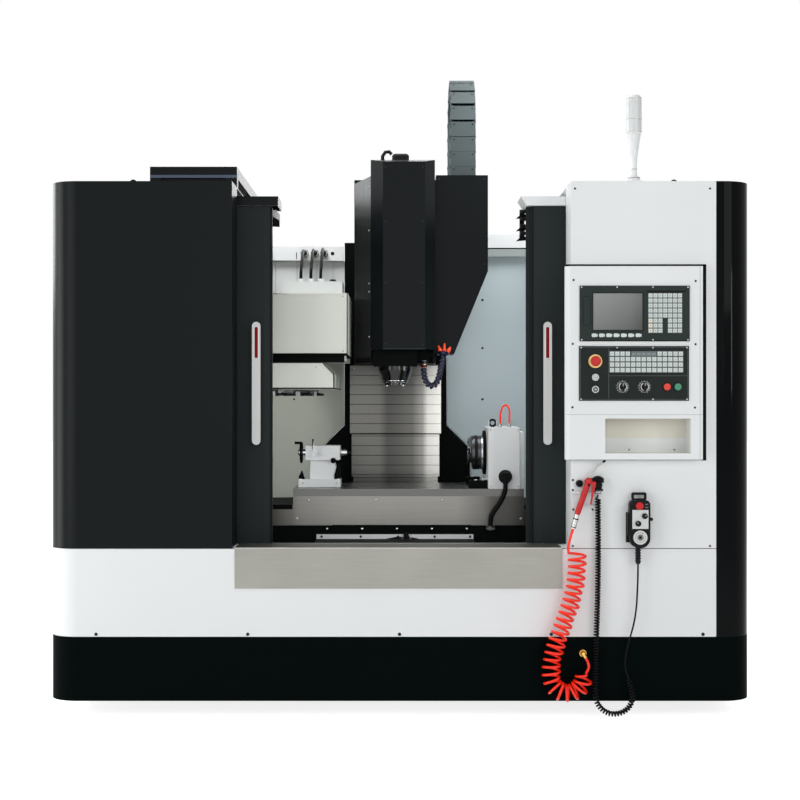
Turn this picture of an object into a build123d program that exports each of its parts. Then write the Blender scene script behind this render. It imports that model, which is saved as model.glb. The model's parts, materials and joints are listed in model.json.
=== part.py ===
from build123d import *
import math
import os

# Vertical machining centre, modelled in millimetres, +Z up and +Y into the machine.
# All sizes below are laid out from the plane of the cabinet fronts (Y = 0) and the floor
# (Z = 0). At the end everything is shifted along Y, so that the origin of the part is the
# middle of its footprint.

# Enclosure
HALF_WIDTH = 1412.0
ENCLOSURE_DEPTH = 1560.0
SHEET = 4.0
CORNER_RADIUS = 115.0
FOOT_HEIGHT = 70.0
SKIRT_HEIGHT = 256.0
BAND_HEIGHT = 354.0
CABINET_HEIGHT = 1470.0
LEFT_CABINET_WIDTH = 740.0
RIGHT_PANEL_WIDTH = 582.0
RIGHT_COLUMN_WIDTH = 146.0
REAR_LAP = 12.0
RETURN_DEPTH = 183.0
SHELF_DEPTH = 232.0
SPLASH_HALF_WIDTH = 1060.0
SPLASH_HEIGHT_LEFT = 2024.0
SPLASH_HEIGHT_RIGHT = 2083.0
SPLASH_SIDE_TOP = 2000.0
REAR_BEAM_HEIGHT = 68.0
REAR_BEAM_DEPTH = 30.0
TRAY_EDGE_HEIGHT = 158.0
SKIRT_TOP = FOOT_HEIGHT + SKIRT_HEIGHT
BAND_TOP = SKIRT_TOP + BAND_HEIGHT
CABINET_TOP = BAND_TOP + CABINET_HEIGHT
RIGHT_SEAM_X = HALF_WIDTH - RIGHT_COLUMN_WIDTH
OPENING_LEFT = -HALF_WIDTH + LEFT_CABINET_WIDTH
OPENING_RIGHT = RIGHT_SEAM_X - RIGHT_PANEL_WIDTH

# Clearances
SLIDE_GAP = 0.3
RUNNING_GAP = 0.06
COVER_GAP = 0.5
SIDE_CLEARANCE = 5.0

# Machine centre line and spindle
CENTRE_X = -22.0
SPINDLE_Y = 765.0
NOSE_Z = 1341.0

# Bed
BED_HALF_WIDTH = 380.0
BED_FLANGE = 60.0
BED_FLANGE_HEIGHT = 70.0
BED_FRONT_Y = 60.0
BED_REAR_Y = 2010.0
BED_TOP = 480.0
BED_CHANNEL_WIDTH = 200.0
BED_CHANNEL_DEPTH = 120.0
Y_WAY_INNER = 180.0
Y_WAY_WIDTH = 80.0
Y_WAY_HEIGHT = 60.0
FOOT_RADIUS = 60.0
FOOT_PAD = 18.0
FOOT_STUD_RADIUS = 12.0
FOOT_NUT_RADIUS = 22.0
FOOT_NUT_HEIGHT = 16.0
FOOT_ROWS = (420.0, 1130.0, 1840.0)
FOOT_HALF_SPAN = 370.0

# Column
COLUMN_HALF_WIDTH = 249.0
COLUMN_BASE_HALF = 365.0
COLUMN_FRONT_Y = 1350.0
COLUMN_DEPTH = 600.0
COLUMN_TOP = 2044.0
FLARE_BOTTOM_Z = 1034.0
COLUMN_WALL = 35.0
ARCH_HALF = 262.0
ARCH_TOP = 760.0
Z_WAY_INNER = 100.0
Z_WAY_WIDTH = 65.0
Z_WAY_HEIGHT = 38.0
Z_WAY_BOTTOM = 1000.0

# Saddle
SADDLE_HALF = 640.0
SADDLE_FRONT_Y = 500.0
SADDLE_DEPTH = 500.0
SADDLE_WING_BOTTOM = 600.0
SADDLE_TOP = 700.0
SADDLE_CORE_HALF = 300.0
SADDLE_LIP_HEIGHT = 30.0
SADDLE_LIP_WIDTH = 14.0
SADDLE_LIP_INSET = 5.0
SADDLE_GRIP = 25.0
X_WAY_WIDTH = 60.0
X_WAY_HEIGHT = 45.0
X_WAY_SPREAD = 260.0
GUARD_HALF = 250.0
GUARD_LENGTH = 260.0
GUARD_Z = 694.0

# Sheet covers over the ways
COVER_SHEET = 3.0
Y_COVER_LENGTH = 270.0
Y_COVER_HALF = 340.0
Y_COVER_TOP = 672.0
Y_COVER_DROP = 120.0
Y_COVER_STEP = 8.0
Y_COVER_FRONT_Y = 8.0
X_END_COVER_LENGTH = 135.0
X_MID_COVER_LENGTH = 420.0
X_MID_COVER_TOP = 819.0
X_COVER_STEP_Z = 8.0
X_COVER_INSET = 7.0
X_COVER_STEP_Y = 6.0

# Table
TABLE_LENGTH = 1000.0
TABLE_SLAB = 32.0
TABLE_THICKNESS = 60.0
TABLE_TOP = 889.0
TABLE_OFFSET = 59.0
SLOT_WIDTH = 18.0
SLOT_PITCH = 100.0
SLOT_COUNT = 4
SLOT_NECK = 18.0
SLOT_T_WIDTH = 30.0
SLOT_DEPTH = 30.0
CARRIAGE_HALF = 100.0
APRON_SHEET = 3.0
APRON_BOTTOM = 733.0

# Axis travels, used for the rest places of the covers that move at half speed
X_TRAVEL_LOW = -341.0
X_TRAVEL_HIGH = 459.0
Y_TRAVEL_LOW = -220.0
Y_TRAVEL_HIGH = 280.0
Z_TRAVEL_LOW = -340.0
Z_TRAVEL_HIGH = 160.0

# Rotary table and tailstock
ROTARY_Y = 700.0
ROTARY_Z = 1040.0
ROTARY_LEFT = 382.0
ROTARY_WIDTH = 138.0
ROTARY_FRONT_Y = 495.0
ROTARY_DEPTH = 330.0
ROTARY_HEIGHT = 266.0
ROTARY_FLANGE = 17.0
ROTARY_NOSE = 14.0
CHUCK_RADIUS = 75.0
CHUCK_LENGTH = 44.0
CHUCK_BORE = 19.0
CHUCK_SHAFT_RADIUS = 34.0
CHUCK_SHAFT_LENGTH = 60.0
JAW_WIDTH = 22.0
JAW_LENGTH = 20.0
TAIL_LEFT = -449.0
TAIL_BASE_LENGTH = 185.0
TAIL_BASE_HEIGHT = 34.0
TAIL_HALF_DEPTH = 60.0
TAIL_HEAD_LEFT = -418.0
TAIL_HEAD_LENGTH = 151.0
TAIL_HEAD_HEIGHT = 63.0
TAIL_WAIST_INSET = 26.0
QUILL_RADIUS = 15.0
QUILL_REACH = 50.0
QUILL_BORE_DEPTH = 110.0
QUILL_TRAVEL = 30.0
WHEEL_RADIUS = 48.0
WHEEL_HUB = 14.0
WHEEL_SHAFT = 7.0
WHEEL_SHAFT_LENGTH = 24.0

# Head
HEAD_HALF_WIDTH = 183.0
HEAD_FRONT_Y = 870.0
HEAD_BOTTOM = 1441.0
HEAD_TOP = 2050.0
HEAD_WALL = 30.0
HEAD_GRIP = 20.0
NECK_HALF_WIDTH = 98.0
NECK_BOTTOM = 1426.0
NECK_TOP = 1900.0
CONE_TOP_RADIUS = 76.0
CONE_BOTTOM_RADIUS = 56.0
SPINDLE_RADIUS = 42.0
SPINDLE_LENGTH = 240.0
SPINDLE_FLANGE_RADIUS = 50.0
SPINDLE_FLANGE = 12.0
TAPER_RADIUS = 22.2
TAPER_LENGTH = 65.0
DRAWBAR_RADIUS = 10.0
KEY_WIDTH = 16.0
KEY_PROUD = 8.0
MOTOR_RADIUS = 88.0
MOTOR_CLEARANCE = 110.0
NOZZLE_BLOCK = 56.0
NOZZLE_HOSE = 18.0
HOOD_LEFT = -130.0
HOOD_WIDTH = 285.0
HOOD_FRONT_Y = 600.0
HOOD_REAR_Y = 868.0
HOOD_CHAMFER_LEFT = 55.0
HOOD_CHAMFER_RIGHT = 44.0
HOOD_CHAMFER_DEPTH = 60.0
HOOD_BOTTOM = 1497.0
HOOD_TOP = 2340.0
HOOD_SLOPE = 16.0
WING_WIDTH = 250.0
WING_FRONT_Y = 905.0
WING_DEPTH = 230.0
WING_TOP = 2309.0
WING_SIDE_BOTTOM = 1867.0
WING_TIP_WIDTH = 84.0
WING_TIP_Z = 1486.0
FLARE_WIDTH = 75.0
FLARE_TOP = 2280.0

# Cable chain
CHAIN_LEFT = 236.0
CHAIN_WIDTH = 117.0
CHAIN_THICKNESS = 78.0
CHAIN_FRONT_Y = 988.0
CHAIN_BEND = 205.0
CHAIN_BEND_Z = 2558.0
CHAIN_FRONT_END_Z = 1950.0
CHAIN_REAR_END_Z = 1740.0
CHAIN_PITCH = 70.0
CHAIN_BAR = 6.0
CHAIN_NOTCH = 5.0
CHAIN_SIDE = 12.0
CHAIN_CLEARANCE = 12.0
TROUGH_BOTTOM = 1500.0
TROUGH_TOP = 2200.0

# Shield over the Z ways
Z_SHIELD_SHEET = 4.0
Z_SHIELD_HALF = 221.0
Z_SHIELD_LENGTH = 290.0
Z_SHIELD_BOTTOM = 700.0
Z_SHIELD_STEP_X = 8.0
Z_SHIELD_FRONT_Y = 1284.0
Z_SHIELD_RETURN = 12.0
Z_SHIELD_PITCH = 47.0
Z_SHIELD_GROOVE = 1.5

# Tool magazine
MAGAZINE_X = -673.0
MAGAZINE_TRAVEL = 365.0
CAROUSEL_RADIUS = 305.0
CAROUSEL_Z = 1304.0
CAROUSEL_PLATE = 14.0
POCKET_COUNT = 16
POCKET_RADIUS = 32.0
POCKET_CIRCLE = 286.0
CLIP_REACH = 36.0
CLIP_WIDTH = 14.0
HUB_RADIUS = 110.0
HOOD_HALF_DEPTH = 330.0
MAG_HOOD_RIGHT = -281.0
MAG_HOOD_LEFT = -1003.0
MAG_HOOD_BOTTOM = 1322.0
MAG_HOOD_TOP = 1432.0
MAG_HOOD_CHAMFER = 48.0
MAG_NOTCH_HALF = 132.0
MAG_NOTCH_DEPTH = 222.0
MAG_SHAFT_RADIUS = 25.0
MAG_RAIL_SPREAD = 470.0
MAG_RAIL_WIDTH = 24.0
MAG_RAIL_HEIGHT = 26.0
MAG_BLOCK_LENGTH = 300.0
MAG_BOX_LEFT = -1040.0
MAG_BOX_RIGHT = -225.0
MAG_BOX_FRONT_Y = 450.0
MAG_BOX_DEPTH = 620.0
MAG_BOX_BOTTOM = 1470.0
MAG_BOX_HEIGHT = 264.0
MAG_ARM_LEFT = -430.0
MAG_ARM_HEIGHT = 160.0
GEARBOX_LEFT = -520.0
GEARBOX_LENGTH = 264.0
GEARBOX_FRONT_Y = 650.0
GEARBOX_DEPTH = 200.0
GEARBOX_HEIGHT = 66.0

# Doors
DOOR_WIDTH = 720.0
DOOR_THICKNESS = 38.0
DOOR_TOP = 2074.0
DOOR_RIM = 28.0
LEFT_DOOR_EDGE = OPENING_LEFT + 144
RIGHT_DOOR_EDGE = OPENING_RIGHT - 140
DOOR_LIP = 22.0
WINDOW_BOTTOM = 1050.0
WINDOW_HEIGHT = 760.0
WINDOW_WIDTH = 440.0
WINDOW_EDGE = 200.0
WINDOW_REBATE = 14.0
GLASS = 6.0
HANDLE_WIDTH = 35.0
HANDLE_HEIGHT = 505.0
HANDLE_BOTTOM = 1090.0
HANDLE_BAR = 12.0
HANDLE_REACH = 32.0
HANDLE_INSET = 45.0
HANDLE_POST_HEIGHT = 26.0
CAP_HEIGHT = 38.0
CAP_FRONT_Y = 185.0
CAP_DEPTH = 190.0
CAP_GAP = 2.0
CAP_OVERHANG_LEFT = 169.0
CAP_OVERHANG_RIGHT = 161.0

# Frame on the left roof
ROOF_FRAME_LEFT = OPENING_LEFT - 359
ROOF_FRAME_RIGHT = OPENING_LEFT
ROOF_FRAME_TUBE = 46.0
ROOF_FRAME_POST = 40.0
ROOF_FRAME_FRONT_Y = 185.0
ROOF_FRAME_LENGTH = 860.0

# Sill in front of the doors
SILL_LEFT = OPENING_LEFT + 11
SILL_RIGHT = OPENING_RIGHT - 36
SILL_HEIGHT = 160.0
SILL_PROUD = 4.0

# Electrical cabinet at the back
ELECTRIC_HALF_WIDTH = 560.0
ELECTRIC_GAP = 20.0
ELECTRIC_DEPTH = 230.0
ELECTRIC_BOTTOM = 500.0
ELECTRIC_HEIGHT = 1450.0
ELECTRIC_DOOR = 8.0
ELECTRIC_SEAM = 6.0
ELECTRIC_BRACKETS = (0.48, 0.9)
LOUVRE_COUNT = 6

# Console
CONSOLE_LEFT = OPENING_RIGHT - 26
CONSOLE_WIDTH = 545.0
CONSOLE_PROUD = 42.0
CONSOLE_BOTTOM = 1037.0
CONSOLE_HEIGHT = 769.0
CONSOLE_CHAMFER = 18.0
POCKET_LEFT = CONSOLE_LEFT + 157
POCKET_WIDTH = 340.0
POCKET_BOTTOM = 1062.0
POCKET_HEIGHT = 138.0
POCKET_DEPTH = 110.0
PANEL_THICKNESS = 5.0
DISPLAY_LEFT = CONSOLE_LEFT + 55
DISPLAY_WIDTH = 437.0
DISPLAY_BOTTOM = 1507.0
DISPLAY_HEIGHT = 221.0
SCREEN_LEFT = DISPLAY_LEFT + 54
SCREEN_WIDTH = 196.0
SCREEN_BOTTOM = 1552.0
SCREEN_HEIGHT = 146.0
SCREEN_DEPTH = 3.0
KEY_PROUD_PANEL = 2.0
KEYPAD_LEFT = DISPLAY_LEFT + 274
KEYPAD_TOP = 1696.0
KEYPAD_COLUMNS = 7
KEYPAD_ROWS = 8
KEYPAD_PITCH_X = 19.4
KEYPAD_PITCH_Z = 19.9
KEY_SIZE = 14.5
OPERATOR_LEFT = CONSOLE_LEFT + 53
OPERATOR_WIDTH = 436.0
OPERATOR_BOTTOM = 1271.0
OPERATOR_HEIGHT = 217.0
OPERATOR_KEYS_LEFT = OPERATOR_LEFT + 123
OPERATOR_KEYS_TOP = 1465.0
OPERATOR_COLUMNS = 14
OPERATOR_ROWS = 4
OPERATOR_PITCH_X = 21.0
OPERATOR_PITCH_Z = 21.6
ESTOP_X = OPERATOR_LEFT + 64
ESTOP_Z = 1428.0
ESTOP_RADIUS = 20.0
ESTOP_STEM = 8.0
ESTOP_HEIGHT = 28.0
ESTOP_COLLAR = 27.0
ESTOP_COLLAR_HEIGHT = 4.0
ESTOP_TRAVEL = 5.0
KNOB_RADIUS = 17.0
KNOB_HEIGHT = 18.0
KNOB_Z = 1326.0
FEED_KNOB_X = OPERATOR_LEFT + 172
SPINDLE_KNOB_X = OPERATOR_LEFT + 259
BUTTON_RADIUS = 14.0
BUTTON_PROUD = 8.0
BUTTON_BEZEL = 18.0
BUTTON_TRAVEL = 4.0
STOP_BUTTON_X = OPERATOR_LEFT + 349
START_BUTTON_X = OPERATOR_LEFT + 391.5
PILOT_Z = (1364.0, 1316.0)
PILOT_RADIUS = 15.0

# Signal lamp on the right roof
LAMP_X = OPENING_RIGHT + 264
LAMP_Y = 75.0
LAMP_FLANGE_RADIUS = 40.0
LAMP_STEM_RADIUS = 11.0
LAMP_LENS_RADIUS = 31.0
LAMP_LENS_BOTTOM = 210.0
LAMP_TOP = 358.0

# Bracket, air gun and pendant on the right front panel
BRACKET_LEFT = OPENING_RIGHT - 3
BRACKET_WIDTH = 134.0
BRACKET_BOTTOM = 904.0
BRACKET_HEIGHT = 62.0
HOOK_Z = 848.0
GUN_Y = -34.0
TRIGGER_X = 23.0
TRIGGER_DROP = 9.0
TRIGGER_HALF = 7.0
TRIGGER_PIN = 2.0
PENDANT_X = BRACKET_LEFT + 271
PENDANT_TOP = 876.0
PENDANT_WIDTH = 82.0
PENDANT_HEIGHT = 190.0
PENDANT_DEPTH = 38.0
PENDANT_BACK = 14.0
DIAL_RADIUS = 28.0
DIAL_Z = 729.0
DIAL_HEIGHT = 9.0

# Cords
AIR_HOSE_DIAMETER = 10.0
AIR_COIL_DIAMETER = 78.0
PENDANT_LEAD_DIAMETER = 8.0
PENDANT_CURL_DIAMETER = 24.0
ROTARY_CABLE_DIAMETER = 20.0
ROTARY_LOOP_DIAMETER = 8.0
MAGAZINE_CABLE_DIAMETER = 14.0

# Places where cords and hoses meet the pieces that hold them
SPLASH_BACK_Y = COLUMN_FRONT_Y + 20
AIR_INLET_X = BRACKET_LEFT + 50
AIR_INLET_Y = -20.0
AIR_INLET_Z = 262.0
GLAND_XS = (-466.0, -416.0, -371.0)
GLAND_Z = SPLASH_HEIGHT_LEFT - REAR_BEAM_HEIGHT / 2
GLAND_REACH = 22.0
MAG_CABLE_XS = (-450.0, -405.0, -360.0)
MAG_CABLE_END_Y = GEARBOX_FRONT_Y + GEARBOX_DEPTH - 40
MAG_CABLE_END_Z = MAG_BOX_BOTTOM + MAG_BOX_HEIGHT + GEARBOX_HEIGHT + 24
BOOT_X = ROTARY_LEFT + 74
BOOT_Y = ROTARY_FRONT_Y - 17
BOOT_Z = TABLE_TOP + 50
BOOT_BOTTOM = BOOT_Z - 26
CABLE_X = ROTARY_LEFT + 9
CABLE_END_Y = SADDLE_FRONT_Y - 21
CABLE_END_Z = APRON_BOTTOM - 3
LOOP_LEFT_X = ROTARY_LEFT + 56
LOOP_RIGHT_X = ROTARY_LEFT + 96
LOOP_Y = ROTARY_FRONT_Y + 60
LOOP_BASE_Z = TABLE_TOP + ROTARY_HEIGHT + 16
NOZZLE_Y = SPINDLE_Y - 20
CURL_X = BRACKET_LEFT + 108
CURL_Y = -22.0
CURL_TOP_Z = 898.0
GUN_HEAD_X = BRACKET_LEFT + 69
GUN_HEAD_Z = 950.0
GUN_FOOT_X = GUN_HEAD_X - 44
GUN_FOOT_Z = 824.0
HOSE_START_X = GUN_HEAD_X - 62
HOSE_START_Z = 762.0
PENDANT_RELIEF_Z = 622.0

# Reach of the part in front of and behind the cabinet fronts
FRONT_REACH = CONSOLE_PROUD + PANEL_THICKNESS + ESTOP_HEIGHT
REAR_REACH = COLUMN_FRONT_Y + COLUMN_DEPTH + ELECTRIC_GAP + ELECTRIC_DEPTH
SHIFT_Y = (FRONT_REACH - REAR_REACH) / 2


def slab(x0, x1, y0, y1, z0, z1):
    """A block between two corners."""
    middle = Pos((x0 + x1) / 2, (y0 + y1) / 2, (z0 + z1) / 2)
    return middle * Box(x1 - x0, y1 - y0, z1 - z0)


def rod_y(x, z, radius, y0, y1):
    """A cylinder along Y."""
    return Pos(x, (y0 + y1) / 2, z) * Rot(90, 0, 0) * Cylinder(radius, y1 - y0)


def rod_x(y, z, radius, x0, x1):
    """A cylinder along X."""
    return Pos((x0 + x1) / 2, y, z) * Rot(0, 90, 0) * Cylinder(radius, x1 - x0)


def rod_z(x, y, radius, z0, z1):
    """A cylinder along Z."""
    return Pos(x, y, (z0 + z1) / 2) * Cylinder(radius, z1 - z0)


def prism_y(points, y0, y1):
    """A polygon given as (x, z) points, extruded along Y."""
    face = make_face(Polyline([(x, y0, z) for x, z in points], close=True))
    return extrude(face, amount=y1 - y0, dir=(0, 1, 0))


def prism_x(points, x0, x1):
    """A polygon given as (y, z) points, extruded along X."""
    face = make_face(Polyline([(x0, y, z) for y, z in points], close=True))
    return extrude(face, amount=x1 - x0, dir=(1, 0, 0))


def prism_z(points, z0, z1):
    """A polygon given as (x, y) points, extruded along Z."""
    face = make_face(Polyline([(x, y, z0) for x, y in points], close=True))
    return extrude(face, amount=z1 - z0, dir=(0, 0, 1))


def turned_z(x, y, profile):
    """A solid of revolution about a vertical axis, from (radius, z) points."""
    points = [(x + r, y, z) for r, z in profile]
    face = make_face(Polyline(points, close=True))
    return revolve(face, Axis((x, y, 0), (0, 0, 1)))


def channel_cover(x0, x1, y0, y1, bottom, top, along):
    """An inverted channel of cover sheet, open at both ends along the named axis."""
    outer = slab(x0, x1, y0, y1, bottom, top)
    t = COVER_SHEET
    if along == "x":
        inner = slab(x0 - 1, x1 + 1, y0 + t, y1 - t, bottom - 1, top - t)
    else:
        inner = slab(x0 + t, x1 - t, y0 - 1, y1 + 1, bottom - 1, top - t)
    return outer - inner


def skin_face(inset, back, z):
    """Plan outline of the enclosure, with rounded front corners."""
    half = HALF_WIDTH - inset
    radius = CORNER_RADIUS - inset
    side_left = Line((-half, back, z), (-half, inset + radius, z))
    arc_left = RadiusArc(side_left @ 1, (-half + radius, inset, z), -radius)
    front = Line(arc_left @ 1, (half - radius, inset, z))
    arc_right = RadiusArc(front @ 1, (half, inset + radius, z), -radius)
    side_right = Line(arc_right @ 1, (half, back, z))
    rear = Line(side_right @ 1, side_left @ 0)
    return make_face([side_left, arc_left, front, arc_right, side_right, rear])


def skin_wall(z0, z1):
    """The outer sheet of the enclosure between two heights, open at the back."""
    outer = extrude(skin_face(0, ENCLOSURE_DEPTH, z0), amount=z1 - z0, dir=(0, 0, 1))
    inner = extrude(skin_face(SHEET, ENCLOSURE_DEPTH + 1, z0), amount=z1 - z0, dir=(0, 0, 1))
    return outer - inner


def skin_plate(z0, z1):
    """A plate that fills the outer sheet between two heights."""
    face = skin_face(SHEET, ENCLOSURE_DEPTH - SHEET, z0)
    return extrude(face, amount=z1 - z0, dir=(0, 0, 1))


def between_x(shape, x0, x1):
    """The stretch of a shape between two places along X."""
    return shape & slab(x0, x1, -50, ENCLOSURE_DEPTH + 50, 0, CABINET_TOP + 50)


# Base of the enclosure

def make_base_skirt():
    skirt = skin_wall(FOOT_HEIGHT, SKIRT_TOP)
    rear = slab(-HALF_WIDTH + SHEET, HALF_WIDTH - SHEET, ENCLOSURE_DEPTH - SHEET, ENCLOSURE_DEPTH, FOOT_HEIGHT, SKIRT_TOP)
    bed_half = BED_HALF_WIDTH + BED_FLANGE + SIDE_CLEARANCE
    gate = slab(CENTRE_X - bed_half, CENTRE_X + bed_half, ENCLOSURE_DEPTH - 50, ENCLOSURE_DEPTH + 50, 0, SKIRT_TOP + 1)
    elbow = Vector(AIR_INLET_X, AIR_INLET_Y, AIR_INLET_Z)
    mouth = Vector(*AIR_TAIL[-1])
    collar = sweep(Plane(origin=elbow, z_dir=mouth - elbow) * Circle(8), path=Line(elbow, mouth))
    fitting = rod_y(AIR_INLET_X, AIR_INLET_Z, 9, AIR_INLET_Y, SHEET) + Pos(elbow) * Sphere(11) + collar
    fitting += rod_y(AIR_INLET_X, AIR_INLET_Z, 14, -7, 1)
    return skirt + (rear - gate) + fitting


def make_front_band():
    band = between_x(skin_wall(SKIRT_TOP, BAND_TOP), -HALF_WIDTH - 1, RIGHT_SEAM_X)
    shelf = skin_plate(BAND_TOP - SHEET, BAND_TOP) & slab(-HALF_WIDTH, RIGHT_SEAM_X, 0, SHELF_DEPTH, 0, BAND_TOP + 1)
    leg = max(COLUMN_BASE_HALF, BED_HALF_WIDTH) + SIDE_CLEARANCE
    rear_y = ENCLOSURE_DEPTH - SHEET
    rear_left = slab(-HALF_WIDTH + SHEET, CENTRE_X - leg, rear_y, ENCLOSURE_DEPTH, SKIRT_TOP, BAND_TOP)
    rear_right = slab(CENTRE_X + leg, HALF_WIDTH - SHEET, rear_y, ENCLOSURE_DEPTH, SKIRT_TOP, BAND_TOP)
    return Compound([band + shelf + rear_left, rear_right])


def make_door_sill():
    top = slab(SILL_LEFT, SILL_RIGHT, -SILL_PROUD, RETURN_DEPTH, BAND_TOP, BAND_TOP + SHEET)
    face = slab(SILL_LEFT, SILL_RIGHT, -SILL_PROUD, 0, BAND_TOP - SILL_HEIGHT, BAND_TOP + SHEET)
    return top + face


def make_left_cabinet():
    wall = between_x(skin_wall(BAND_TOP, CABINET_TOP), -HALF_WIDTH - 1, OPENING_LEFT)
    inner = slab(OPENING_LEFT - SHEET, OPENING_LEFT, 0, RETURN_DEPTH, BAND_TOP, CABINET_TOP)
    hem = slab(OPENING_LEFT - 24, OPENING_LEFT, RETURN_DEPTH - SHEET, RETURN_DEPTH, BAND_TOP, CABINET_TOP)
    roof = between_x(skin_plate(CABINET_TOP - SHEET, CABINET_TOP), -HALF_WIDTH, OPENING_LEFT)
    rear = slab(-HALF_WIDTH + SHEET, OPENING_LEFT + REAR_LAP, ENCLOSURE_DEPTH - SHEET, ENCLOSURE_DEPTH, BAND_TOP, CABINET_TOP)
    return Compound([wall + inner + hem + roof + rear, make_roof_frame()])


def make_control_cabinet():
    wall = between_x(skin_wall(BAND_TOP, CABINET_TOP), OPENING_RIGHT, RIGHT_SEAM_X)
    inner = slab(OPENING_RIGHT, OPENING_RIGHT + SHEET, 0, RETURN_DEPTH, BAND_TOP, CABINET_TOP)
    hem = slab(OPENING_RIGHT, OPENING_RIGHT + 24, RETURN_DEPTH - SHEET, RETURN_DEPTH, BAND_TOP, CABINET_TOP)
    roof = between_x(skin_plate(CABINET_TOP - SHEET, CABINET_TOP), OPENING_RIGHT, HALF_WIDTH)
    rear = slab(OPENING_RIGHT - REAR_LAP, HALF_WIDTH - SHEET, ENCLOSURE_DEPTH - SHEET, ENCLOSURE_DEPTH, BAND_TOP, CABINET_TOP)
    hole = slab(POCKET_LEFT - SHEET, POCKET_LEFT + POCKET_WIDTH + SHEET, -1, SHEET + 1, POCKET_BOTTOM - SHEET, POCKET_BOTTOM + POCKET_HEIGHT + SHEET)
    return wall + inner + hem + roof + rear - hole


def make_corner_cover():
    return between_x(skin_wall(SKIRT_TOP, CABINET_TOP), RIGHT_SEAM_X, HALF_WIDTH + 1)


def tray_floor(side):
    """A sloped floor sheet from the bed out to a side wall."""
    inner_x = CENTRE_X + side * (Y_COVER_HALF + 12)
    outer_x = side * SPLASH_HALF_WIDTH
    high = BED_TOP + TRAY_EDGE_HEIGHT
    flat_x = CENTRE_X + side * BED_HALF_WIDTH
    profile = [
        (inner_x, BED_TOP),
        (flat_x, BED_TOP),
        (outer_x, high),
        (outer_x, high + SHEET),
        (flat_x, BED_TOP + SHEET),
        (inner_x, BED_TOP + SHEET),
    ]
    leg = COLUMN_BASE_HALF + SIDE_CLEARANCE
    gate = slab(CENTRE_X - leg, CENTRE_X + leg, COLUMN_FRONT_Y - SIDE_CLEARANCE, SPLASH_BACK_Y + 1, 0, BAND_TOP)
    return prism_y(profile, RETURN_DEPTH + 7, SPLASH_BACK_Y) - gate


def make_splash_walls():
    side_front = SHELF_DEPTH + 6
    edge = BED_TOP + TRAY_EDGE_HEIGHT
    walls = []
    for side in (-1, 1):
        x0 = min(side * SPLASH_HALF_WIDTH, side * (SPLASH_HALF_WIDTH + SHEET))
        lower = slab(x0, x0 + SHEET, RETURN_DEPTH + 7, SPLASH_BACK_Y, edge, BAND_TOP - SHEET)
        upper = slab(x0, x0 + SHEET, side_front, SPLASH_BACK_Y, BAND_TOP - SHEET, SPLASH_SIDE_TOP)
        walls.append(lower + upper)
    front_y = RETURN_DEPTH + 7
    cover_half = Y_COVER_HALF + 12
    outline = [
        (-SPLASH_HALF_WIDTH - SHEET, edge),
        (CENTRE_X - BED_HALF_WIDTH, BED_TOP),
        (CENTRE_X + BED_HALF_WIDTH, BED_TOP),
        (SPLASH_HALF_WIDTH + SHEET, edge),
        (SPLASH_HALF_WIDTH + SHEET, BAND_TOP - SHEET),
        (-SPLASH_HALF_WIDTH - SHEET, BAND_TOP - SHEET),
    ]
    front = prism_y(outline, front_y, front_y + SHEET)
    gate = slab(CENTRE_X - cover_half, CENTRE_X + cover_half, front_y - 5, front_y + SHEET + 5, 0, BAND_TOP)
    leg = COLUMN_BASE_HALF + SIDE_CLEARANCE
    column = COLUMN_HALF_WIDTH + SIDE_CLEARANCE
    flare = COLUMN_BASE_HALF - COLUMN_HALF_WIDTH
    rear_y = (SPLASH_BACK_Y - SHEET, SPLASH_BACK_Y)
    rear_left = prism_y(
        [
            (-SPLASH_HALF_WIDTH, edge),
            (CENTRE_X - BED_HALF_WIDTH, BED_TOP),
            (CENTRE_X - leg, BED_TOP),
            (CENTRE_X - leg, FLARE_BOTTOM_Z + 2),
            (CENTRE_X - column, FLARE_BOTTOM_Z + flare + 2),
            (CENTRE_X - column, SPLASH_HEIGHT_LEFT),
            (-SPLASH_HALF_WIDTH, SPLASH_HEIGHT_LEFT),
        ],
        *rear_y,
    )
    rear_right = prism_y(
        [
            (SPLASH_HALF_WIDTH, edge),
            (CENTRE_X + BED_HALF_WIDTH, BED_TOP),
            (CENTRE_X + leg, BED_TOP),
            (CENTRE_X + leg, FLARE_BOTTOM_Z + 2),
            (CENTRE_X + column, FLARE_BOTTOM_Z + flare + 2),
            (CENTRE_X + column, SPLASH_HEIGHT_RIGHT),
            (SPLASH_HALF_WIDTH, SPLASH_HEIGHT_RIGHT),
        ],
        *rear_y,
    )
    beam_front = SPLASH_BACK_Y - SHEET - REAR_BEAM_DEPTH
    beam_left = slab(-SPLASH_HALF_WIDTH, CENTRE_X - column, beam_front, SPLASH_BACK_Y - SHEET, SPLASH_HEIGHT_LEFT - REAR_BEAM_HEIGHT, SPLASH_HEIGHT_LEFT)
    for x in GLAND_XS:
        beam_left += rod_y(x, GLAND_Z, 17, beam_front - GLAND_REACH, beam_front + 1)
    beam_right = slab(CENTRE_X + column, SPLASH_HALF_WIDTH, beam_front, SPLASH_BACK_Y - SHEET, SPLASH_HEIGHT_RIGHT - REAR_BEAM_HEIGHT, SPLASH_HEIGHT_RIGHT)
    left = tray_floor(-1) + walls[0] + rear_left + beam_left
    right = tray_floor(1) + walls[1] + rear_right + beam_right
    both = front - gate
    return left + right + both


# Machine castings

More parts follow.
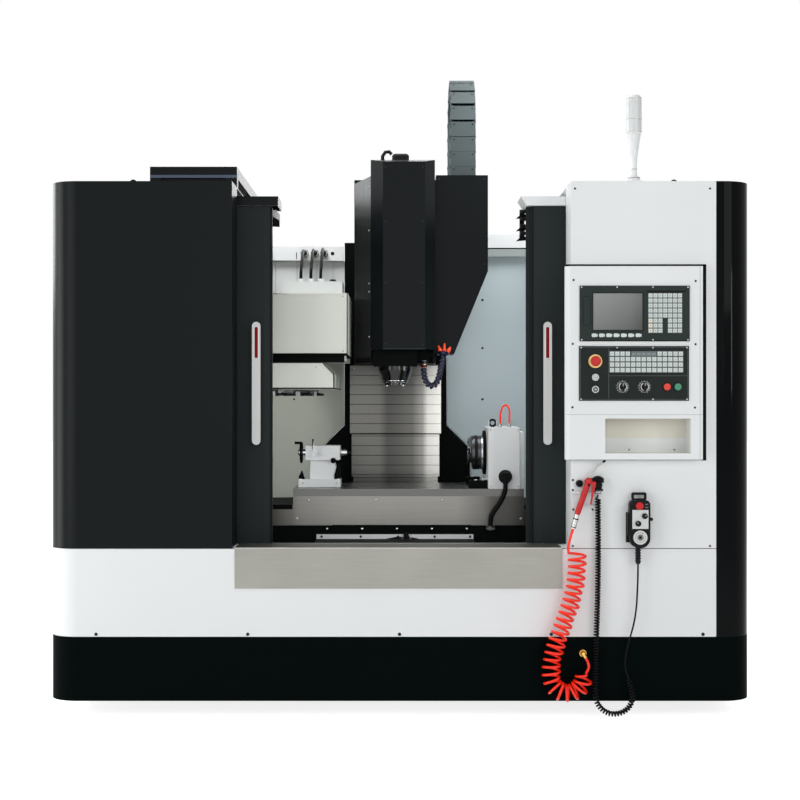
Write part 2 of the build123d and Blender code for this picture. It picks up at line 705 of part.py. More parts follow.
def make_bed():
    half = BED_HALF_WIDTH
    wide = half + BED_FLANGE
    profile = [
        (-wide, FOOT_HEIGHT),
        (wide, FOOT_HEIGHT),
        (wide, FOOT_HEIGHT + BED_FLANGE_HEIGHT),
        (half, FOOT_HEIGHT + BED_FLANGE_HEIGHT + BED_FLANGE),
        (half, BED_TOP),
        (-half, BED_TOP),
        (-half, FOOT_HEIGHT + BED_FLANGE_HEIGHT + BED_FLANGE),
        (-wide, FOOT_HEIGHT + BED_FLANGE_HEIGHT),
    ]
    body = prism_y([(CENTRE_X + x, z) for x, z in profile], BED_FRONT_Y, BED_REAR_Y)
    channel = slab(
        CENTRE_X - BED_CHANNEL_WIDTH / 2, CENTRE_X + BED_CHANNEL_WIDTH / 2,
        BED_FRONT_Y - 1, COLUMN_FRONT_Y, BED_TOP - BED_CHANNEL_DEPTH, BED_TOP + 1,
    )
    body -= channel
    for side in (-1, 1):
        middle = CENTRE_X + side * (Y_WAY_INNER + Y_WAY_WIDTH / 2)
        body += slab(middle - Y_WAY_WIDTH / 2, middle + Y_WAY_WIDTH / 2, BED_FRONT_Y, COLUMN_FRONT_Y, BED_TOP, BED_TOP + Y_WAY_HEIGHT)
    return body


def make_levelling_feet():
    feet = []
    for x in (CENTRE_X - FOOT_HALF_SPAN, CENTRE_X + FOOT_HALF_SPAN):
        for y in FOOT_ROWS:
            foot = turned_z(x, y, [
                (0, 0),
                (FOOT_RADIUS, 0),
                (FOOT_RADIUS, FOOT_PAD - 6),
                (FOOT_RADIUS - 6, FOOT_PAD),
                (FOOT_STUD_RADIUS, FOOT_PAD),
                (FOOT_STUD_RADIUS, FOOT_HEIGHT),
                (0, FOOT_HEIGHT),
            ])
            nut_bottom = FOOT_HEIGHT - FOOT_NUT_HEIGHT
            foot += Pos(x, y, nut_bottom) * extrude(RegularPolygon(FOOT_NUT_RADIUS, 6), amount=FOOT_NUT_HEIGHT)
            feet.append(foot)
    return Compound(feet)


def make_column():
    top = COLUMN_HALF_WIDTH
    base = COLUMN_BASE_HALF
    rise = base - top
    profile = [
        (-base, BED_TOP),
        (base, BED_TOP),
        (base, FLARE_BOTTOM_Z),
        (top, FLARE_BOTTOM_Z + rise),
        (top, COLUMN_TOP),
        (-top, COLUMN_TOP),
        (-top, FLARE_BOTTOM_Z + rise),
        (-base, FLARE_BOTTOM_Z),
    ]
    rear_y = COLUMN_FRONT_Y + COLUMN_DEPTH
    body = prism_y([(CENTRE_X + x, z) for x, z in profile], COLUMN_FRONT_Y, rear_y)
    arch = slab(CENTRE_X - ARCH_HALF, CENTRE_X + ARCH_HALF, COLUMN_FRONT_Y - 1, rear_y + 1, BED_TOP - 1, ARCH_TOP)
    inner = top - COLUMN_WALL
    pocket = slab(CENTRE_X - inner, CENTRE_X + inner, COLUMN_FRONT_Y + 60, rear_y + 1, ARCH_TOP + 60, COLUMN_TOP - 60)
    body = body - arch - pocket
    middle_z = (ARCH_TOP + COLUMN_TOP) / 2
    body += slab(CENTRE_X - inner, CENTRE_X + inner, COLUMN_FRONT_Y + 60, rear_y, middle_z - 20, middle_z + 20)
    for side in (-1, 1):
        middle = CENTRE_X + side * (Z_WAY_INNER + Z_WAY_WIDTH / 2)
        body += slab(middle - Z_WAY_WIDTH / 2, middle + Z_WAY_WIDTH / 2, COLUMN_FRONT_Y - Z_WAY_HEIGHT, COLUMN_FRONT_Y, Z_WAY_BOTTOM, COLUMN_TOP)
    side_x = CENTRE_X + COLUMN_HALF_WIDTH
    rear_leg = CHAIN_FRONT_Y + 2 * CHAIN_BEND
    gap = CHAIN_CLEARANCE
    trough_left = CHAIN_LEFT - SLIDE_GAP
    trough_right = CHAIN_LEFT + CHAIN_WIDTH + SLIDE_GAP
    y0 = rear_leg - gap
    y1 = rear_leg + CHAIN_THICKNESS + gap
    trough = slab(side_x - 1, trough_right + SHEET, y0 - SHEET, y1 + SHEET, TROUGH_BOTTOM, TROUGH_TOP)
    trough -= slab(trough_left, trough_right, y0, y1, TROUGH_BOTTOM + SHEET, TROUGH_TOP + 1)
    return body + trough


def y_cover(front_y, level):
    """One sheet of the cover over the bed ways; level 0 is the outermost."""
    half = Y_COVER_HALF - level * Y_COVER_STEP
    top = Y_COVER_TOP - level * Y_COVER_STEP
    bottom = Y_COVER_TOP - Y_COVER_DROP
    cover = channel_cover(CENTRE_X - half, CENTRE_X + half, front_y, front_y + Y_COVER_LENGTH, bottom, top, "y")
    return cover


def cover_pads(front_y, level, pad_y):
    """Wiper strips inside a cover that ride on the next one."""
    half = Y_COVER_HALF - level * Y_COVER_STEP - COVER_SHEET
    top = Y_COVER_TOP - level * Y_COVER_STEP - COVER_SHEET
    strip = Y_COVER_STEP - COVER_SHEET - SLIDE_GAP
    return slab(CENTRE_X - half, CENTRE_X + half, pad_y, pad_y + 8, top - strip, top)


def make_y_cover_front():
    cover = y_cover(Y_COVER_FRONT_Y, 2)
    half = Y_COVER_HALF - 2 * Y_COVER_STEP
    lid_top = Y_COVER_TOP - 2 * Y_COVER_STEP
    end = slab(CENTRE_X - half, CENTRE_X + half, Y_COVER_FRONT_Y, Y_COVER_FRONT_Y + COVER_SHEET, BED_TOP - 60, lid_top)
    foot = slab(CENTRE_X - half, CENTRE_X + half, Y_COVER_FRONT_Y, BED_FRONT_Y, BED_TOP - 60, BED_TOP - 60 + COVER_SHEET)
    return cover + end + foot


def make_y_cover_mid():
    front_y = Y_COVER_FRONT_Y - Y_TRAVEL_LOW / 2
    cover = y_cover(front_y, 1)
    return cover + cover_pads(front_y, 1, front_y + 2)


def make_saddle():
    left = CENTRE_X - SADDLE_HALF
    right = CENTRE_X + SADDLE_HALF
    rear_y = SADDLE_FRONT_Y + SADDLE_DEPTH
    wings = slab(left, right, SADDLE_FRONT_Y + SADDLE_LIP_INSET, rear_y - SADDLE_LIP_INSET, SADDLE_WING_BOTTOM, SADDLE_TOP)
    core_bottom = BED_TOP + Y_WAY_HEIGHT - SADDLE_GRIP
    core = slab(CENTRE_X - SADDLE_CORE_HALF, CENTRE_X + SADDLE_CORE_HALF, SADDLE_FRONT_Y + SADDLE_LIP_INSET, rear_y - SADDLE_LIP_INSET, core_bottom, SADDLE_WING_BOTTOM + 1)
    body = wings + core
    way_top = BED_TOP + Y_WAY_HEIGHT + SLIDE_GAP
    for side in (-1, 1):
        middle = CENTRE_X + side * (Y_WAY_INNER + Y_WAY_WIDTH / 2)
        half = Y_WAY_WIDTH / 2 + SLIDE_GAP
        body -= slab(middle - half, middle + half, SADDLE_FRONT_Y - 1, rear_y + 1, core_bottom - 1, way_top)
    for y0 in (SADDLE_FRONT_Y + SADDLE_LIP_INSET, rear_y - SADDLE_LIP_INSET - SADDLE_LIP_WIDTH):
        body += slab(left, right, y0, y0 + SADDLE_LIP_WIDTH, SADDLE_TOP - 1, SADDLE_TOP + SADDLE_LIP_HEIGHT)
    centre_y = SADDLE_FRONT_Y + SADDLE_DEPTH / 2
    for side in (-1, 1):
        way_y = centre_y + side * X_WAY_SPREAD / 2
        body += slab(left, right, way_y - X_WAY_WIDTH / 2, way_y + X_WAY_WIDTH / 2, SADDLE_TOP - 1, SADDLE_TOP + X_WAY_HEIGHT)
    return Compound([body] + make_saddle_covers())


def make_saddle_covers():
    """The fixed covers that ride on the saddle."""
    left = CENTRE_X - SADDLE_HALF
    right = CENTRE_X + SADDLE_HALF
    inset = SADDLE_LIP_INSET + SADDLE_LIP_WIDTH + 1
    y0 = SADDLE_FRONT_Y + inset
    y1 = SADDLE_FRONT_Y + SADDLE_DEPTH - inset
    top = X_MID_COVER_TOP - X_COVER_STEP_Z
    covers = []
    for x0, outer in ((left, left), (right - X_END_COVER_LENGTH, right - COVER_SHEET)):
        hood = channel_cover(x0, x0 + X_END_COVER_LENGTH, y0, y1, SADDLE_TOP, top, "x")
        ways = SADDLE_TOP + X_WAY_HEIGHT
        plate = slab(outer, outer + COVER_SHEET, y0, y1, ways, top)
        covers.append(hood + plate)
    front_y = SADDLE_FRONT_Y - Y_COVER_LENGTH + SADDLE_LIP_INSET
    front = y_cover(front_y, 0) + cover_pads(front_y, 0, front_y + 2)
    bar_half = Y_COVER_HALF
    bar_rear = SADDLE_FRONT_Y + SADDLE_LIP_INSET
    bar = slab(CENTRE_X - bar_half, CENTRE_X + bar_half, SADDLE_FRONT_Y + 1, bar_rear, Y_COVER_TOP, SADDLE_TOP - 8)
    rear_y = SADDLE_FRONT_Y + SADDLE_DEPTH - SADDLE_LIP_INSET
    guard = slab(CENTRE_X - GUARD_HALF, CENTRE_X + GUARD_HALF, rear_y, rear_y + GUARD_LENGTH, GUARD_Z, GUARD_Z + COVER_SHEET)
    for side in (-1, 1):
        x0 = CENTRE_X + side * GUARD_HALF - (COVER_SHEET if side > 0 else 0)
        guard += slab(x0, x0 + COVER_SHEET, rear_y, rear_y + GUARD_LENGTH, GUARD_Z - 60, GUARD_Z + COVER_SHEET)
    return [covers[0], covers[1], front + bar, guard]


def make_x_cover_mid():
    y0 = SADDLE_FRONT_Y + X_COVER_INSET
    y1 = SADDLE_FRONT_Y + SADDLE_DEPTH - X_COVER_INSET
    bottom = SADDLE_TOP + SADDLE_LIP_HEIGHT + SLIDE_GAP
    reach = CARRIAGE_HALF + 2
    pieces = []
    left_edge = CENTRE_X + TABLE_OFFSET - reach - X_TRAVEL_HIGH / 2
    right_edge = CENTRE_X + TABLE_OFFSET + reach - X_TRAVEL_LOW / 2
    left_x = left_edge - X_MID_COVER_LENGTH
    pieces.append(channel_cover(left_x, left_edge, y0, y1, bottom, X_MID_COVER_TOP, "x"))
    pieces.append(channel_cover(right_edge, right_edge + X_MID_COVER_LENGTH, y0, y1, bottom, X_MID_COVER_TOP, "x"))
    return Compound(pieces)


def make_table():
    middle_x = CENTRE_X + TABLE_OFFSET
    x0 = middle_x - TABLE_LENGTH / 2
    x1 = middle_x + TABLE_LENGTH / 2
    y0 = SADDLE_FRONT_Y
    y1 = SADDLE_FRONT_Y + SADDLE_DEPTH
    body = slab(x0, x1, y0, y1, TABLE_TOP - TABLE_SLAB, TABLE_TOP)
    bottom = TABLE_TOP - TABLE_THICKNESS
    body += slab(x0, x1, y0 + APRON_SHEET, y1 - APRON_SHEET, bottom, TABLE_TOP - TABLE_SLAB + 1)
    centre_y = (y0 + y1) / 2
    for i in range(SLOT_COUNT):
        y = centre_y + (i - (SLOT_COUNT - 1) / 2) * SLOT_PITCH
        body -= slab(x0 - 1, x1 + 1, y - SLOT_WIDTH / 2, y + SLOT_WIDTH / 2, TABLE_TOP - SLOT_NECK - 1, TABLE_TOP + 1)
        body -= slab(x0 - 1, x1 + 1, y - SLOT_T_WIDTH / 2, y + SLOT_T_WIDTH / 2, TABLE_TOP - SLOT_DEPTH, TABLE_TOP - SLOT_NECK)
    half_y = X_WAY_SPREAD / 2 + X_WAY_WIDTH / 2 + 30
    way_top = SADDLE_TOP + X_WAY_HEIGHT
    carriage = slab(middle_x - CARRIAGE_HALF, middle_x + CARRIAGE_HALF, centre_y - half_y, centre_y + half_y, way_top - 20, bottom + 1)
    for side in (-1, 1):
        way_y = centre_y + side * X_WAY_SPREAD / 2
        half = X_WAY_WIDTH / 2 + SLIDE_GAP
        carriage -= slab(middle_x - CARRIAGE_HALF - 1, middle_x + CARRIAGE_HALF + 1, way_y - half, way_y + half, way_top - 21, way_top + SLIDE_GAP)
    return body + carriage


def make_table_apron():
    middle_x = CENTRE_X + TABLE_OFFSET
    x0 = middle_x - TABLE_LENGTH / 2
    x1 = middle_x + TABLE_LENGTH / 2
    top = TABLE_TOP - TABLE_SLAB
    front = slab(x0, x1, SADDLE_FRONT_Y, SADDLE_FRONT_Y + APRON_SHEET, APRON_BOTTOM, top)
    rear_y = SADDLE_FRONT_Y + SADDLE_DEPTH
    rear = slab(x0, x1, rear_y - APRON_SHEET, rear_y, APRON_BOTTOM, top)
    gland = rod_z(CABLE_X, CABLE_END_Y, 15, CABLE_END_Z - 18, CABLE_END_Z)
    holder = slab(CABLE_X - 18, CABLE_X + 18, CABLE_END_Y - 16, SADDLE_FRONT_Y, CABLE_END_Z - 14, CABLE_END_Z - 6)
    post = slab(CABLE_X - 18, CABLE_X + 18, SADDLE_FRONT_Y - 4, SADDLE_FRONT_Y, CABLE_END_Z - 14, APRON_BOTTOM + 22)
    return Compound([front + post + holder + gland, rear])


# Rotary table and tailstock on the table

def make_rotary_housing():
    x0 = ROTARY_LEFT
    x1 = ROTARY_LEFT + ROTARY_WIDTH
    y0 = ROTARY_FRONT_Y
    y1 = ROTARY_FRONT_Y + ROTARY_DEPTH
    body = slab(x0, x1, y0, y1, TABLE_TOP, TABLE_TOP + ROTARY_HEIGHT)
    body = fillet(body.edges().filter_by(Axis.Y), 6)
    flange = slab(x1, x1 + ROTARY_FLANGE, y0 + 15, y1 - 15, TABLE_TOP, TABLE_TOP + ROTARY_HEIGHT - 20)
    nose_z = ROTARY_Z
    nose = rod_x(ROTARY_Y, nose_z, CHUCK_RADIUS - 8, x0 - ROTARY_NOSE, x0 + 1)
    bore = rod_x(ROTARY_Y, nose_z, CHUCK_SHAFT_RADIUS + RUNNING_GAP, x0 - ROTARY_NOSE - 1, x0 - ROTARY_NOSE + CHUCK_SHAFT_LENGTH)
    body = body + flange + nose - bore
    top = TABLE_TOP + ROTARY_HEIGHT
    eye = Pos(x0 + 26, y0 + 120, top + 18) * Rot(90, 0, 0) * Torus(14, 5)
    stem = rod_z(x0 + 26, y0 + 120, 8, top - 1, top + 8)
    boot = slab(BOOT_X - 17, BOOT_X + 17, BOOT_Y - 12, y0 + 1, BOOT_Z - 14, BOOT_Z + 20)
    boot += rod_z(BOOT_X, BOOT_Y, 13, BOOT_BOTTOM, BOOT_Z)
    foot = slab(x0 - 20, x0 + 1, y0 + 60, y1 - 20, TABLE_TOP, TABLE_TOP + 40)
    fitting_a = rod_z(LOOP_LEFT_X, LOOP_Y, 7, top - 1, LOOP_BASE_Z)
    fitting_b = rod_z(LOOP_RIGHT_X, LOOP_Y, 7, top - 1, LOOP_BASE_Z)
    return body + eye + stem + boot + foot + fitting_a + fitting_b


def make_rotary_chuck():
    face_x = ROTARY_LEFT - ROTARY_NOSE - COVER_GAP
    body = rod_x(ROTARY_Y, ROTARY_Z, CHUCK_RADIUS, face_x - CHUCK_LENGTH, face_x)
    step = rod_x(ROTARY_Y, ROTARY_Z, CHUCK_RADIUS - 6, face_x - CHUCK_LENGTH - 4, face_x - CHUCK_LENGTH + 1)
    shaft = rod_x(ROTARY_Y, ROTARY_Z, CHUCK_SHAFT_RADIUS, face_x - 1, face_x + CHUCK_SHAFT_LENGTH - 10)
    body = body + step + shaft
    outer_x = face_x - CHUCK_LENGTH
    for i in range(3):
        jaw = slab(outer_x - JAW_LENGTH, outer_x + 1, -JAW_WIDTH / 2, JAW_WIDTH / 2, CHUCK_BORE + 8, CHUCK_RADIUS - 10)
        jaw += slab(outer_x - JAW_LENGTH / 2, outer_x + 1, -JAW_WIDTH / 2, JAW_WIDTH / 2, CHUCK_BORE + 4, CHUCK_RADIUS - 2)
        body += Pos(0, ROTARY_Y, ROTARY_Z) * Rot(120 * i, 0, 0) * jaw
    body -= rod_x(ROTARY_Y, ROTARY_Z, CHUCK_BORE, outer_x - JAW_LENGTH - 10, face_x + CHUCK_SHAFT_LENGTH)
    return body


def make_tailstock_body():
    x0 = TAIL_LEFT
    x1 = TAIL_LEFT + TAIL_BASE_LENGTH
    hx0 = TAIL_HEAD_LEFT
    hx1 = TAIL_HEAD_LEFT + TAIL_HEAD_LENGTH
    z0 = TABLE_TOP
    head_bottom = ROTARY_Z - TAIL_HEAD_HEIGHT / 2
    head_top = ROTARY_Z + TAIL_HEAD_HEIGHT / 2
    base_top = z0 + TAIL_BASE_HEIGHT
    profile = [
        (x0, z0),
        (x1, z0),
        (x1, base_top),
        (x1 - 8, base_top),
        (hx1 - TAIL_WAIST_INSET, head_bottom),
        (hx1, head_bottom),
        (hx1, head_top),
        (hx0, head_top),
        (hx0, head_bottom),
        (hx0 + TAIL_WAIST_INSET - 4, head_bottom),
        (hx0 + TAIL_WAIST_INSET - 8, base_top),
        (x0, base_top),
    ]
    half = TAIL_HALF_DEPTH
    body = prism_y(profile, ROTARY_Y - half, ROTARY_Y + half)
    waist = [
        slab(hx0 - 1, hx1 + 1, ROTARY_Y - half - 1, ROTARY_Y - half + 18, base_top, head_bottom),
        slab(hx0 - 1, hx1 + 1, ROTARY_Y + half - 18, ROTARY_Y + half + 1, base_top, head_bottom),
    ]
    body = body - waist[0] - waist[1]
    quill_bore = rod_x(ROTARY_Y, ROTARY_Z, QUILL_RADIUS + RUNNING_GAP, hx1 - QUILL_BORE_DEPTH, hx1 + 1)
    shaft_bore = rod_x(ROTARY_Y, ROTARY_Z, WHEEL_SHAFT + RUNNING_GAP, hx0 - 1, hx0 + WHEEL_SHAFT_LENGTH + 6)
    clamp = rod_y(hx0 + 34, ROTARY_Z - 6, 9, ROTARY_Y - half - 22, ROTARY_Y - half + 1)
    lever = slab(hx0 + 30, hx0 + 38, ROTARY_Y - half - 22, ROTARY_Y - half - 14, ROTARY_Z - 6, ROTARY_Z + 62)
    return body - quill_bore - shaft_bore + clamp + lever


def make_tailstock_quill():
    hx1 = TAIL_HEAD_LEFT + TAIL_HEAD_LENGTH
    rear = hx1 - QUILL_BORE_DEPTH + 12
    body = rod_x(ROTARY_Y, ROTARY_Z, QUILL_RADIUS, rear, hx1 + QUILL_REACH - 20)
    tip_x = hx1 + QUILL_REACH
    cone = Pos(tip_x - 10, ROTARY_Y, ROTARY_Z) * Rot(0, 90, 0) * Cone(QUILL_RADIUS - 3, 0.5, 20)
    return body + cone


def make_tailstock_handwheel():
    face_x = TAIL_HEAD_LEFT - SLIDE_GAP
    shaft = rod_x(ROTARY_Y, ROTARY_Z, WHEEL_SHAFT, face_x - 30, face_x + WHEEL_SHAFT_LENGTH)
    hub = rod_x(ROTARY_Y, ROTARY_Z, WHEEL_HUB, face_x - 30, face_x)
    ring = Pos(face_x - 22, ROTARY_Y, ROTARY_Z) * Rot(0, 90, 0) * Torus(WHEEL_RADIUS - 6, 6)
    spokes = slab(face_x - 26, face_x - 18, ROTARY_Y - WHEEL_RADIUS + 6, ROTARY_Y + WHEEL_RADIUS - 6, ROTARY_Z - 5, ROTARY_Z + 5)
    spokes += slab(face_x - 26, face_x - 18, ROTARY_Y - 5, ROTARY_Y + 5, ROTARY_Z - WHEEL_RADIUS + 6, ROTARY_Z + WHEEL_RADIUS - 6)
    grip = rod_x(ROTARY_Y, ROTARY_Z + WHEEL_RADIUS - 6, 6, face_x - 52, face_x - 22)
    return shaft + hub + ring + spokes + grip


# Head and spindle

def make_headstock():
    x0 = CENTRE_X - HEAD_HALF_WIDTH
    x1 = CENTRE_X + HEAD_HALF_WIDTH
    rear_y = COLUMN_FRONT_Y - Z_WAY_HEIGHT + HEAD_GRIP
    body = slab(x0, x1, HEAD_FRONT_Y, rear_y, HEAD_BOTTOM, HEAD_TOP)
    w = HEAD_WALL
    body -= slab(x0 + w, x1 - w, HEAD_FRONT_Y + w, rear_y - 2 * w, HEAD_BOTTOM + w, HEAD_TOP + 1)
    way_face = COLUMN_FRONT_Y - Z_WAY_HEIGHT - SLIDE_GAP
    for side in (-1, 1):
        middle = CENTRE_X + side * (Z_WAY_INNER + Z_WAY_WIDTH / 2)
        half = Z_WAY_WIDTH / 2 + SLIDE_GAP
        body -= slab(middle - half, middle + half, way_face, rear_y + 1, HEAD_BOTTOM - 1, HEAD_TOP + 1)
    neck_y = SPINDLE_Y - NECK_HALF_WIDTH
    body += slab(CENTRE_X - NECK_HALF_WIDTH, CENTRE_X + NECK_HALF_WIDTH, neck_y, HEAD_FRONT_Y + 1, NECK_BOTTOM, NECK_TOP)
    cone = turned_z(CENTRE_X, SPINDLE_Y, [
        (0, NOSE_Z + SPINDLE_FLANGE),
        (CONE_BOTTOM_RADIUS, NOSE_Z + SPINDLE_FLANGE),
        (CONE_BOTTOM_RADIUS + 4, NOSE_Z + SPINDLE_FLANGE + 10),
        (CONE_TOP_RADIUS, NECK_BOTTOM - 20),
        (CONE_TOP_RADIUS, NECK_BOTTOM + 1),
        (0, NECK_BOTTOM + 1),
    ])
    body += cone
    motor = rod_z(CENTRE_X, SPINDLE_Y, MOTOR_RADIUS, NECK_TOP - 1, HOOD_TOP - MOTOR_CLEARANCE)
    bore = rod_z(CENTRE_X, SPINDLE_Y, SPINDLE_RADIUS + RUNNING_GAP, NOSE_Z, NOSE_Z + SPINDLE_LENGTH + 10)
    return body + motor - bore


def make_spindle():
    profile = [
        (TAPER_RADIUS, NOSE_Z),
        (SPINDLE_FLANGE_RADIUS, NOSE_Z),
        (SPINDLE_FLANGE_RADIUS, NOSE_Z + SPINDLE_FLANGE - COVER_GAP),
        (SPINDLE_RADIUS, NOSE_Z + SPINDLE_FLANGE - COVER_GAP),
        (SPINDLE_RADIUS, NOSE_Z + SPINDLE_LENGTH),
        (DRAWBAR_RADIUS, NOSE_Z + SPINDLE_LENGTH),
        (DRAWBAR_RADIUS, NOSE_Z + TAPER_LENGTH),
        (TAPER_RADIUS - TAPER_LENGTH * 7 / 48, NOSE_Z + TAPER_LENGTH),
    ]
    body = turned_z(CENTRE_X, SPINDLE_Y, profile)
    for side in (-1, 1):
        outer = CENTRE_X + side * (SPINDLE_FLANGE_RADIUS - 2)
        inner = CENTRE_X + side * (TAPER_RADIUS + 8)
        body += slab(min(outer, inner), max(outer, inner), SPINDLE_Y - KEY_WIDTH / 2, SPINDLE_Y + KEY_WIDTH / 2, NOSE_Z - KEY_PROUD, NOSE_Z + 1)
    return body


def hood_outline(inset):
    """Plan outline of the hood in front of the spindle motor, as (x, y) points."""
    x0 = HOOD_LEFT + inset
    x1 = HOOD_LEFT + HOOD_WIDTH - inset
    y0 = HOOD_FRONT_Y + inset
    side_y = HOOD_FRONT_Y + HOOD_CHAMFER_DEPTH + inset / 2
    return [
        (x0, HOOD_REAR_Y),
        (x0, side_y),
        (HOOD_LEFT + HOOD_CHAMFER_LEFT + inset / 2, y0),
        (HOOD_LEFT + HOOD_WIDTH - HOOD_CHAMFER_RIGHT - inset / 2, y0),
        (x1, side_y),
        (x1, HOOD_REAR_Y),
    ]


def make_head_cover():
    hood = prism_z(hood_outline(0), HOOD_BOTTOM, HOOD_TOP)
    hollow = prism_z(hood_outline(SHEET), HOOD_BOTTOM - 1, HOOD_TOP - SHEET - HOOD_SLOPE)
    hollow_back = slab(HOOD_LEFT + SHEET, HOOD_LEFT + HOOD_WIDTH - SHEET, HOOD_REAR_Y - SHEET - 1, HOOD_REAR_Y + 1, HOOD_BOTTOM - 1, HOOD_TOP - SHEET - HOOD_SLOPE)
    slope = prism_x([
        (HOOD_FRONT_Y - 1, HOOD_TOP - HOOD_SLOPE),
        (HOOD_FRONT_Y - 1, HOOD_TOP + 1),
        (HOOD_FRONT_Y + HOOD_CHAMFER_DEPTH, HOOD_TOP + 1),
        (HOOD_FRONT_Y + HOOD_CHAMFER_DEPTH, HOOD_TOP),
    ], HOOD_LEFT - 1, HOOD_LEFT + HOOD_WIDTH + 1)
    knob_x = HOOD_LEFT + HOOD_WIDTH / 2 - 10
    knob = slab(knob_x - 38, knob_x + 38, HOOD_FRONT_Y + 90, HOOD_FRONT_Y + 150, HOOD_TOP - 1, HOOD_TOP + 34)
    knob = fillet(knob.edges().filter_by(Axis.Z), 16)
    knob = chamfer(knob.faces().sort_by(Axis.Z)[-1].edges(), 8)
    hood = hood - hollow - hollow_back - slope + knob

    flare_rear = WING_FRONT_Y + WING_DEPTH
    head_left = CENTRE_X - HEAD_HALF_WIDTH
    flare_x = HOOD_LEFT - FLARE_WIDTH
    head_right = CENTRE_X + HEAD_HALF_WIDTH
    back = slab(flare_x - SHEET, head_right + SHEET, HOOD_REAR_Y - SHEET, flare_rear, HEAD_BOTTOM, FLARE_TOP)
    back_hollow = slab(flare_x, head_right, HOOD_REAR_Y, flare_rear + 1, HEAD_BOTTOM - 1, FLARE_TOP - SHEET)
    window = slab(HOOD_LEFT + SHEET, HOOD_LEFT + HOOD_WIDTH - SHEET, HOOD_REAR_Y - SHEET - 1, HOOD_REAR_Y + 1, HEAD_BOTTOM - 1, FLARE_TOP - 40)
    back = back - back_hollow - window

    wing_x0 = head_right + SHEET
    wing_x1 = HOOD_LEFT + HOOD_WIDTH + WING_WIDTH
    outline = [
        (wing_x0, WING_TOP),
        (wing_x1, WING_TOP),
        (wing_x1, WING_SIDE_BOTTOM),
        (wing_x0 + WING_TIP_WIDTH, WING_TIP_Z),
        (wing_x0, WING_TIP_Z),
    ]
    wing = prism_y(outline, WING_FRONT_Y, WING_FRONT_Y + WING_DEPTH)
    t = SHEET
    inner = [
        (wing_x0 + t, WING_TOP + 1),
        (wing_x1 - t, WING_TOP + 1),
        (wing_x1 - t, WING_SIDE_BOTTOM + 1.4 * t),
        (wing_x0 + WING_TIP_WIDTH - t, WING_TIP_Z + t),
        (wing_x0 + t, WING_TIP_Z + t),
    ]
    wing -= prism_y(inner, WING_FRONT_Y + t, WING_FRONT_Y + WING_DEPTH - t)
    return hood + back + wing


def make_coolant_nozzles():
    side_x = CENTRE_X + NECK_HALF_WIDTH
    block_z = HEAD_BOTTOM + 8
    block = slab(side_x, side_x + NOZZLE_BLOCK, NOZZLE_Y, NOZZLE_Y + 44, block_z, HOOD_BOTTOM)
    stem_x = side_x + NOZZLE_BLOCK - 20
    manifold_x = side_x + NOZZLE_BLOCK + 10
    manifold_top = HOOD_BOTTOM - 5
    end_x = manifold_x + 44
    pipe = FilletPolyline(
        [
            (stem_x, NOZZLE_Y + 22, block_z + 1),
            (stem_x, NOZZLE_Y + 20, block_z - 74),
            (stem_x + 12, NOZZLE_Y + 14, block_z - 108),
            (stem_x + 44, NOZZLE_Y + 4, block_z - 112),
            (end_x - 2, NOZZLE_Y, block_z - 78),
            (end_x, NOZZLE_Y, manifold_top - 44),
        ],
        radius=18,
    )
    hose = sweep(Plane(pipe @ 0, z_dir=pipe % 0) * Circle(NOZZLE_HOSE / 2), path=pipe)
    manifold = slab(manifold_x, manifold_x + 56, NOZZLE_Y - 8, NOZZLE_Y + 12, manifold_top - 45, manifold_top)
    link = slab(side_x + NOZZLE_BLOCK - 1, manifold_x + 1, NOZZLE_Y, NOZZLE_Y + 10, manifold_top - 24, manifold_top - 6)
    body = block + hose + manifold + link
    for i in range(3):
        x = manifold_x + 10 + 18 * i
        tip = Pos(x, NOZZLE_Y - 20, manifold_top - 16 - 7 * i) * Rot(70, 0, 0) * Cone(9, 5, 30)
        body += tip
    return body


def shield_sheet(bottom, length, level):
    """One layer of the shield over the Z ways, with pressed lines across it."""
    t = Z_SHIELD_SHEET
    half = Z_SHIELD_HALF - level * Z_SHIELD_STEP_X
    front = Z_SHIELD_FRONT_Y + level * (t + COVER_GAP)
    sheet = slab(CENTRE_X - half, CENTRE_X + half, front, front + t, bottom, bottom + length)
    if level < 2:
        back = front + Z_SHIELD_RETURN
    else:
        back = COLUMN_FRONT_Y
    for side in (-1, 1):
        edge = CENTRE_X + side * half
        sheet += slab(min(edge, edge - side * t), max(edge, edge - side * t), front, back, bottom, bottom + length)
    lines = int(length // Z_SHIELD_PITCH)
    groove = Z_SHIELD_GROOVE
    for i in range(1, lines + 1):
        z = bottom + length - i * Z_SHIELD_PITCH
        if z > bottom + 2 * groove:
            sheet -= prism_x([(front - 0.1, z - groove), (front + groove, z), (front - 0.1, z + groove)], CENTRE_X - half - 1, CENTRE_X + half + 1)
    return sheet


def make_z_shield_top():
    top_at_high = Z_SHIELD_BOTTOM + 3 * Z_SHIELD_LENGTH - 13
    bottom = top_at_high - Z_SHIELD_LENGTH - Z_TRAVEL_HIGH
    return shield_sheet(bottom, HEAD_BOTTOM - bottom, 0)


def make_z_shield_mid():
    bottom_at_high = Z_SHIELD_BOTTOM + Z_SHIELD_LENGTH - 7
    return shield_sheet(bottom_at_high - Z_TRAVEL_HIGH / 2, Z_SHIELD_LENGTH, 1)


def make_z_shield_bottom():
    return shield_sheet(Z_SHIELD_BOTTOM, Z_SHIELD_LENGTH, 2)


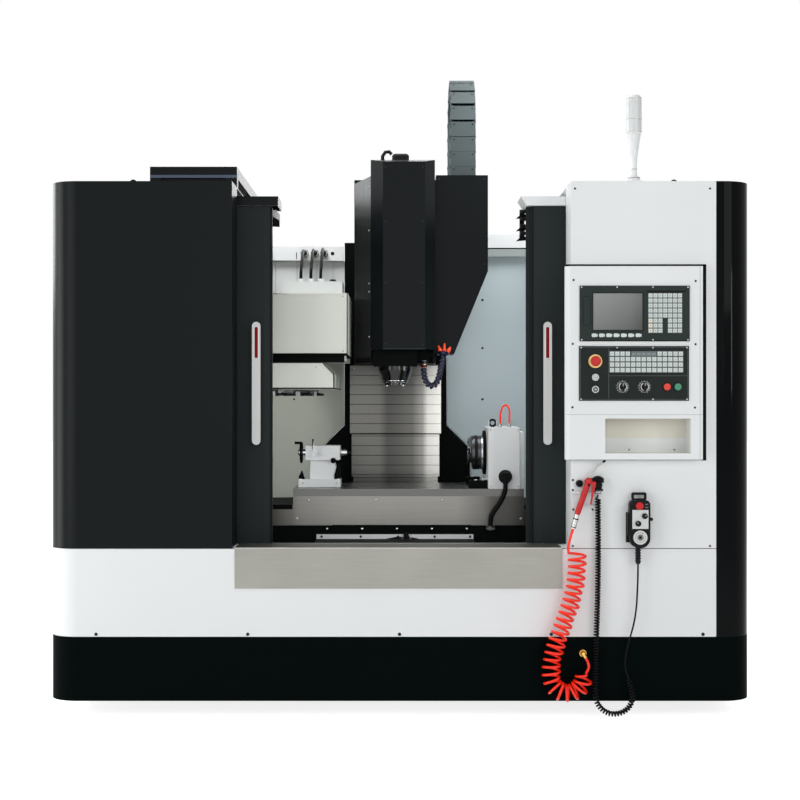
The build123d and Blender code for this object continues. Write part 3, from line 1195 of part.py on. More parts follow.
def make_cable_chain():
    t = CHAIN_THICKNESS
    y_front = CHAIN_FRONT_Y
    y_rear = CHAIN_FRONT_Y + 2 * CHAIN_BEND
    x0 = CHAIN_LEFT
    x1 = CHAIN_LEFT + CHAIN_WIDTH
    legs = slab(x0, x1, y_front, y_front + t, CHAIN_FRONT_END_Z, CHAIN_BEND_Z)
    legs += slab(x0, x1, y_rear, y_rear + t, CHAIN_REAR_END_Z, CHAIN_BEND_Z)
    centre_y = CHAIN_FRONT_Y + CHAIN_BEND + t / 2
    outer = rod_x(centre_y, CHAIN_BEND_Z, CHAIN_BEND + t / 2, x0, x1)
    outer -= rod_x(centre_y, CHAIN_BEND_Z, CHAIN_BEND - t / 2, x0 - 1, x1 + 1)
    outer &= slab(x0, x1, y_front - 1, y_rear + t + 1, CHAIN_BEND_Z, CHAIN_BEND_Z + CHAIN_BEND + t)
    body = legs + outer
    notch = CHAIN_NOTCH
    half_bar = CHAIN_BAR / 2
    for y_leg, end_z in ((y_front, CHAIN_FRONT_END_Z), (y_rear, CHAIN_REAR_END_Z)):
        count = int((CHAIN_BEND_Z - end_z) // CHAIN_PITCH)
        for i in range(count):
            z = CHAIN_BEND_Z - i * CHAIN_PITCH
            for y in (y_leg, y_leg + t):
                body -= slab(x0 - 1, x1 + 1, y - notch, y + notch, z - half_bar, z + half_bar)
    links = int(math.pi * CHAIN_BEND // CHAIN_PITCH)
    for i in range(1, links):
        turn = 180 * i / links
        for radius in (CHAIN_BEND - t / 2, CHAIN_BEND + t / 2):
            cut = slab(x0 - 1, x1 + 1, radius - notch, radius + notch, -half_bar, half_bar)
            body -= Pos(0, centre_y, CHAIN_BEND_Z) * Rot(turn, 0, 0) * cut
    return body


# Tool magazine

def make_carousel():
    plate = rod_z(MAGAZINE_X, SPINDLE_Y, CAROUSEL_RADIUS, CAROUSEL_Z, CAROUSEL_Z + CAROUSEL_PLATE)
    for i in range(POCKET_COUNT):
        turn = 360 * i / POCKET_COUNT
        radius = POCKET_CIRCLE
        pocket = rod_z(radius, 0, POCKET_RADIUS, CAROUSEL_Z - 1, CAROUSEL_Z + CAROUSEL_PLATE + 1)
        pocket += slab(radius, radius + 60, -POCKET_RADIUS, POCKET_RADIUS, CAROUSEL_Z - 1, CAROUSEL_Z + CAROUSEL_PLATE + 1)
        plate -= Pos(MAGAZINE_X, SPINDLE_Y, 0) * Rot(0, 0, turn) * pocket
    for i in range(POCKET_COUNT):
        turn = 360 * (i + 0.5) / POCKET_COUNT
        root = CAROUSEL_RADIUS - 52
        clip = slab(root, CAROUSEL_RADIUS + 20, -CLIP_WIDTH / 2, CLIP_WIDTH / 2, CAROUSEL_Z - 6, CAROUSEL_Z + 1)
        plate += Pos(MAGAZINE_X, SPINDLE_Y, 0) * Rot(0, 0, turn) * clip
    hub = rod_z(MAGAZINE_X, SPINDLE_Y, HUB_RADIUS, CAROUSEL_Z + CAROUSEL_PLATE - 1, MAG_HOOD_TOP - COVER_SHEET - 30)
    shaft = rod_z(MAGAZINE_X, SPINDLE_Y, MAG_SHAFT_RADIUS, MAG_HOOD_TOP - COVER_SHEET - 31, MAG_HOOD_TOP - COVER_GAP)
    return plate + hub + shaft


def make_magazine_hood():
    x0 = MAG_HOOD_LEFT
    x1 = MAG_HOOD_RIGHT
    y0 = SPINDLE_Y - HOOD_HALF_DEPTH
    y1 = SPINDLE_Y + HOOD_HALF_DEPTH
    z0 = MAG_HOOD_BOTTOM
    z1 = MAG_HOOD_TOP
    c = MAG_HOOD_CHAMFER
    outline = [(x0, z0), (x1, z0), (x1, z1 - c), (x1 - c, z1), (x0, z1)]
    hood = prism_y(outline, y0, y1)
    t = COVER_SHEET
    inner = [(x0 + t, z0 - 1), (x1 - t, z0 - 1), (x1 - t, z1 - c), (x1 - c, z1 - t), (x0 + t, z1 - t)]
    hood -= prism_y(inner, y0 + t, y1 - t)
    hood -= slab(x1 - MAG_NOTCH_DEPTH, x1 + 1, SPINDLE_Y - MAG_NOTCH_HALF, SPINDLE_Y + MAG_NOTCH_HALF, z0 - 1, z1 + 1)
    bearing = rod_z(MAGAZINE_X, SPINDLE_Y, MAG_SHAFT_RADIUS + 25, z1 - t - 26, z1)
    bore = rod_z(MAGAZINE_X, SPINDLE_Y, MAG_SHAFT_RADIUS + RUNNING_GAP, z1 - t - 30, z1 + 1)
    hood = hood + bearing - bore
    rail_z = MAG_BOX_BOTTOM - MAG_RAIL_HEIGHT
    for side in (-1, 1):
        y = SPINDLE_Y + side * MAG_RAIL_SPREAD / 2
        block_left = x0 + 40
        block = slab(block_left, block_left + MAG_BLOCK_LENGTH, y - MAG_RAIL_WIDTH, y + MAG_RAIL_WIDTH, z1 - 1, MAG_BOX_BOTTOM - 3)
        groove_half = MAG_RAIL_WIDTH / 2 + SLIDE_GAP
        block -= slab(block_left - 1, block_left + MAG_BLOCK_LENGTH + 1, y - groove_half, y + groove_half, rail_z - SLIDE_GAP, MAG_BOX_BOTTOM)
        hood += block
    return hood


def make_magazine_box():
    x0 = MAG_BOX_LEFT
    x1 = MAG_BOX_RIGHT
    y0 = MAG_BOX_FRONT_Y
    y1 = MAG_BOX_FRONT_Y + MAG_BOX_DEPTH
    z0 = MAG_BOX_BOTTOM
    z1 = MAG_BOX_BOTTOM + MAG_BOX_HEIGHT
    t = COVER_SHEET
    box = slab(x0, x1, y0, y1, z0, z1) - slab(x0 + t, x1 - t, y0 + t, y1 - t, z0 + t, z1 - t)
    for side in (-1, 1):
        y = SPINDLE_Y + side * MAG_RAIL_SPREAD / 2
        box += slab(x0, x1 - 8, y - MAG_RAIL_WIDTH / 2, y + MAG_RAIL_WIDTH / 2, z0 - MAG_RAIL_HEIGHT, z0)
    arm_right = CENTRE_X - COLUMN_HALF_WIDTH + 16
    arm_rear = COLUMN_FRONT_Y
    arm_top = MAG_BOX_BOTTOM + MAG_ARM_HEIGHT
    arm = slab(MAG_ARM_LEFT, arm_right, y1 - 1, arm_rear, z0 + 30, arm_top)
    arm -= slab(MAG_ARM_LEFT + 12, arm_right - 12, y1 - 2, arm_rear - 12, z0 + 42, arm_top + 1)
    gear = slab(GEARBOX_LEFT, GEARBOX_LEFT + GEARBOX_LENGTH, GEARBOX_FRONT_Y, GEARBOX_FRONT_Y + GEARBOX_DEPTH, z1 - 1, z1 + GEARBOX_HEIGHT)
    for i in range(3):
        x = MAG_CABLE_XS[i]
        gear += rod_z(x, MAG_CABLE_END_Y, 14, z1 + GEARBOX_HEIGHT - 1, MAG_CABLE_END_Z)
    return box + arm + gear


def make_magazine_cables():
    cables = []
    for i in range(3):
        gland_x = GLAND_XS[i]
        end_x = MAG_CABLE_XS[i]
        y_gland = SPLASH_BACK_Y - SHEET - REAR_BEAM_DEPTH - GLAND_REACH
        drift = (end_x - gland_x) / 4
        sag = 14.0 - 7.0 * i
        points = [
            (gland_x, y_gland, GLAND_Z),
            (gland_x, y_gland - 60, GLAND_Z),
            (gland_x + drift, y_gland - 140, GLAND_Z + 6 - sag / 2),
            (gland_x + 2 * drift, y_gland - 235, GLAND_Z - 4 - sag),
            (gland_x + 3 * drift, y_gland - 330, GLAND_Z - 26 - sag),
            (end_x, y_gland - 410, GLAND_Z - 58 - sag),
            (end_x + 1, MAG_CABLE_END_Y + 30, MAG_CABLE_END_Z + 62),
            (end_x, MAG_CABLE_END_Y, MAG_CABLE_END_Z + 28),
            (end_x, MAG_CABLE_END_Y, MAG_CABLE_END_Z),
        ]
        cables.append(cord_tube(points, MAGAZINE_CABLE_DIAMETER, "magazine cable"))
    return Compound(cables)


# Doors and their guides

def make_door(edge_x, side):
    """A door leaf with a window and a hollow back; side is -1 for the left one."""
    x0 = edge_x - DOOR_WIDTH if side < 0 else edge_x
    x1 = x0 + DOOR_WIDTH
    y0 = RETURN_DEPTH + 7
    y1 = y0 + DOOR_THICKNESS
    z0 = BAND_TOP + SLIDE_GAP
    leaf = slab(x0, x1, y0, y1, z0, DOOR_TOP)
    wx0 = edge_x - WINDOW_EDGE - WINDOW_WIDTH if side < 0 else edge_x + WINDOW_EDGE
    wx1 = wx0 + WINDOW_WIDTH
    wz0 = WINDOW_BOTTOM
    wz1 = WINDOW_BOTTOM + WINDOW_HEIGHT
    r = WINDOW_REBATE
    leaf -= slab(wx0, wx1, y0 - 1, y1 + 1, wz0, wz1)
    leaf -= slab(wx0 - r, wx1 + r, y0 + SHEET * 2, y1 + 1, wz0 - r, wz1 + r)
    rim = DOOR_RIM
    leaf -= slab(x0 + rim, x1 - rim, y0 + SHEET, y1 + 1, z0 + rim, wz0 - r - rim)
    leaf -= slab(x0 + rim, x1 - rim, y0 + SHEET, y1 + 1, wz1 + r + rim, DOOR_TOP - rim)
    if side > 0:
        lip_y = y1 + SLIDE_GAP
        leaf += slab(x0 - DOOR_LIP, x0 + DOOR_LIP, lip_y, lip_y + SHEET, z0, DOOR_TOP)
        leaf += slab(x0, x0 + DOOR_LIP, y1 - 1, lip_y + SHEET, z0, DOOR_TOP)
    return leaf


def make_window(edge_x, side):
    wx0 = edge_x - WINDOW_EDGE - WINDOW_WIDTH if side < 0 else edge_x + WINDOW_EDGE
    r = WINDOW_REBATE
    y0 = RETURN_DEPTH + 7 + 2 * SHEET
    return slab(wx0 - r, wx0 + WINDOW_WIDTH + r, y0, y0 + GLASS, WINDOW_BOTTOM - r, WINDOW_BOTTOM + WINDOW_HEIGHT + r)


def make_handle(edge_x, side):
    """A flat bar handle on two posts, with a sunk panel near its top."""
    x0 = edge_x - HANDLE_INSET - HANDLE_WIDTH if side < 0 else edge_x + HANDLE_INSET
    middle = x0 + HANDLE_WIDTH / 2
    face_y = RETURN_DEPTH + 7
    bar_y = face_y - HANDLE_REACH
    plane = Plane(origin=(middle, bar_y, HANDLE_BOTTOM + HANDLE_HEIGHT / 2), x_dir=(0, 0, 1), z_dir=(0, 1, 0))
    bar = extrude(plane * SlotOverall(HANDLE_HEIGHT, HANDLE_WIDTH), amount=HANDLE_BAR)
    top = HANDLE_BOTTOM + HANDLE_HEIGHT
    bar -= slab(middle - 8, middle + 8, bar_y - 1, bar_y + 3, top - 150, top - 20)
    for z in (HANDLE_BOTTOM + 30, top - 30 - HANDLE_POST_HEIGHT):
        bar += slab(middle - 9, middle + 9, bar_y + HANDLE_BAR - 1, face_y, z, z + HANDLE_POST_HEIGHT)
    for i in range(7):
        z = HANDLE_BOTTOM + 18 + i * 14
        bar -= slab(x0 - 1, x0 + HANDLE_WIDTH + 1, bar_y - 1, bar_y + 1.5, z, z + 5)
    return bar


def make_top_rails():
    z0 = DOOR_TOP + CAP_GAP
    z1 = z0 + CAP_HEIGHT
    y0 = CAP_FRONT_Y
    y1 = CAP_FRONT_Y + CAP_DEPTH
    left = slab(OPENING_LEFT - SHEET - 40, OPENING_LEFT + CAP_OVERHANG_LEFT, y0, y1, z0, z1)
    left -= slab(OPENING_LEFT - SHEET - 41, OPENING_LEFT + CAP_OVERHANG_LEFT - SHEET, y0 + SHEET, y1 - SHEET, z0 - 1, z1 - SHEET)
    right_x = OPENING_RIGHT - CAP_OVERHANG_RIGHT
    right = prism_y([
        (right_x, z0),
        (OPENING_RIGHT + SHEET + 40, z0),
        (OPENING_RIGHT + SHEET + 40, z1),
        (right_x - 24, z1),
    ], y0, y1)
    right -= slab(right_x + 6, OPENING_RIGHT + SHEET + 41, y0 + SHEET, y1 - SHEET, z0 - 1, z1 - SHEET)
    hanger_top = CABINET_TOP - SHEET
    left += slab(OPENING_LEFT - SHEET - 40, OPENING_LEFT - SHEET, y0, y0 + SHEET, z1 - 1, hanger_top)
    right += slab(OPENING_RIGHT + SHEET, OPENING_RIGHT + SHEET + 40, y0, y0 + SHEET, z1 - 1, hanger_top)
    edge = right_x - 18
    stack = slab(edge, edge + 20, y0 + 148, y0 + 156, z0 - 128, z0 + 1)
    for i in range(4):
        z = z0 - 14 - 30 * i
        stack += prism_x([(y0 + 60, z - 12), (y0 + 120, z), (y0 + 149, z - 10), (y0 + 149, z + 4), (y0 + 120, z + 12), (y0 + 60, z)], edge, edge + 20)
    return Compound([left, right + stack])


def make_roof_frame():
    t = ROOF_FRAME_TUBE
    z0 = CABINET_TOP + ROOF_FRAME_POST
    x0 = ROOF_FRAME_LEFT
    x1 = ROOF_FRAME_RIGHT
    y0 = ROOF_FRAME_FRONT_Y
    y1 = ROOF_FRAME_FRONT_Y + ROOF_FRAME_LENGTH
    frame = slab(x0, x1, y0, y1, z0, z0 + t) - slab(x0 + t, x1 - t, y0 + t, y1 - t, z0 - 1, z0 + t + 1)
    for x in (x0, x1 - t):
        for y in (y0, y1 - t):
            frame += slab(x, x + t, y, y + t, CABINET_TOP, z0 + 1)
    return frame


# Electrical cabinet

def make_electrical_cabinet():
    x0 = CENTRE_X - ELECTRIC_HALF_WIDTH
    x1 = CENTRE_X + ELECTRIC_HALF_WIDTH
    y0 = COLUMN_FRONT_Y + COLUMN_DEPTH + ELECTRIC_GAP
    y1 = y0 + ELECTRIC_DEPTH
    z0 = ELECTRIC_BOTTOM
    z1 = ELECTRIC_BOTTOM + ELECTRIC_HEIGHT
    box = slab(x0, x1, y0, y1 - ELECTRIC_DOOR, z0, z1)
    box -= slab(x0 + SHEET, x1 - SHEET, y0 + SHEET, y1 - ELECTRIC_DOOR - SHEET, z0 + SHEET, z1 - SHEET)
    seam = ELECTRIC_SEAM / 2
    for side in (-1, 1):
        a = CENTRE_X + side * seam
        b = CENTRE_X + side * (ELECTRIC_HALF_WIDTH - 12)
        door = slab(min(a, b), max(a, b), y1 - ELECTRIC_DOOR - 1, y1, z0 + 12, z1 - 12)
        middle = (a + b) / 2
        for i in range(LOUVRE_COUNT):
            z = z0 + 120 + i * 26
            door -= slab(middle - 90, middle + 90, y1 - 4, y1 + 1, z, z + 9)
        box += door
    column_rear = COLUMN_FRONT_Y + COLUMN_DEPTH
    for x in (CENTRE_X - COLUMN_HALF_WIDTH + 5, CENTRE_X + COLUMN_HALF_WIDTH - 35):
        for share in ELECTRIC_BRACKETS:
            z = z0 + share * ELECTRIC_HEIGHT
            box += slab(x, x + 28, column_rear, y0 + 1, z, z + 60)
    return box


# Console and its controls

def make_console_box():
    x0 = CONSOLE_LEFT
    x1 = CONSOLE_LEFT + CONSOLE_WIDTH
    z0 = CONSOLE_BOTTOM
    z1 = CONSOLE_BOTTOM + CONSOLE_HEIGHT
    c = CONSOLE_CHAMFER
    p = CONSOLE_PROUD
    body = prism_z([(x0, 0), (x0, -p + c), (x0 + c, -p), (x1, -p), (x1, 0)], z0, z1)
    t = COVER_SHEET
    body -= prism_z([(x0 + t, -t), (x0 + t, -p + c + t / 2), (x0 + c + t / 2, -p + t), (x1 - t, -p + t), (x1 - t, -t)], z0 + t, z1 - t)
    px0 = POCKET_LEFT
    px1 = POCKET_LEFT + POCKET_WIDTH
    pz0 = POCKET_BOTTOM
    pz1 = POCKET_BOTTOM + POCKET_HEIGHT
    body += slab(px0 - t, px1 + t, -p, POCKET_DEPTH - p, pz0 - t, pz1 + t)
    body -= slab(px0, px1, -p - 1, POCKET_DEPTH - p - t, pz0, pz1)
    for x in (px0 + 92, px1 - 55):
        body += rod_y(x, pz0 + 12, 4, POCKET_DEPTH - p - t - 2, POCKET_DEPTH - p - t + 1)
    return body


def key_grid(left, top, columns, rows, pitch_x, pitch_z, front, skip):
    """Small square keys in rows, standing proud of a panel."""
    keys = []
    for row in range(rows):
        for column in range(columns):
            if skip(row, column):
                continue
            x = left + column * pitch_x
            z = top - row * pitch_z - KEY_SIZE
            keys.append(slab(x, x + KEY_SIZE, front - KEY_PROUD_PANEL, front + 0.5, z, z + KEY_SIZE))
    return keys


def make_control_panels():
    front = -CONSOLE_PROUD - PANEL_THICKNESS
    display = slab(DISPLAY_LEFT, DISPLAY_LEFT + DISPLAY_WIDTH, front, -CONSOLE_PROUD, DISPLAY_BOTTOM, DISPLAY_BOTTOM + DISPLAY_HEIGHT)
    display -= slab(SCREEN_LEFT, SCREEN_LEFT + SCREEN_WIDTH, front - 1, front + SCREEN_DEPTH, SCREEN_BOTTOM, SCREEN_BOTTOM + SCREEN_HEIGHT)
    soft = key_grid(SCREEN_LEFT - 4, SCREEN_BOTTOM - 14, 7, 1, 29.0, 20, front, lambda row, column: False)
    pad = key_grid(
        KEYPAD_LEFT, KEYPAD_TOP, KEYPAD_COLUMNS, KEYPAD_ROWS, KEYPAD_PITCH_X, KEYPAD_PITCH_Z, front,
        lambda row, column: row > 4 and column == 3,
    )
    display = display.fuse(*soft, *pad)
    operator = slab(OPERATOR_LEFT, OPERATOR_LEFT + OPERATOR_WIDTH, front, -CONSOLE_PROUD, OPERATOR_BOTTOM, OPERATOR_BOTTOM + OPERATOR_HEIGHT)
    keys = key_grid(
        OPERATOR_KEYS_LEFT, OPERATOR_KEYS_TOP, OPERATOR_COLUMNS, OPERATOR_ROWS, OPERATOR_PITCH_X, OPERATOR_PITCH_Z, front,
        lambda row, column: row == 0 and 4 <= column <= 8,
    )
    operator = operator.fuse(*keys)
    collar = rod_y(ESTOP_X, ESTOP_Z, ESTOP_COLLAR, front - ESTOP_COLLAR_HEIGHT, front + 0.5)
    operator += collar
    for x in (STOP_BUTTON_X, START_BUTTON_X):
        operator += rod_y(x, KNOB_Z, BUTTON_BEZEL, front - 3, front + 0.5)
    for z in PILOT_Z:
        operator += rod_y(ESTOP_X, z, PILOT_RADIUS, front - 5, front + 0.5)
    back = -CONSOLE_PROUD
    operator -= rod_y(ESTOP_X, ESTOP_Z, ESTOP_STEM + RUNNING_GAP, front - 10, back + 1)
    for x in (FEED_KNOB_X, SPINDLE_KNOB_X):
        operator -= rod_y(x, KNOB_Z, 4 + RUNNING_GAP, front - 10, back + 1)
    for x in (STOP_BUTTON_X, START_BUTTON_X):
        operator -= rod_y(x, KNOB_Z, BUTTON_RADIUS + RUNNING_GAP, front - 10, back + 1)
    return Compound([display, operator])


def make_console_estop():
    front = -CONSOLE_PROUD - PANEL_THICKNESS
    face = front - ESTOP_HEIGHT
    cap_rear = front - ESTOP_COLLAR_HEIGHT - ESTOP_TRAVEL - 1
    head = rod_y(ESTOP_X, ESTOP_Z, ESTOP_RADIUS, face, cap_rear)
    head = fillet(head.faces().sort_by(Axis.Y)[0].edges(), 5)
    stem = rod_y(ESTOP_X, ESTOP_Z, ESTOP_STEM, cap_rear - 1, -CONSOLE_PROUD - ESTOP_TRAVEL - 0.2)
    return head + stem


def make_knob(x):
    front = -CONSOLE_PROUD - PANEL_THICKNESS
    y1 = front - SLIDE_GAP
    y0 = y1 - KNOB_HEIGHT
    knob = rod_y(x, KNOB_Z, KNOB_RADIUS, y0 + 8, y1)
    grip = slab(x - 5, x + 5, y0, y0 + 9, KNOB_Z - KNOB_RADIUS + 1, KNOB_Z + KNOB_RADIUS - 1)
    stem = rod_y(x, KNOB_Z, 4, y1 - 1, -CONSOLE_PROUD - 0.2)
    return knob + grip + stem


def make_button(x):
    front = -CONSOLE_PROUD - PANEL_THICKNESS
    button = rod_y(x, KNOB_Z, BUTTON_RADIUS, front - BUTTON_PROUD, -CONSOLE_PROUD - BUTTON_TRAVEL - 0.2)
    return fillet(button.faces().sort_by(Axis.Y)[0].edges(), 2)


def make_signal_lamp():
    z = CABINET_TOP
    lens = LAMP_LENS_RADIUS
    profile = [
        (0, z),
        (LAMP_FLANGE_RADIUS, z),
        (LAMP_FLANGE_RADIUS, z + 8),
        (24, z + 10),
        (24, z + 20),
        (LAMP_STEM_RADIUS + 3, z + 24),
        (LAMP_STEM_RADIUS, z + 56),
        (LAMP_STEM_RADIUS + 2, z + 104),
        (lens - 4, z + LAMP_LENS_BOTTOM - 10),
        (lens, z + LAMP_LENS_BOTTOM),
        (lens, z + LAMP_TOP - 14),
        (lens - 6, z + LAMP_TOP - 2),
        (lens - 14, z + LAMP_TOP),
        (0, z + LAMP_TOP),
    ]
    return turned_z(LAMP_X, LAMP_Y, profile)


# Bracket, air gun and pendant

def make_accessory_bracket():
    x0 = BRACKET_LEFT
    x1 = BRACKET_LEFT + BRACKET_WIDTH
    z0 = BRACKET_BOTTOM
    z1 = BRACKET_BOTTOM + BRACKET_HEIGHT
    plate = slab(x0, x1, -3, 0, z0, z1)
    plate -= rod_y(x0 + 42, z0 + 32, 11, -4, 1)
    ledge = slab(x0 + 8, x1 - 20, -46, -2, z0, z0 + 3)
    ledge -= slab(GUN_HEAD_X - 34, GUN_HEAD_X + 28, -47, -14, z0 - 1, z0 + 4)
    socket = slab(CURL_X - 10, CURL_X + 13, -38, -2, z0 + 12, z0 + 40)
    cap = slab(CURL_X - 24, CURL_X + 24, -22, -2, z0 + 40, z0 + 58)
    connector = rod_z(CURL_X, CURL_Y, 11, CURL_TOP_Z, z0 + 13)
    hook = slab(x0 + 4, x1 - 30, -3, 0, HOOK_Z - 24, HOOK_Z + 14)
    shelf = slab(x0 + 10, x1 - 40, -21, -2, HOOK_Z, HOOK_Z + 3)
    hook = hook + shelf
    return Compound([plate + ledge + socket + cap + connector, hook])


def make_air_gun():
    y = GUN_Y
    handle_axis = [(GUN_HEAD_X, y, GUN_HEAD_Z), (GUN_FOOT_X, y, GUN_FOOT_Z)]
    handle = sweep(Plane(origin=handle_axis[0], z_dir=(GUN_FOOT_X - GUN_HEAD_X, 0, GUN_FOOT_Z - GUN_HEAD_Z)) * Circle(12), path=Line(*handle_axis))
    head = Pos(GUN_HEAD_X, y, GUN_HEAD_Z) * Sphere(16)
    tip_path = FilletPolyline(
        [
            (GUN_HEAD_X + 2, y, GUN_HEAD_Z + 8),
            (GUN_HEAD_X + 16, y, GUN_HEAD_Z + 36),
            (GUN_HEAD_X + 36, y, GUN_HEAD_Z + 62),
            (GUN_HEAD_X + 62, y, GUN_HEAD_Z + 80),
        ],
        radius=30,
    )
    tip = sweep(Plane(tip_path @ 0, z_dir=tip_path % 0) * Circle(3.5), path=tip_path)
    direction = Vector(GUN_FOOT_X - GUN_HEAD_X, 0, GUN_FOOT_Z - GUN_HEAD_Z).normalized()
    foot = Vector(GUN_FOOT_X, y, GUN_FOOT_Z)
    end = Vector(HOSE_START_X, y, HOSE_START_Z)
    barrel = (end - foot).normalized()
    connector = sweep(Plane(origin=foot, z_dir=barrel) * Circle(9), path=Line(foot, end)) + Pos(foot) * Sphere(11)
    px = GUN_HEAD_X + TRIGGER_X
    pz = GUN_HEAD_Z - TRIGGER_DROP
    inner = TRIGGER_HALF + SLIDE_GAP
    ears = rod_y(px, pz, TRIGGER_PIN, y - inner - 1, y + inner + 1)
    for side in (-1, 1):
        a = y + side * inner
        b = a + side * 3
        ears += slab(GUN_HEAD_X, px + 5, min(a, b), max(a, b), pz - 6, pz + 8)
    rest = slab(GUN_HEAD_X - 10, GUN_HEAD_X + 10, y + 10, 0 - 3, GUN_HEAD_Z - 8, GUN_HEAD_Z + 8)
    return handle + head + tip + connector + rest + ears


def make_gun_lever():
    y = GUN_Y
    px = GUN_HEAD_X + TRIGGER_X
    pz = GUN_HEAD_Z - TRIGGER_DROP
    lever = prism_y([
        (px - 10, pz - 15),
        (px - 5, pz + 6),
        (px + 4, pz + 6),
        (px + 5, pz - 5),
        (px - 6, pz - 53),
        (px - 12, pz - 83),
        (px - 18, pz - 83),
        (px - 12, pz - 53),
    ], y - TRIGGER_HALF, y + TRIGGER_HALF)
    return lever - rod_y(px, pz, TRIGGER_PIN + RUNNING_GAP, y - 20, y + 20)


def make_pendant_body():
    x0 = PENDANT_X - PENDANT_WIDTH / 2
    x1 = PENDANT_X + PENDANT_WIDTH / 2
    z1 = PENDANT_TOP
    z0 = PENDANT_TOP - PENDANT_HEIGHT
    y_back = -PENDANT_BACK
    y_front = y_back - PENDANT_DEPTH
    radius = 18
    low_radius = PENDANT_WIDTH / 2 - 2
    plane = Plane(origin=(PENDANT_X, y_back, (z0 + z1) / 2), x_dir=(1, 0, 0), z_dir=(0, -1, 0))
    outline = Rectangle(PENDANT_WIDTH, PENDANT_HEIGHT)
    low = outline.vertices().sort_by(Axis.Y)[:2]
    outline = fillet(low, low_radius)
    high = outline.vertices().sort_by(Axis.Y)[-2:]
    outline = fillet(high, radius)
    body = extrude(plane * outline, amount=PENDANT_DEPTH)
    holder = slab(x0 - 8, x1 + 4, y_back, 0, z0 + 20, z1 - 50)
    loop = slab(PENDANT_X - 30, PENDANT_X + 30, y_back - 14, y_back - 4, z1 - 2, z1 + 30)
    loop = fillet(loop.edges().filter_by(Axis.Y), 8)
    loop -= slab(PENDANT_X - 20, PENDANT_X + 20, y_back - 15, y_back - 3, z1 + 6, z1 + 20)
    plate = slab(PENDANT_X - 33, PENDANT_X + 33, y_front - 2, y_front + 1, z1 - 112, z1 - 38)
    body = body + holder + loop + plate
    for x, z in ((PENDANT_X + 18, z1 - 62), (PENDANT_X - 8, z1 - 92)):
        body += rod_y(x, z, 11, y_front - 14, y_front)
    body += rod_y(PENDANT_X - 3, z1 - 22, 15, y_front - 14, y_front + 1)
    body += rod_y(x1 + 6, z1 - 76, 7, y_back - 24, y_back - 8) + slab(x1 - 2, x1 + 6, y_back - 22, y_back - 10, z1 - 82, z1 - 70)
    bore = rod_y(PENDANT_X, DIAL_Z, 8 + RUNNING_GAP, y_front - 1, y_front + 20)
    relief_x = PENDANT_X - 5
    relief = rod_z(relief_x, y_back - PENDANT_DEPTH / 2, 9, PENDANT_RELIEF_Z, z0 + 2)
    for i in range(5):
        z = PENDANT_RELIEF_Z + 8 + 11 * i
        relief += rod_z(relief_x, y_back - PENDANT_DEPTH / 2, 12, z, z + 5)
    return body - bore + relief


def make_pendant_dial():
    y_front = -PENDANT_BACK - PENDANT_DEPTH
    y1 = y_front - SLIDE_GAP
    dial = rod_y(PENDANT_X, DIAL_Z, DIAL_RADIUS, y1 - DIAL_HEIGHT, y1)
    grip = rod_y(PENDANT_X + 14, DIAL_Z + 12, 5, y1 - DIAL_HEIGHT - 6, y1 - DIAL_HEIGHT + 1)
    stem = rod_y(PENDANT_X, DIAL_Z, 8, y1 - 1, y_front + 18)
    return dial + grip + stem


# Cords

def cord_radii(points):
    """A bend radius for each corner of a route, as large as its two runs allow."""
    radii = []
    for i in range(1, len(points) - 1):
        before = Vector(*points[i]) - Vector(*points[i - 1])
        after = Vector(*points[i + 1]) - Vector(*points[i])
        turn = math.radians(before.get_angle(after))
        run = min(before.length, after.length)
        radii.append(0.45 * run / math.tan(turn / 2))
    return radii


def cord_tube(points, diameter, name):
    """A round cord along straight runs joined by tangent arcs."""
    radii = cord_radii(points)
    path = FilletPolyline(points, radius=radii)
    tube = sweep(Plane(path @ 0, z_dir=path % 0) * Circle(diameter / 2), path=path)
    section = math.pi * diameter ** 2 / 4
    share = tube.volume / (section * path.length)
    smallest = min(radii) / diameter
    print(f"{name}: length {path.length:.0f} mm, smallest bend {smallest:.1f} diameters, volume share {share:.4f}")
    return tube


AIR_LEAD = [
    (HOSE_START_X, GUN_Y, HOSE_START_Z),
    (BRACKET_LEFT - 5, GUN_Y, 720.7),
    (BRACKET_LEFT - 13, -39.0, 692.0),
    (BRACKET_LEFT - 9, -45.0, 664.0),
]
AIR_COIL = [
    (BRACKET_LEFT + 21, -50.0, 668.0),
    (BRACKET_LEFT + 22.5, -50.0, 610.0),
    (BRACKET_LEFT + 15, -50.0, 545.0),
    (BRACKET_LEFT + 1, -50.0, 482.0),
    (BRACKET_LEFT - 22, -50.0, 415.0),
    (BRACKET_LEFT - 48, -50.0, 345.0),
    (BRACKET_LEFT - 72, -50.0, 272.0),
    (BRACKET_LEFT - 84, -50.0, 205.0),
    (BRACKET_LEFT - 78, -50.0, 145.4),
    (BRACKET_LEFT - 48.6, -50.0, 116.0),
    (BRACKET_LEFT - 7.5, -50.0, 109.5),
    (BRACKET_LEFT + 29.6, -50.0, 128.4),
    (BRACKET_LEFT + 46, -50.0, 160.6),
    (BRACKET_LEFT + 47.5, -50.0, 188.0),
]
AIR_TAIL = [
    (BRACKET_LEFT + 60, -49.0, 184.0),
    (BRACKET_LEFT + 68, -47.0, 207.0),
    (BRACKET_LEFT + 69, -41.2, 228.4),
    (BRACKET_LEFT + 59.5, -30.6, 245.2),
]
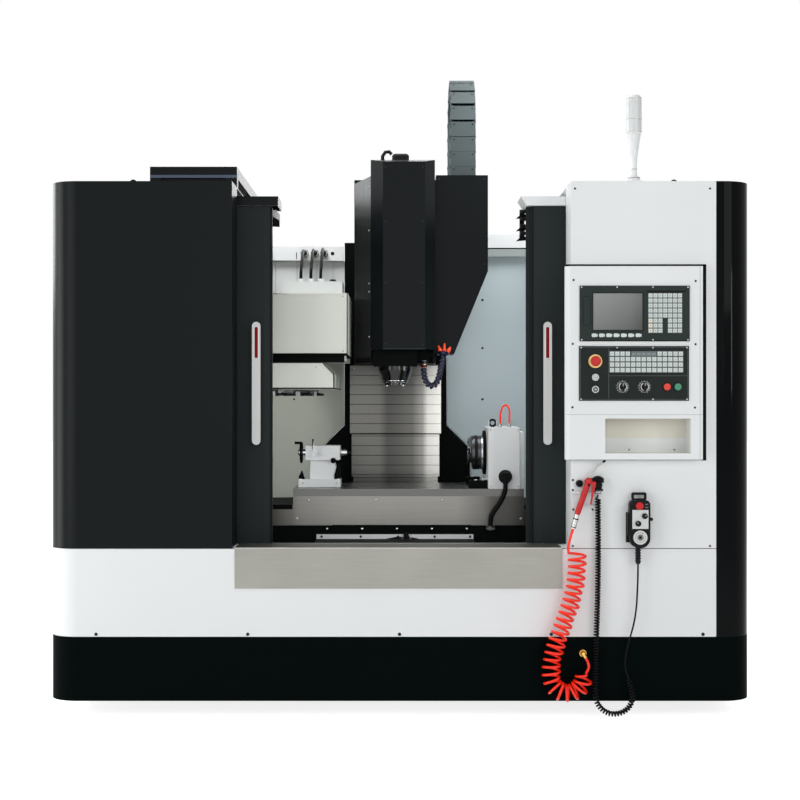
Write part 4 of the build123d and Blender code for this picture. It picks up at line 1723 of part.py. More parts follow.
PENDANT_LEAD = [
    (PENDANT_X - 5, -33.0, PENDANT_RELIEF_Z),
    (PENDANT_X - 5.5, -33.0, 566.0),
    (BRACKET_LEFT + 263, -33.0, 505.0),
    (BRACKET_LEFT + 259, -33.0, 440.0),
    (BRACKET_LEFT + 249, -33.0, 380.0),
    (BRACKET_LEFT + 234, -33.0, 330.0),
    (BRACKET_LEFT + 222, -33.0, 285.0),
    (BRACKET_LEFT + 214, -33.0, 240.0),
    (BRACKET_LEFT + 215, -33.0, 200.0),
    (BRACKET_LEFT + 226, -33.0, 165.0),
]
PENDANT_CURL = [
    (BRACKET_LEFT + 226, -33.0, 165.0),
    (BRACKET_LEFT + 237.6, -33.0, 128.0),
    (BRACKET_LEFT + 246.5, -33.0, 86.0),
    (BRACKET_LEFT + 228, -32.5, 44.6),
    (BRACKET_LEFT + 185.5, -32.0, 23.0),
    (BRACKET_LEFT + 138, -31.0, 28.7),
    (BRACKET_LEFT + 103.3, -30.0, 62.1),
    (BRACKET_LEFT + 95.5, -29.0, 105.0),
    (BRACKET_LEFT + 95, -28.0, 155.0),
    (BRACKET_LEFT + 97.5, -27.0, 212.0),
    (BRACKET_LEFT + 100.5, -26.0, 320.0),
    (BRACKET_LEFT + 105, -25.0, 440.0),
    (BRACKET_LEFT + 108, -24.0, 560.0),
    (BRACKET_LEFT + 109, -23.0, 680.0),
    (CURL_X, CURL_Y, 800.0),
    (CURL_X, CURL_Y, CURL_TOP_Z),
]
ROTARY_CABLE = [
    (BOOT_X, BOOT_Y, BOOT_BOTTOM),
    (BOOT_X, BOOT_Y, BOOT_BOTTOM - 30),
    (BOOT_X - 14, BOOT_Y - 4, BOOT_BOTTOM - 66),
    (BOOT_X - 34, BOOT_Y - 6, BOOT_BOTTOM - 98),
    (BOOT_X - 54, BOOT_Y - 5, BOOT_BOTTOM - 130),
    (CABLE_X, CABLE_END_Y, CABLE_END_Z + 31),
    (CABLE_X, CABLE_END_Y, CABLE_END_Z),
]
ROTARY_LOOP = [
    (LOOP_LEFT_X, LOOP_Y, LOOP_BASE_Z),
    (LOOP_LEFT_X, LOOP_Y, LOOP_BASE_Z + 28),
    (LOOP_LEFT_X + 3, LOOP_Y, LOOP_BASE_Z + 56),
    (LOOP_LEFT_X + 15, LOOP_Y, LOOP_BASE_Z + 82),
    (LOOP_LEFT_X + 35, LOOP_Y, LOOP_BASE_Z + 79),
    (LOOP_RIGHT_X + 2, LOOP_Y, LOOP_BASE_Z + 52),
    (LOOP_RIGHT_X, LOOP_Y, LOOP_BASE_Z + 24),
    (LOOP_RIGHT_X, LOOP_Y, LOOP_BASE_Z),
]


def make_air_lead():
    lead = cord_tube(AIR_LEAD, AIR_HOSE_DIAMETER, "air lead")
    tail = cord_tube(AIR_TAIL, AIR_HOSE_DIAMETER, "air tail")
    coil = make_air_coil()
    return Compound([lead - coil, tail - coil])


def make_air_coil():
    return cord_tube(AIR_COIL, AIR_COIL_DIAMETER, "air coil")


def make_pendant_curl():
    return cord_tube(PENDANT_CURL, PENDANT_CURL_DIAMETER, "pendant curly cord")


def make_pendant_lead():
    return cord_tube(PENDANT_LEAD, PENDANT_LEAD_DIAMETER, "pendant lead")


def make_rotary_cable():
    return cord_tube(ROTARY_CABLE, ROTARY_CABLE_DIAMETER, "rotary cable")


def make_rotary_loop():
    return cord_tube(ROTARY_LOOP, ROTARY_LOOP_DIAMETER, "rotary air loop")


PARTS = {
    "bed": make_bed,
    "levelling_feet": make_levelling_feet,
    "column": make_column,
    "base_skirt": make_base_skirt,
    "front_band": make_front_band,
    "door_sill": make_door_sill,
    "left_cabinet": make_left_cabinet,
    "control_cabinet": make_control_cabinet,
    "corner_cover": make_corner_cover,
    "splash_walls": make_splash_walls,
    "top_rails": make_top_rails,
    "electrical_cabinet": make_electrical_cabinet,
    "console_box": make_console_box,
    "control_panels": make_control_panels,
    "signal_lamp": make_signal_lamp,
    "accessory_bracket": make_accessory_bracket,
    "pendant_body": make_pendant_body,
    "air_gun": make_air_gun,
    "magazine_box": make_magazine_box,
    "z_shield_bottom": make_z_shield_bottom,
    "y_cover_front": make_y_cover_front,
    "air_lead": make_air_lead,
    "air_coil": make_air_coil,
    "pendant_lead": make_pendant_lead,
    "pendant_curly_cord": make_pendant_curl,
    "magazine_cables": make_magazine_cables,
    "left_door": lambda: make_door(LEFT_DOOR_EDGE, -1),
    "left_window": lambda: make_window(LEFT_DOOR_EDGE, -1),
    "left_handle": lambda: make_handle(LEFT_DOOR_EDGE, -1),
    "right_door": lambda: make_door(RIGHT_DOOR_EDGE, 1),
    "right_window": lambda: make_window(RIGHT_DOOR_EDGE, 1),
    "right_handle": lambda: make_handle(RIGHT_DOOR_EDGE, 1),
    "saddle": make_saddle,
    "y_cover_mid": make_y_cover_mid,
    "x_cover_mid": make_x_cover_mid,
    "table": make_table,
    "table_apron": make_table_apron,
    "rotary_housing": make_rotary_housing,
    "rotary_chuck": make_rotary_chuck,
    "rotary_cable": make_rotary_cable,
    "rotary_air_loop": make_rotary_loop,
    "tailstock_body": make_tailstock_body,
    "tailstock_quill": make_tailstock_quill,
    "tailstock_handwheel": make_tailstock_handwheel,
    "headstock": make_headstock,
    "head_cover": make_head_cover,
    "coolant_nozzles": make_coolant_nozzles,
    "spindle": make_spindle,
    "z_shield_top": make_z_shield_top,
    "z_shield_mid": make_z_shield_mid,
    "cable_chain": make_cable_chain,
    "carousel": make_carousel,
    "magazine_hood": make_magazine_hood,
    "console_estop": make_console_estop,
    "feed_knob": lambda: make_knob(FEED_KNOB_X),
    "spindle_knob": lambda: make_knob(SPINDLE_KNOB_X),
    "start_button": lambda: make_button(START_BUTTON_X),
    "stop_button": lambda: make_button(STOP_BUTTON_X),
    "pendant_dial": make_pendant_dial,
    "gun_lever": make_gun_lever,
}

os.makedirs("parts", exist_ok=True)
for name, make in PARTS.items():
    shape = make()
    export_step(Pos(0, SHIFT_Y, 0) * shape, f"parts/{name}.step")
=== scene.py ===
"""The look of a vertical machining centre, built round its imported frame.

Every size is in millimetres, measured from the cabinet fronts, the floor and
the middle of the door opening, unless a name says metres.
"""

import json
import logging
import math
from dataclasses import dataclass
from enum import Enum
from typing import Any, Callable, Sequence

import bmesh
import bpy
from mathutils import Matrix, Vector

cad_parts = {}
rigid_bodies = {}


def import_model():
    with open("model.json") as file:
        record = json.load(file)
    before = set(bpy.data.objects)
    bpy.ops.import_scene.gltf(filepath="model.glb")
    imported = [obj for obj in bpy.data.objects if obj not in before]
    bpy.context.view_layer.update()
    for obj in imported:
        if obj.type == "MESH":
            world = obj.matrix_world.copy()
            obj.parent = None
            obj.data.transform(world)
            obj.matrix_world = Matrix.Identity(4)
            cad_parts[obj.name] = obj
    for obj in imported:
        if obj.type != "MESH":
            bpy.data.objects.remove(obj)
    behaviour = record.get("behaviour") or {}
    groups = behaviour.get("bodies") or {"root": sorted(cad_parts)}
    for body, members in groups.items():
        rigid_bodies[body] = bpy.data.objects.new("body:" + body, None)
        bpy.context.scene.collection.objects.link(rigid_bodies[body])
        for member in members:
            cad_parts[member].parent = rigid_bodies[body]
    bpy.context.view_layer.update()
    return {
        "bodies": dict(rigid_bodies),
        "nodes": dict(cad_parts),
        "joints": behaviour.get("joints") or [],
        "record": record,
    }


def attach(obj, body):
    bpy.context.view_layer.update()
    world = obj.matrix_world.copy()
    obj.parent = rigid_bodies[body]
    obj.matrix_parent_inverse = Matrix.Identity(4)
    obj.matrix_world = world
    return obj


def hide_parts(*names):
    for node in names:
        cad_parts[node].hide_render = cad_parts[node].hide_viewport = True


LOG = logging.getLogger("machining_centre")
FRONT_SHIFT = -1062.5
SMOOTH_ANGLE = math.radians(38.0)
Rgb = tuple[int, int, int]
Point = tuple[float, float, float]
Groups = dict[str, bpy.types.NodeTree]
FaceTest = Callable[[bpy.types.MeshPolygon], bool]
UP: Point = (0.0, 0.0, 1.0)
DOWN: Point = (0.0, 0.0, -1.0)
FRONT: Point = (0.0, -1.0, 0.0)
LEFT: Point = (-1.0, 0.0, 0.0)
ORIGIN: Point = (0.0, 0.0, 0.0)


def place(point: Sequence[float]) -> Vector:
    """Turns millimetres from the cabinet fronts into metres of the row frame."""
    return Vector((point[0], point[1] + FRONT_SHIFT, point[2])) / 1000.0


def tint(colour: Rgb) -> tuple[float, ...]:
    """Turns an 8-bit display colour into linear light.

    Args:
        colour: red, green and blue, 0 to 255.

    Returns:
        The three channels as linear light, and a full alpha.
    """
    shares = [value / 255.0 for value in colour]
    return (*(s / 12.92 if s <= 0.04045 else ((s + 0.055) / 1.055) ** 2.4 for s in shares), 1.0)


# Node groups that several finishes share


class NodeBench:
    """Adds nodes to one tree and links them, left to right."""

    def __init__(self, tree: bpy.types.NodeTree) -> None:
        """Starts on a tree."""
        self.tree = tree
        self.column = 0

    def add(self, kind: str, settings: dict[str, Any] | None = None,
            inputs: dict[str | int, Any] | None = None) -> bpy.types.Node:
        """Adds one node.

        Args:
            kind: the node's type name.
            settings: properties of the node.
            inputs: a value or an output socket for each named input.

        Returns:
            The node.
        """
        node = self.tree.nodes.new(kind)
        node.location = (self.column * 180, 0)
        self.column += 1
        for key, value in (settings or {}).items():
            setattr(node, key, value)
        for key, value in (inputs or {}).items():
            if isinstance(value, bpy.types.NodeSocket):
                self.link(value, node.inputs[key])
            else:
                node.inputs[key].default_value = value
        return node

    def link(self, source: bpy.types.NodeSocket, target: bpy.types.NodeSocket) -> None:
        """Links an output to an input."""
        self.tree.links.new(source, target)

    def out(self, kind: str, settings: dict[str, Any] | None = None,
            inputs: dict[str | int, Any] | None = None) -> bpy.types.NodeSocket:
        """Adds one node and hands on its first output."""
        return self.add(kind, settings, inputs).outputs[0]

    def maths(self, operation: str, *values: Any, clamp: bool = False) -> bpy.types.NodeSocket:
        """Works out one sum of numbers or sockets."""
        return self.out("ShaderNodeMath", {"operation": operation, "use_clamp": clamp}, dict(enumerate(values)))

    def noise(self, where: bpy.types.NodeSocket, scale: Any, detail: float = 2.0) -> bpy.types.NodeSocket:
        """Adds soft clouds of a scale."""
        return self.add("ShaderNodeTexNoise", inputs={"Vector": where, "Scale": scale, "Detail": detail}).outputs["Fac"]

    def spread(self, value: bpy.types.NodeSocket, low: float = 0.0, high: float = 1.0,
               to_low: float = 0.0, to_high: float = 1.0) -> bpy.types.NodeSocket:
        """Stretches a value from one span to another."""
        return self.out("ShaderNodeMapRange", inputs={
            "Value": value, "From Min": low, "From Max": high, "To Min": to_low, "To Max": to_high})

    def here(self) -> bpy.types.NodeSocket:
        """The point in the object's own coordinates."""
        return self.add("ShaderNodeTexCoord").outputs["Object"]


def group_with(name: str, kind: str, given: dict[str, tuple[str, Any]], made: dict[str, str]) -> bpy.types.NodeTree:
    """Makes an empty node group with named sockets.

    Args:
        name: the group's name.
        kind: ShaderNodeTree or GeometryNodeTree.
        given: each input's socket type, and its default or None.
        made: each output's socket type.

    Returns:
        The group.
    """
    tree = bpy.data.node_groups.new(name, kind)
    for label, (sort, default) in given.items():
        socket = tree.interface.new_socket(name=label, in_out="INPUT", socket_type=f"NodeSocket{sort}")
        if default is not None:
            socket.default_value = default
    for label, sort in made.items():
        tree.interface.new_socket(name=label, in_out="OUTPUT", socket_type=f"NodeSocket{sort}")
    return tree


SURFACE = {"Color": "Color", "Roughness": "Float", "Height": "Float"}
MID_GREY = (0.5, 0.5, 0.5, 1.0)
DUST_GREY = (0.42, 0.41, 0.39, 1.0)


def paint_film_group() -> bpy.types.NodeTree:
    """Builds a sprayed or powder-coated film: a slow drift of tone, orange peel, and dust on what faces up.

    Returns:
        A group with Color, Roughness and Height.
    """
    tree = group_with("paint_film", "ShaderNodeTree", {
        "Tone": ("Color", MID_GREY), "Drift": ("Float", 0.05), "Peel": ("Float", 700.0),
        "Base Roughness": ("Float", 0.45), "Dust": ("Float", 0.1)}, SURFACE)
    bench = NodeBench(tree)
    given = bench.add("NodeGroupInput").outputs
    where = bench.here()
    peel = bench.noise(where, given["Peel"])
    specks = bench.noise(where, 60.0, 6.0)
    shade = bench.spread(bench.noise(where, 2.3, 3.0), 0.3, 0.7, -1.0, 1.0)
    amount = bench.maths("MULTIPLY_ADD", shade, given["Drift"], 1.0)
    toned = bench.out("ShaderNodeVectorMath", {"operation": "SCALE"}, {0: given["Tone"], "Scale": amount})
    normal = bench.add("ShaderNodeNewGeometry").outputs["Normal"]
    facing = bench.add("ShaderNodeSeparateXYZ", inputs={0: normal}).outputs["Z"]
    settled = bench.maths("MULTIPLY", bench.spread(facing, 0.6, 1.0), specks)
    dusted = bench.maths("MULTIPLY", settled, given["Dust"])
    colour = bench.add("ShaderNodeMix", {"data_type": "RGBA"}, {0: dusted, 6: toned, 7: DUST_GREY}).outputs[2]
    matt = bench.maths("MULTIPLY_ADD", specks, 0.12, given["Base Roughness"])
    rough = bench.maths("ADD", matt, dusted, clamp=True)
    bench.add("NodeGroupOutput", inputs={"Color": colour, "Roughness": rough, "Height": peel})
    return tree


def metal_grain_group() -> bpy.types.NodeTree:
    """Builds the fine parallel scratches of a brushed or ground surface.

    Returns:
        A group with Color, Roughness and Height.
    """
    tree = group_with("metal_grain", "ShaderNodeTree", {
        "Tone": ("Color", MID_GREY), "Stretch": ("Vector", (4.0, 400.0, 400.0)),
        "Base Roughness": ("Float", 0.3), "Contrast": ("Float", 0.12)}, SURFACE)
    bench = NodeBench(tree)
    given = bench.add("NodeGroupInput").outputs
    where = bench.here()
    along = bench.out("ShaderNodeVectorMath", {"operation": "MULTIPLY"}, {0: where, 1: given["Stretch"]})
    lines = bench.noise(along, 1.0, 4.0)
    both = bench.maths("MULTIPLY_ADD", bench.noise(where, 5.0, 4.0), 0.6, lines)
    swing = bench.spread(both, 0.5, 1.1, -1.0, 1.0)
    amount = bench.maths("MULTIPLY_ADD", swing, given["Contrast"], 1.0)
    toned = bench.out("ShaderNodeVectorMath", {"operation": "SCALE"}, {0: given["Tone"], "Scale": amount})
    rough = bench.maths("MULTIPLY_ADD", swing, 0.06, given["Base Roughness"], clamp=True)
    bench.add("NodeGroupOutput", inputs={"Color": toned, "Roughness": rough, "Height": lines})
    return tree


# Finishes


class Grain(Enum):
    """Which way the scratches of a metal run."""

    ALONG_X = (5.0, 420.0, 420.0)
    ALONG_Z = (420.0, 420.0, 5.0)
    CLOUDY = (60.0, 60.0, 60.0)


@dataclass(frozen=True)
class Finish:
    """One surface finish, as its maker would write it on the drawing."""

    name: str
    tone: Rgb
    roughness: float = 0.45
    gloss: float = 0.3

    def start(self) -> tuple[bpy.types.Material, NodeBench, bpy.types.Node]:
        """Makes the material with its shader.

        Returns:
            The material, a bench on its tree and the shader node.
        """
        material = bpy.data.materials.new(self.name)
        material.use_nodes = True
        material.node_tree.nodes.clear()
        bench = NodeBench(material.node_tree)
        shader = bench.add("ShaderNodeBsdfPrincipled", inputs={
            "Base Color": tint(self.tone), "Roughness": self.roughness, "Specular IOR Level": self.gloss})
        bench.add("ShaderNodeOutputMaterial", inputs={"Surface": shader.outputs[0]})
        return material, bench, shader

    def skin(self, bench: NodeBench, shader: bpy.types.Node, film: bpy.types.Node, strength: float,
             depth: float) -> None:
        """Joins a shared group's colour, roughness and relief to the shader.

        Args:
            bench: the bench on the material's tree.
            shader: the shader node.
            film: the group's node.
            strength: the strength of the relief.
            depth: its depth in metres.
        """
        for name, target in (("Color", "Base Color"), ("Roughness", "Roughness")):
            bench.link(film.outputs[name], shader.inputs[target])
        bump = bench.out("ShaderNodeBump", inputs={
            "Height": film.outputs["Height"], "Strength": strength, "Distance": depth})
        bench.link(bump, shader.inputs["Normal"])

    def material(self, groups: Groups) -> bpy.types.Material:
        """Builds the material; each kind of finish has its own."""
        raise NotImplementedError


@dataclass(frozen=True)
class Coating(Finish):
    """Paint, powder coat or a moulded plastic skin."""

    drift: float = 0.05
    peel: float = 700.0
    peel_depth: float = 0.00012
    dust: float = 0.0
    clear_coat: float = 0.0
    glow: float = 0.0

    def material(self, groups: Groups) -> bpy.types.Material:
        """Builds the coated surface from the shared film.

        Args:
            groups: the shared groups by name.

        Returns:
            The material.
        """
        made, bench, shader = self.start()
        film = bench.add("ShaderNodeGroup", {"node_tree": groups["film"]}, {
            "Tone": tint(self.tone), "Drift": self.drift, "Peel": self.peel,
            "Base Roughness": self.roughness - 0.06, "Dust": self.dust})
        self.skin(bench, shader, film, 0.35, self.peel_depth)
        shader.inputs["Coat Weight"].default_value = self.clear_coat
        shader.inputs["Coat Roughness"].default_value = 0.04
        if self.glow:
            bench.link(film.outputs["Color"], shader.inputs["Emission Color"])
            shader.inputs["Emission Strength"].default_value = self.glow
        return made


@dataclass(frozen=True)
class Metal(Finish):
    """Bare metal with its working marks, and, where it has painted light stops, painted reflection and shade as tone
    stops across the machine.
    """

    grain: Grain = Grain.ALONG_X
    contrast: float = 0.12
    depth: float = 0.00008
    painted_light_stops: tuple[tuple[float, float], ...] = ()

    def material(self, groups: Groups) -> bpy.types.Material:
        """Builds the metal from the shared grain.

        Args:
            groups: the shared groups by name.

        Returns:
            The material.
        """
        made, bench, shader = self.start()
        marks = bench.add("ShaderNodeGroup", {"node_tree": groups["grain"]}, {
            "Tone": tint(self.tone), "Stretch": self.grain.value,
            "Base Roughness": self.roughness, "Contrast": self.contrast})
        # The stops paint reflection and shade into the tone across the machine.
        if self.painted_light_stops:
            bench.link(self.painted_light_tone(bench), marks.inputs["Tone"])
        self.skin(bench, shader, marks, 0.25, self.depth)
        shader.inputs["Metallic"].default_value = 1.0
        return made

    def painted_light_tone(self, bench: NodeBench) -> bpy.types.NodeSocket:
        """Works out the tone from the stops across the machine, which paint reflection and shade into the metal.

        Args:
            bench: the bench on the material's tree.

        Returns:
            The tone at each point.
        """
        left, right = self.painted_light_stops[0][0], self.painted_light_stops[-1][0]
        across = bench.add("ShaderNodeSeparateXYZ", inputs={0: bench.here()}).outputs["X"]
        share = bench.spread(across, left / 1000.0, right / 1000.0)
        ramp = bench.add("ShaderNodeValToRGB", inputs={0: share})
        stops = ramp.color_ramp.elements
        for index, (x, level) in enumerate(self.painted_light_stops):
            stop = stops[index] if index < 2 else stops.new(1.0)
            stop.position = (x - left) / (right - left)
            stop.color = (level, level, level, 1.0)
        return bench.out("ShaderNodeVectorMath", {"operation": "MULTIPLY"}, {
            0: ramp.outputs[0], 1: tint(self.tone)[:3]})


@dataclass(frozen=True)
class Glazing(Finish):
    """Clear or smoked sheet that lets light through."""

    passing: float = 0.9
    density: float = 1.12

    def material(self, groups: Groups) -> bpy.types.Material:
        """Builds the sheet, with faint wipe marks in its gloss.

        Args:
            groups: the shared groups by name.

        Returns:
            The material.
        """
        made, bench, shader = self.start()
        wipe = bench.noise(bench.here(), 9.0, 5.0)
        rough = bench.spread(wipe, to_low=self.roughness, to_high=self.roughness + 0.08)
        bench.link(rough, shader.inputs["Roughness"])
        shader.inputs["Transmission Weight"].default_value = self.passing
        shader.inputs["IOR"].default_value = self.density
        return made


@dataclass(frozen=True)
class Display(Finish):
    """A dark liquid-crystal screen behind glass, with a painted reflection that makes it a little lighter towards its
    upper left.
    """

    low_tone: Rgb = (50, 50, 50)

    def material(self, groups: Groups) -> bpy.types.Material:
        """Builds the screen.

        Args:
            groups: the shared groups by name.

        Returns:
            The material.
        """
        made, bench, shader = self.start()
        parts = bench.add("ShaderNodeSeparateXYZ", inputs={0: bench.here()}).outputs
        # The mix from the darker tone to the lighter one towards the upper left is a painted reflection.
        share = bench.spread(bench.maths("MULTIPLY_ADD", parts["X"], -0.7, parts["Z"]), 0.9, 1.17)
        colour = bench.add("ShaderNodeMix", {"data_type": "RGBA"}, {
            0: share, 6: tint(self.low_tone), 7: tint(self.tone)}).outputs[2]
        bench.link(colour, shader.inputs["Base Color"])
        shader.inputs["Coat Weight"].default_value = 0.6
        shader.inputs["Coat Roughness"].default_value = 0.05
        return made


FINISHES: tuple[Finish, ...] = (
    Coating("black_coat", (8, 13, 15), 0.32, 0.09, dust=0.04, peel=900.0),
    Coating("door_black", (30, 36, 37), 0.45, 0.1, dust=0.04, peel=900.0),
    Coating("deep_black", (4, 6, 6), 0.55, 0.04, dust=0.03),
    Coating("gloss_black", (3, 5, 6), 0.1, 0.03, drift=0.02, peel_depth=0.00002, dust=0.02, clear_coat=0.05),
    Coating("nose_black", (7, 7, 8), 0.2, 0.12, drift=0.02, peel_depth=0.00002, clear_coat=0.5),
    Coating("skirt_black", (4, 9, 9), 0.5, 0.01, dust=0.03, peel=900.0),
    Coating("white_coat", (217, 220, 221), 0.42, 0.25, drift=0.012, dust=0.04),
    Coating("grey_wall", (180, 193, 197), 0.45, 0.2, drift=0.03, dust=0.05),
    Coating("pale_wall", (186, 190, 180), 0.45, 0.2, drift=0.03, dust=0.05),
    Coating("cream_coat", (214, 217, 209), 0.45, 0.2, drift=0.015, dust=0.03),
    Coating("casting", (60, 66, 68), 0.55, 0.3, drift=0.12, peel=240.0, peel_depth=0.0006, dust=0.12),
    Coating("shadow_gap", (6, 6, 7), 0.7, 0.1),
    Coating("panel_film", (34, 43, 41), 0.5, 0.12, drift=0.02),
    Coating("operator_film", (22, 29, 27), 0.5, 0.12, drift=0.02),
    Coating("key_cap", (196, 204, 202), 0.4, 0.35, drift=0.06),
    Coating("key_cream", (222, 212, 196), 0.4, 0.35, drift=0.04),
    Coating("key_legend", (104, 114, 114), 0.5, 0.2),
    Coating("key_base", (150, 158, 156), 0.45, 0.2),
    Coating("button_red", (206, 52, 34), 0.28, 0.3, clear_coat=0.3),
    Coating("pocket_liner", (214, 212, 200), 0.5, 0.3, drift=0.03, dust=0.12),
    Coating("signal_red", (180, 14, 16), 0.28, 0.25, drift=0.03, clear_coat=0.15),
    Coating("signal_green", (14, 120, 82), 0.28, 0.5, clear_coat=0.3),
    Coating("stop_ring", (240, 208, 132), 0.4, 0.4),
    Coating("handle_red", (128, 14, 14), 0.4, 0.1, drift=0.06),
    Coating("nozzle_orange", (250, 84, 40), 0.35, 0.4),
    Coating("hose_blue", (15, 21, 50), 0.2, 0.2, clear_coat=0.25),
    Coating("hose_red", (244, 40, 12), 0.25, 0.25, drift=0.04, clear_coat=0.15),
    Coating("cable_black", (10, 10, 11), 0.45, 0.07, dust=0.01),
    Coating("chain_plastic", (72, 80, 81), 0.5, 0.08, drift=0.06, dust=0.04),
    Coating("bar_white", (212, 214, 216), 0.45, 0.35, drift=0.03, dust=0.12),
    Coating("bellows", (12, 12, 13), 0.6, 0.08, dust=0.04),
    Coating("moulding", (15, 16, 17), 0.45, 0.1, dust=0.02),
    # A lighter strip for the roof frame's top edge, a painted highlight.
    Coating("rail_edge_highlight", (84, 94, 112), 0.45, 0.1),
    Coating("lamp_milk", (196, 200, 200), 0.3, 0.4, clear_coat=0.3, glow=0.03),
    Metal("sill_steel", (131, 130, 124), 0.36),
    # The shield's stops paint its reflection: darker in the middle, bright towards its right edge.
    Metal("shield_steel", (196, 195, 190), 0.3, contrast=0.16, painted_light_stops=(
        (-243.0, 0.19), (-100.0, 0.17), (-60.0, 0.095), (-10.0, 0.115), (60.0, 0.16), (110.0, 0.36), (135.0, 0.8),
        (199.0, 1.0))),
    # The apron's stops paint shade: full tone in the middle, darker towards both ends and darkest at the right.
    Metal("apron_steel", (121, 120, 116), 0.38, painted_light_stops=(
        (-714.0, 0.62), (-470.0, 0.62), (-440.0, 0.8), (-250.0, 1.0), (250.0, 1.0), (360.0, 0.62), (400.0, 0.34),
        (729.0, 0.3))),
    Metal("ground_steel", (104, 105, 103), 0.28, contrast=0.2),
    Metal("bright_steel", (182, 183, 184), 0.16, grain=Grain.CLOUDY, contrast=0.05),
    # A grey metal in place of the shell's black paint on its facet, a painted highlight.
    Metal("facet_black", (88, 90, 90), 0.3, grain=Grain.ALONG_Z, contrast=0.0, depth=0.0),
    Metal("handle_steel", (160, 161, 160), 0.42, grain=Grain.ALONG_Z, contrast=0.06),
    Metal("screw_zinc", (160, 160, 156), 0.32, grain=Grain.CLOUDY, contrast=0.1),
    Metal("screw_black", (40, 41, 42), 0.42, grain=Grain.CLOUDY, contrast=0.1),
    Metal("chuck_steel", (66, 68, 70), 0.26, grain=Grain.CLOUDY, contrast=0.2),
    Metal("nose_steel", (58, 59, 60), 0.12, grain=Grain.CLOUDY, contrast=0.06),
    Metal("edge_steel", (91, 92, 90), 0.36, contrast=0.12),
    Metal("brass", (206, 164, 92), 0.28, grain=Grain.CLOUDY, contrast=0.1),
    Glazing("door_glass", (58, 66, 65), 0.03, 0.02),
    Display("lcd", (124, 127, 126), 0.35, 0.3, low_tone=(52, 54, 54)),
)

NODES_BY_FINISH: dict[str, str] = {
    "casting": "bed",
    "deep_black": "column saddle headstock",
    "black_coat": "left_cabinet top_rails head_cover",
    "gloss_black": "corner_cover",
    "door_black": "left_door right_door",
    "skirt_black": "base_skirt",
    "white_coat": "front_band control_cabinet electrical_cabinet console_box signal_lamp accessory_bracket"
                  " rotary_housing tailstock_body",
    "cream_coat": "magazine_box magazine_hood",
    "grey_wall": "splash_walls",
    "panel_film": "control_panels",
    "moulding": "levelling_feet pendant_body feed_knob spindle_knob",
    "signal_red": "air_gun gun_lever console_estop",
    "button_red": "stop_button",
    "signal_green": "start_button",
    "hose_red": "air_lead air_coil rotary_air_loop",
    "hose_blue": "coolant_nozzles",
    "cable_black": "pendant_lead pendant_curly_cord magazine_cables rotary_cable",
    "chain_plastic": "cable_chain",
    "door_glass": "left_window right_window",
    "handle_steel": "left_handle right_handle pendant_dial",
    "sill_steel": "door_sill",
    "shield_steel": "z_shield_top z_shield_mid z_shield_bottom",
    "apron_steel": "y_cover_front y_cover_mid x_cover_mid table_apron",
    "ground_steel": "table carousel",
    "bright_steel": "tailstock_quill",
    "nose_steel": "spindle",
    "chuck_steel": "rotary_chuck tailstock_handwheel",
}


class FinishShop:
    """Holds every finished material by name."""

    def __init__(self) -> None:
        """Builds the shared groups, then each finish once."""
        groups = {"film": paint_film_group(), "grain": metal_grain_group()}
        self.materials = {finish.name: finish.material(groups) for finish in FINISHES}

    def __getitem__(self, name: str) -> bpy.types.Material:
        """One material."""
        return self.materials[name]

    def dress(self, node: bpy.types.Object, name: str) -> None:
        """Gives a frame node one finish all over.

        Args:
            node: the frame node.
            name: the finish's name.
        """
        node.data.materials.clear()
        node.data.materials.append(self[name])
        for face in node.data.polygons:
            face.material_index = 0


# Meshes under construction


class Axis(Enum):
    """The three directions of the machine."""

    X = 0
    Y = 1
    Z = 2


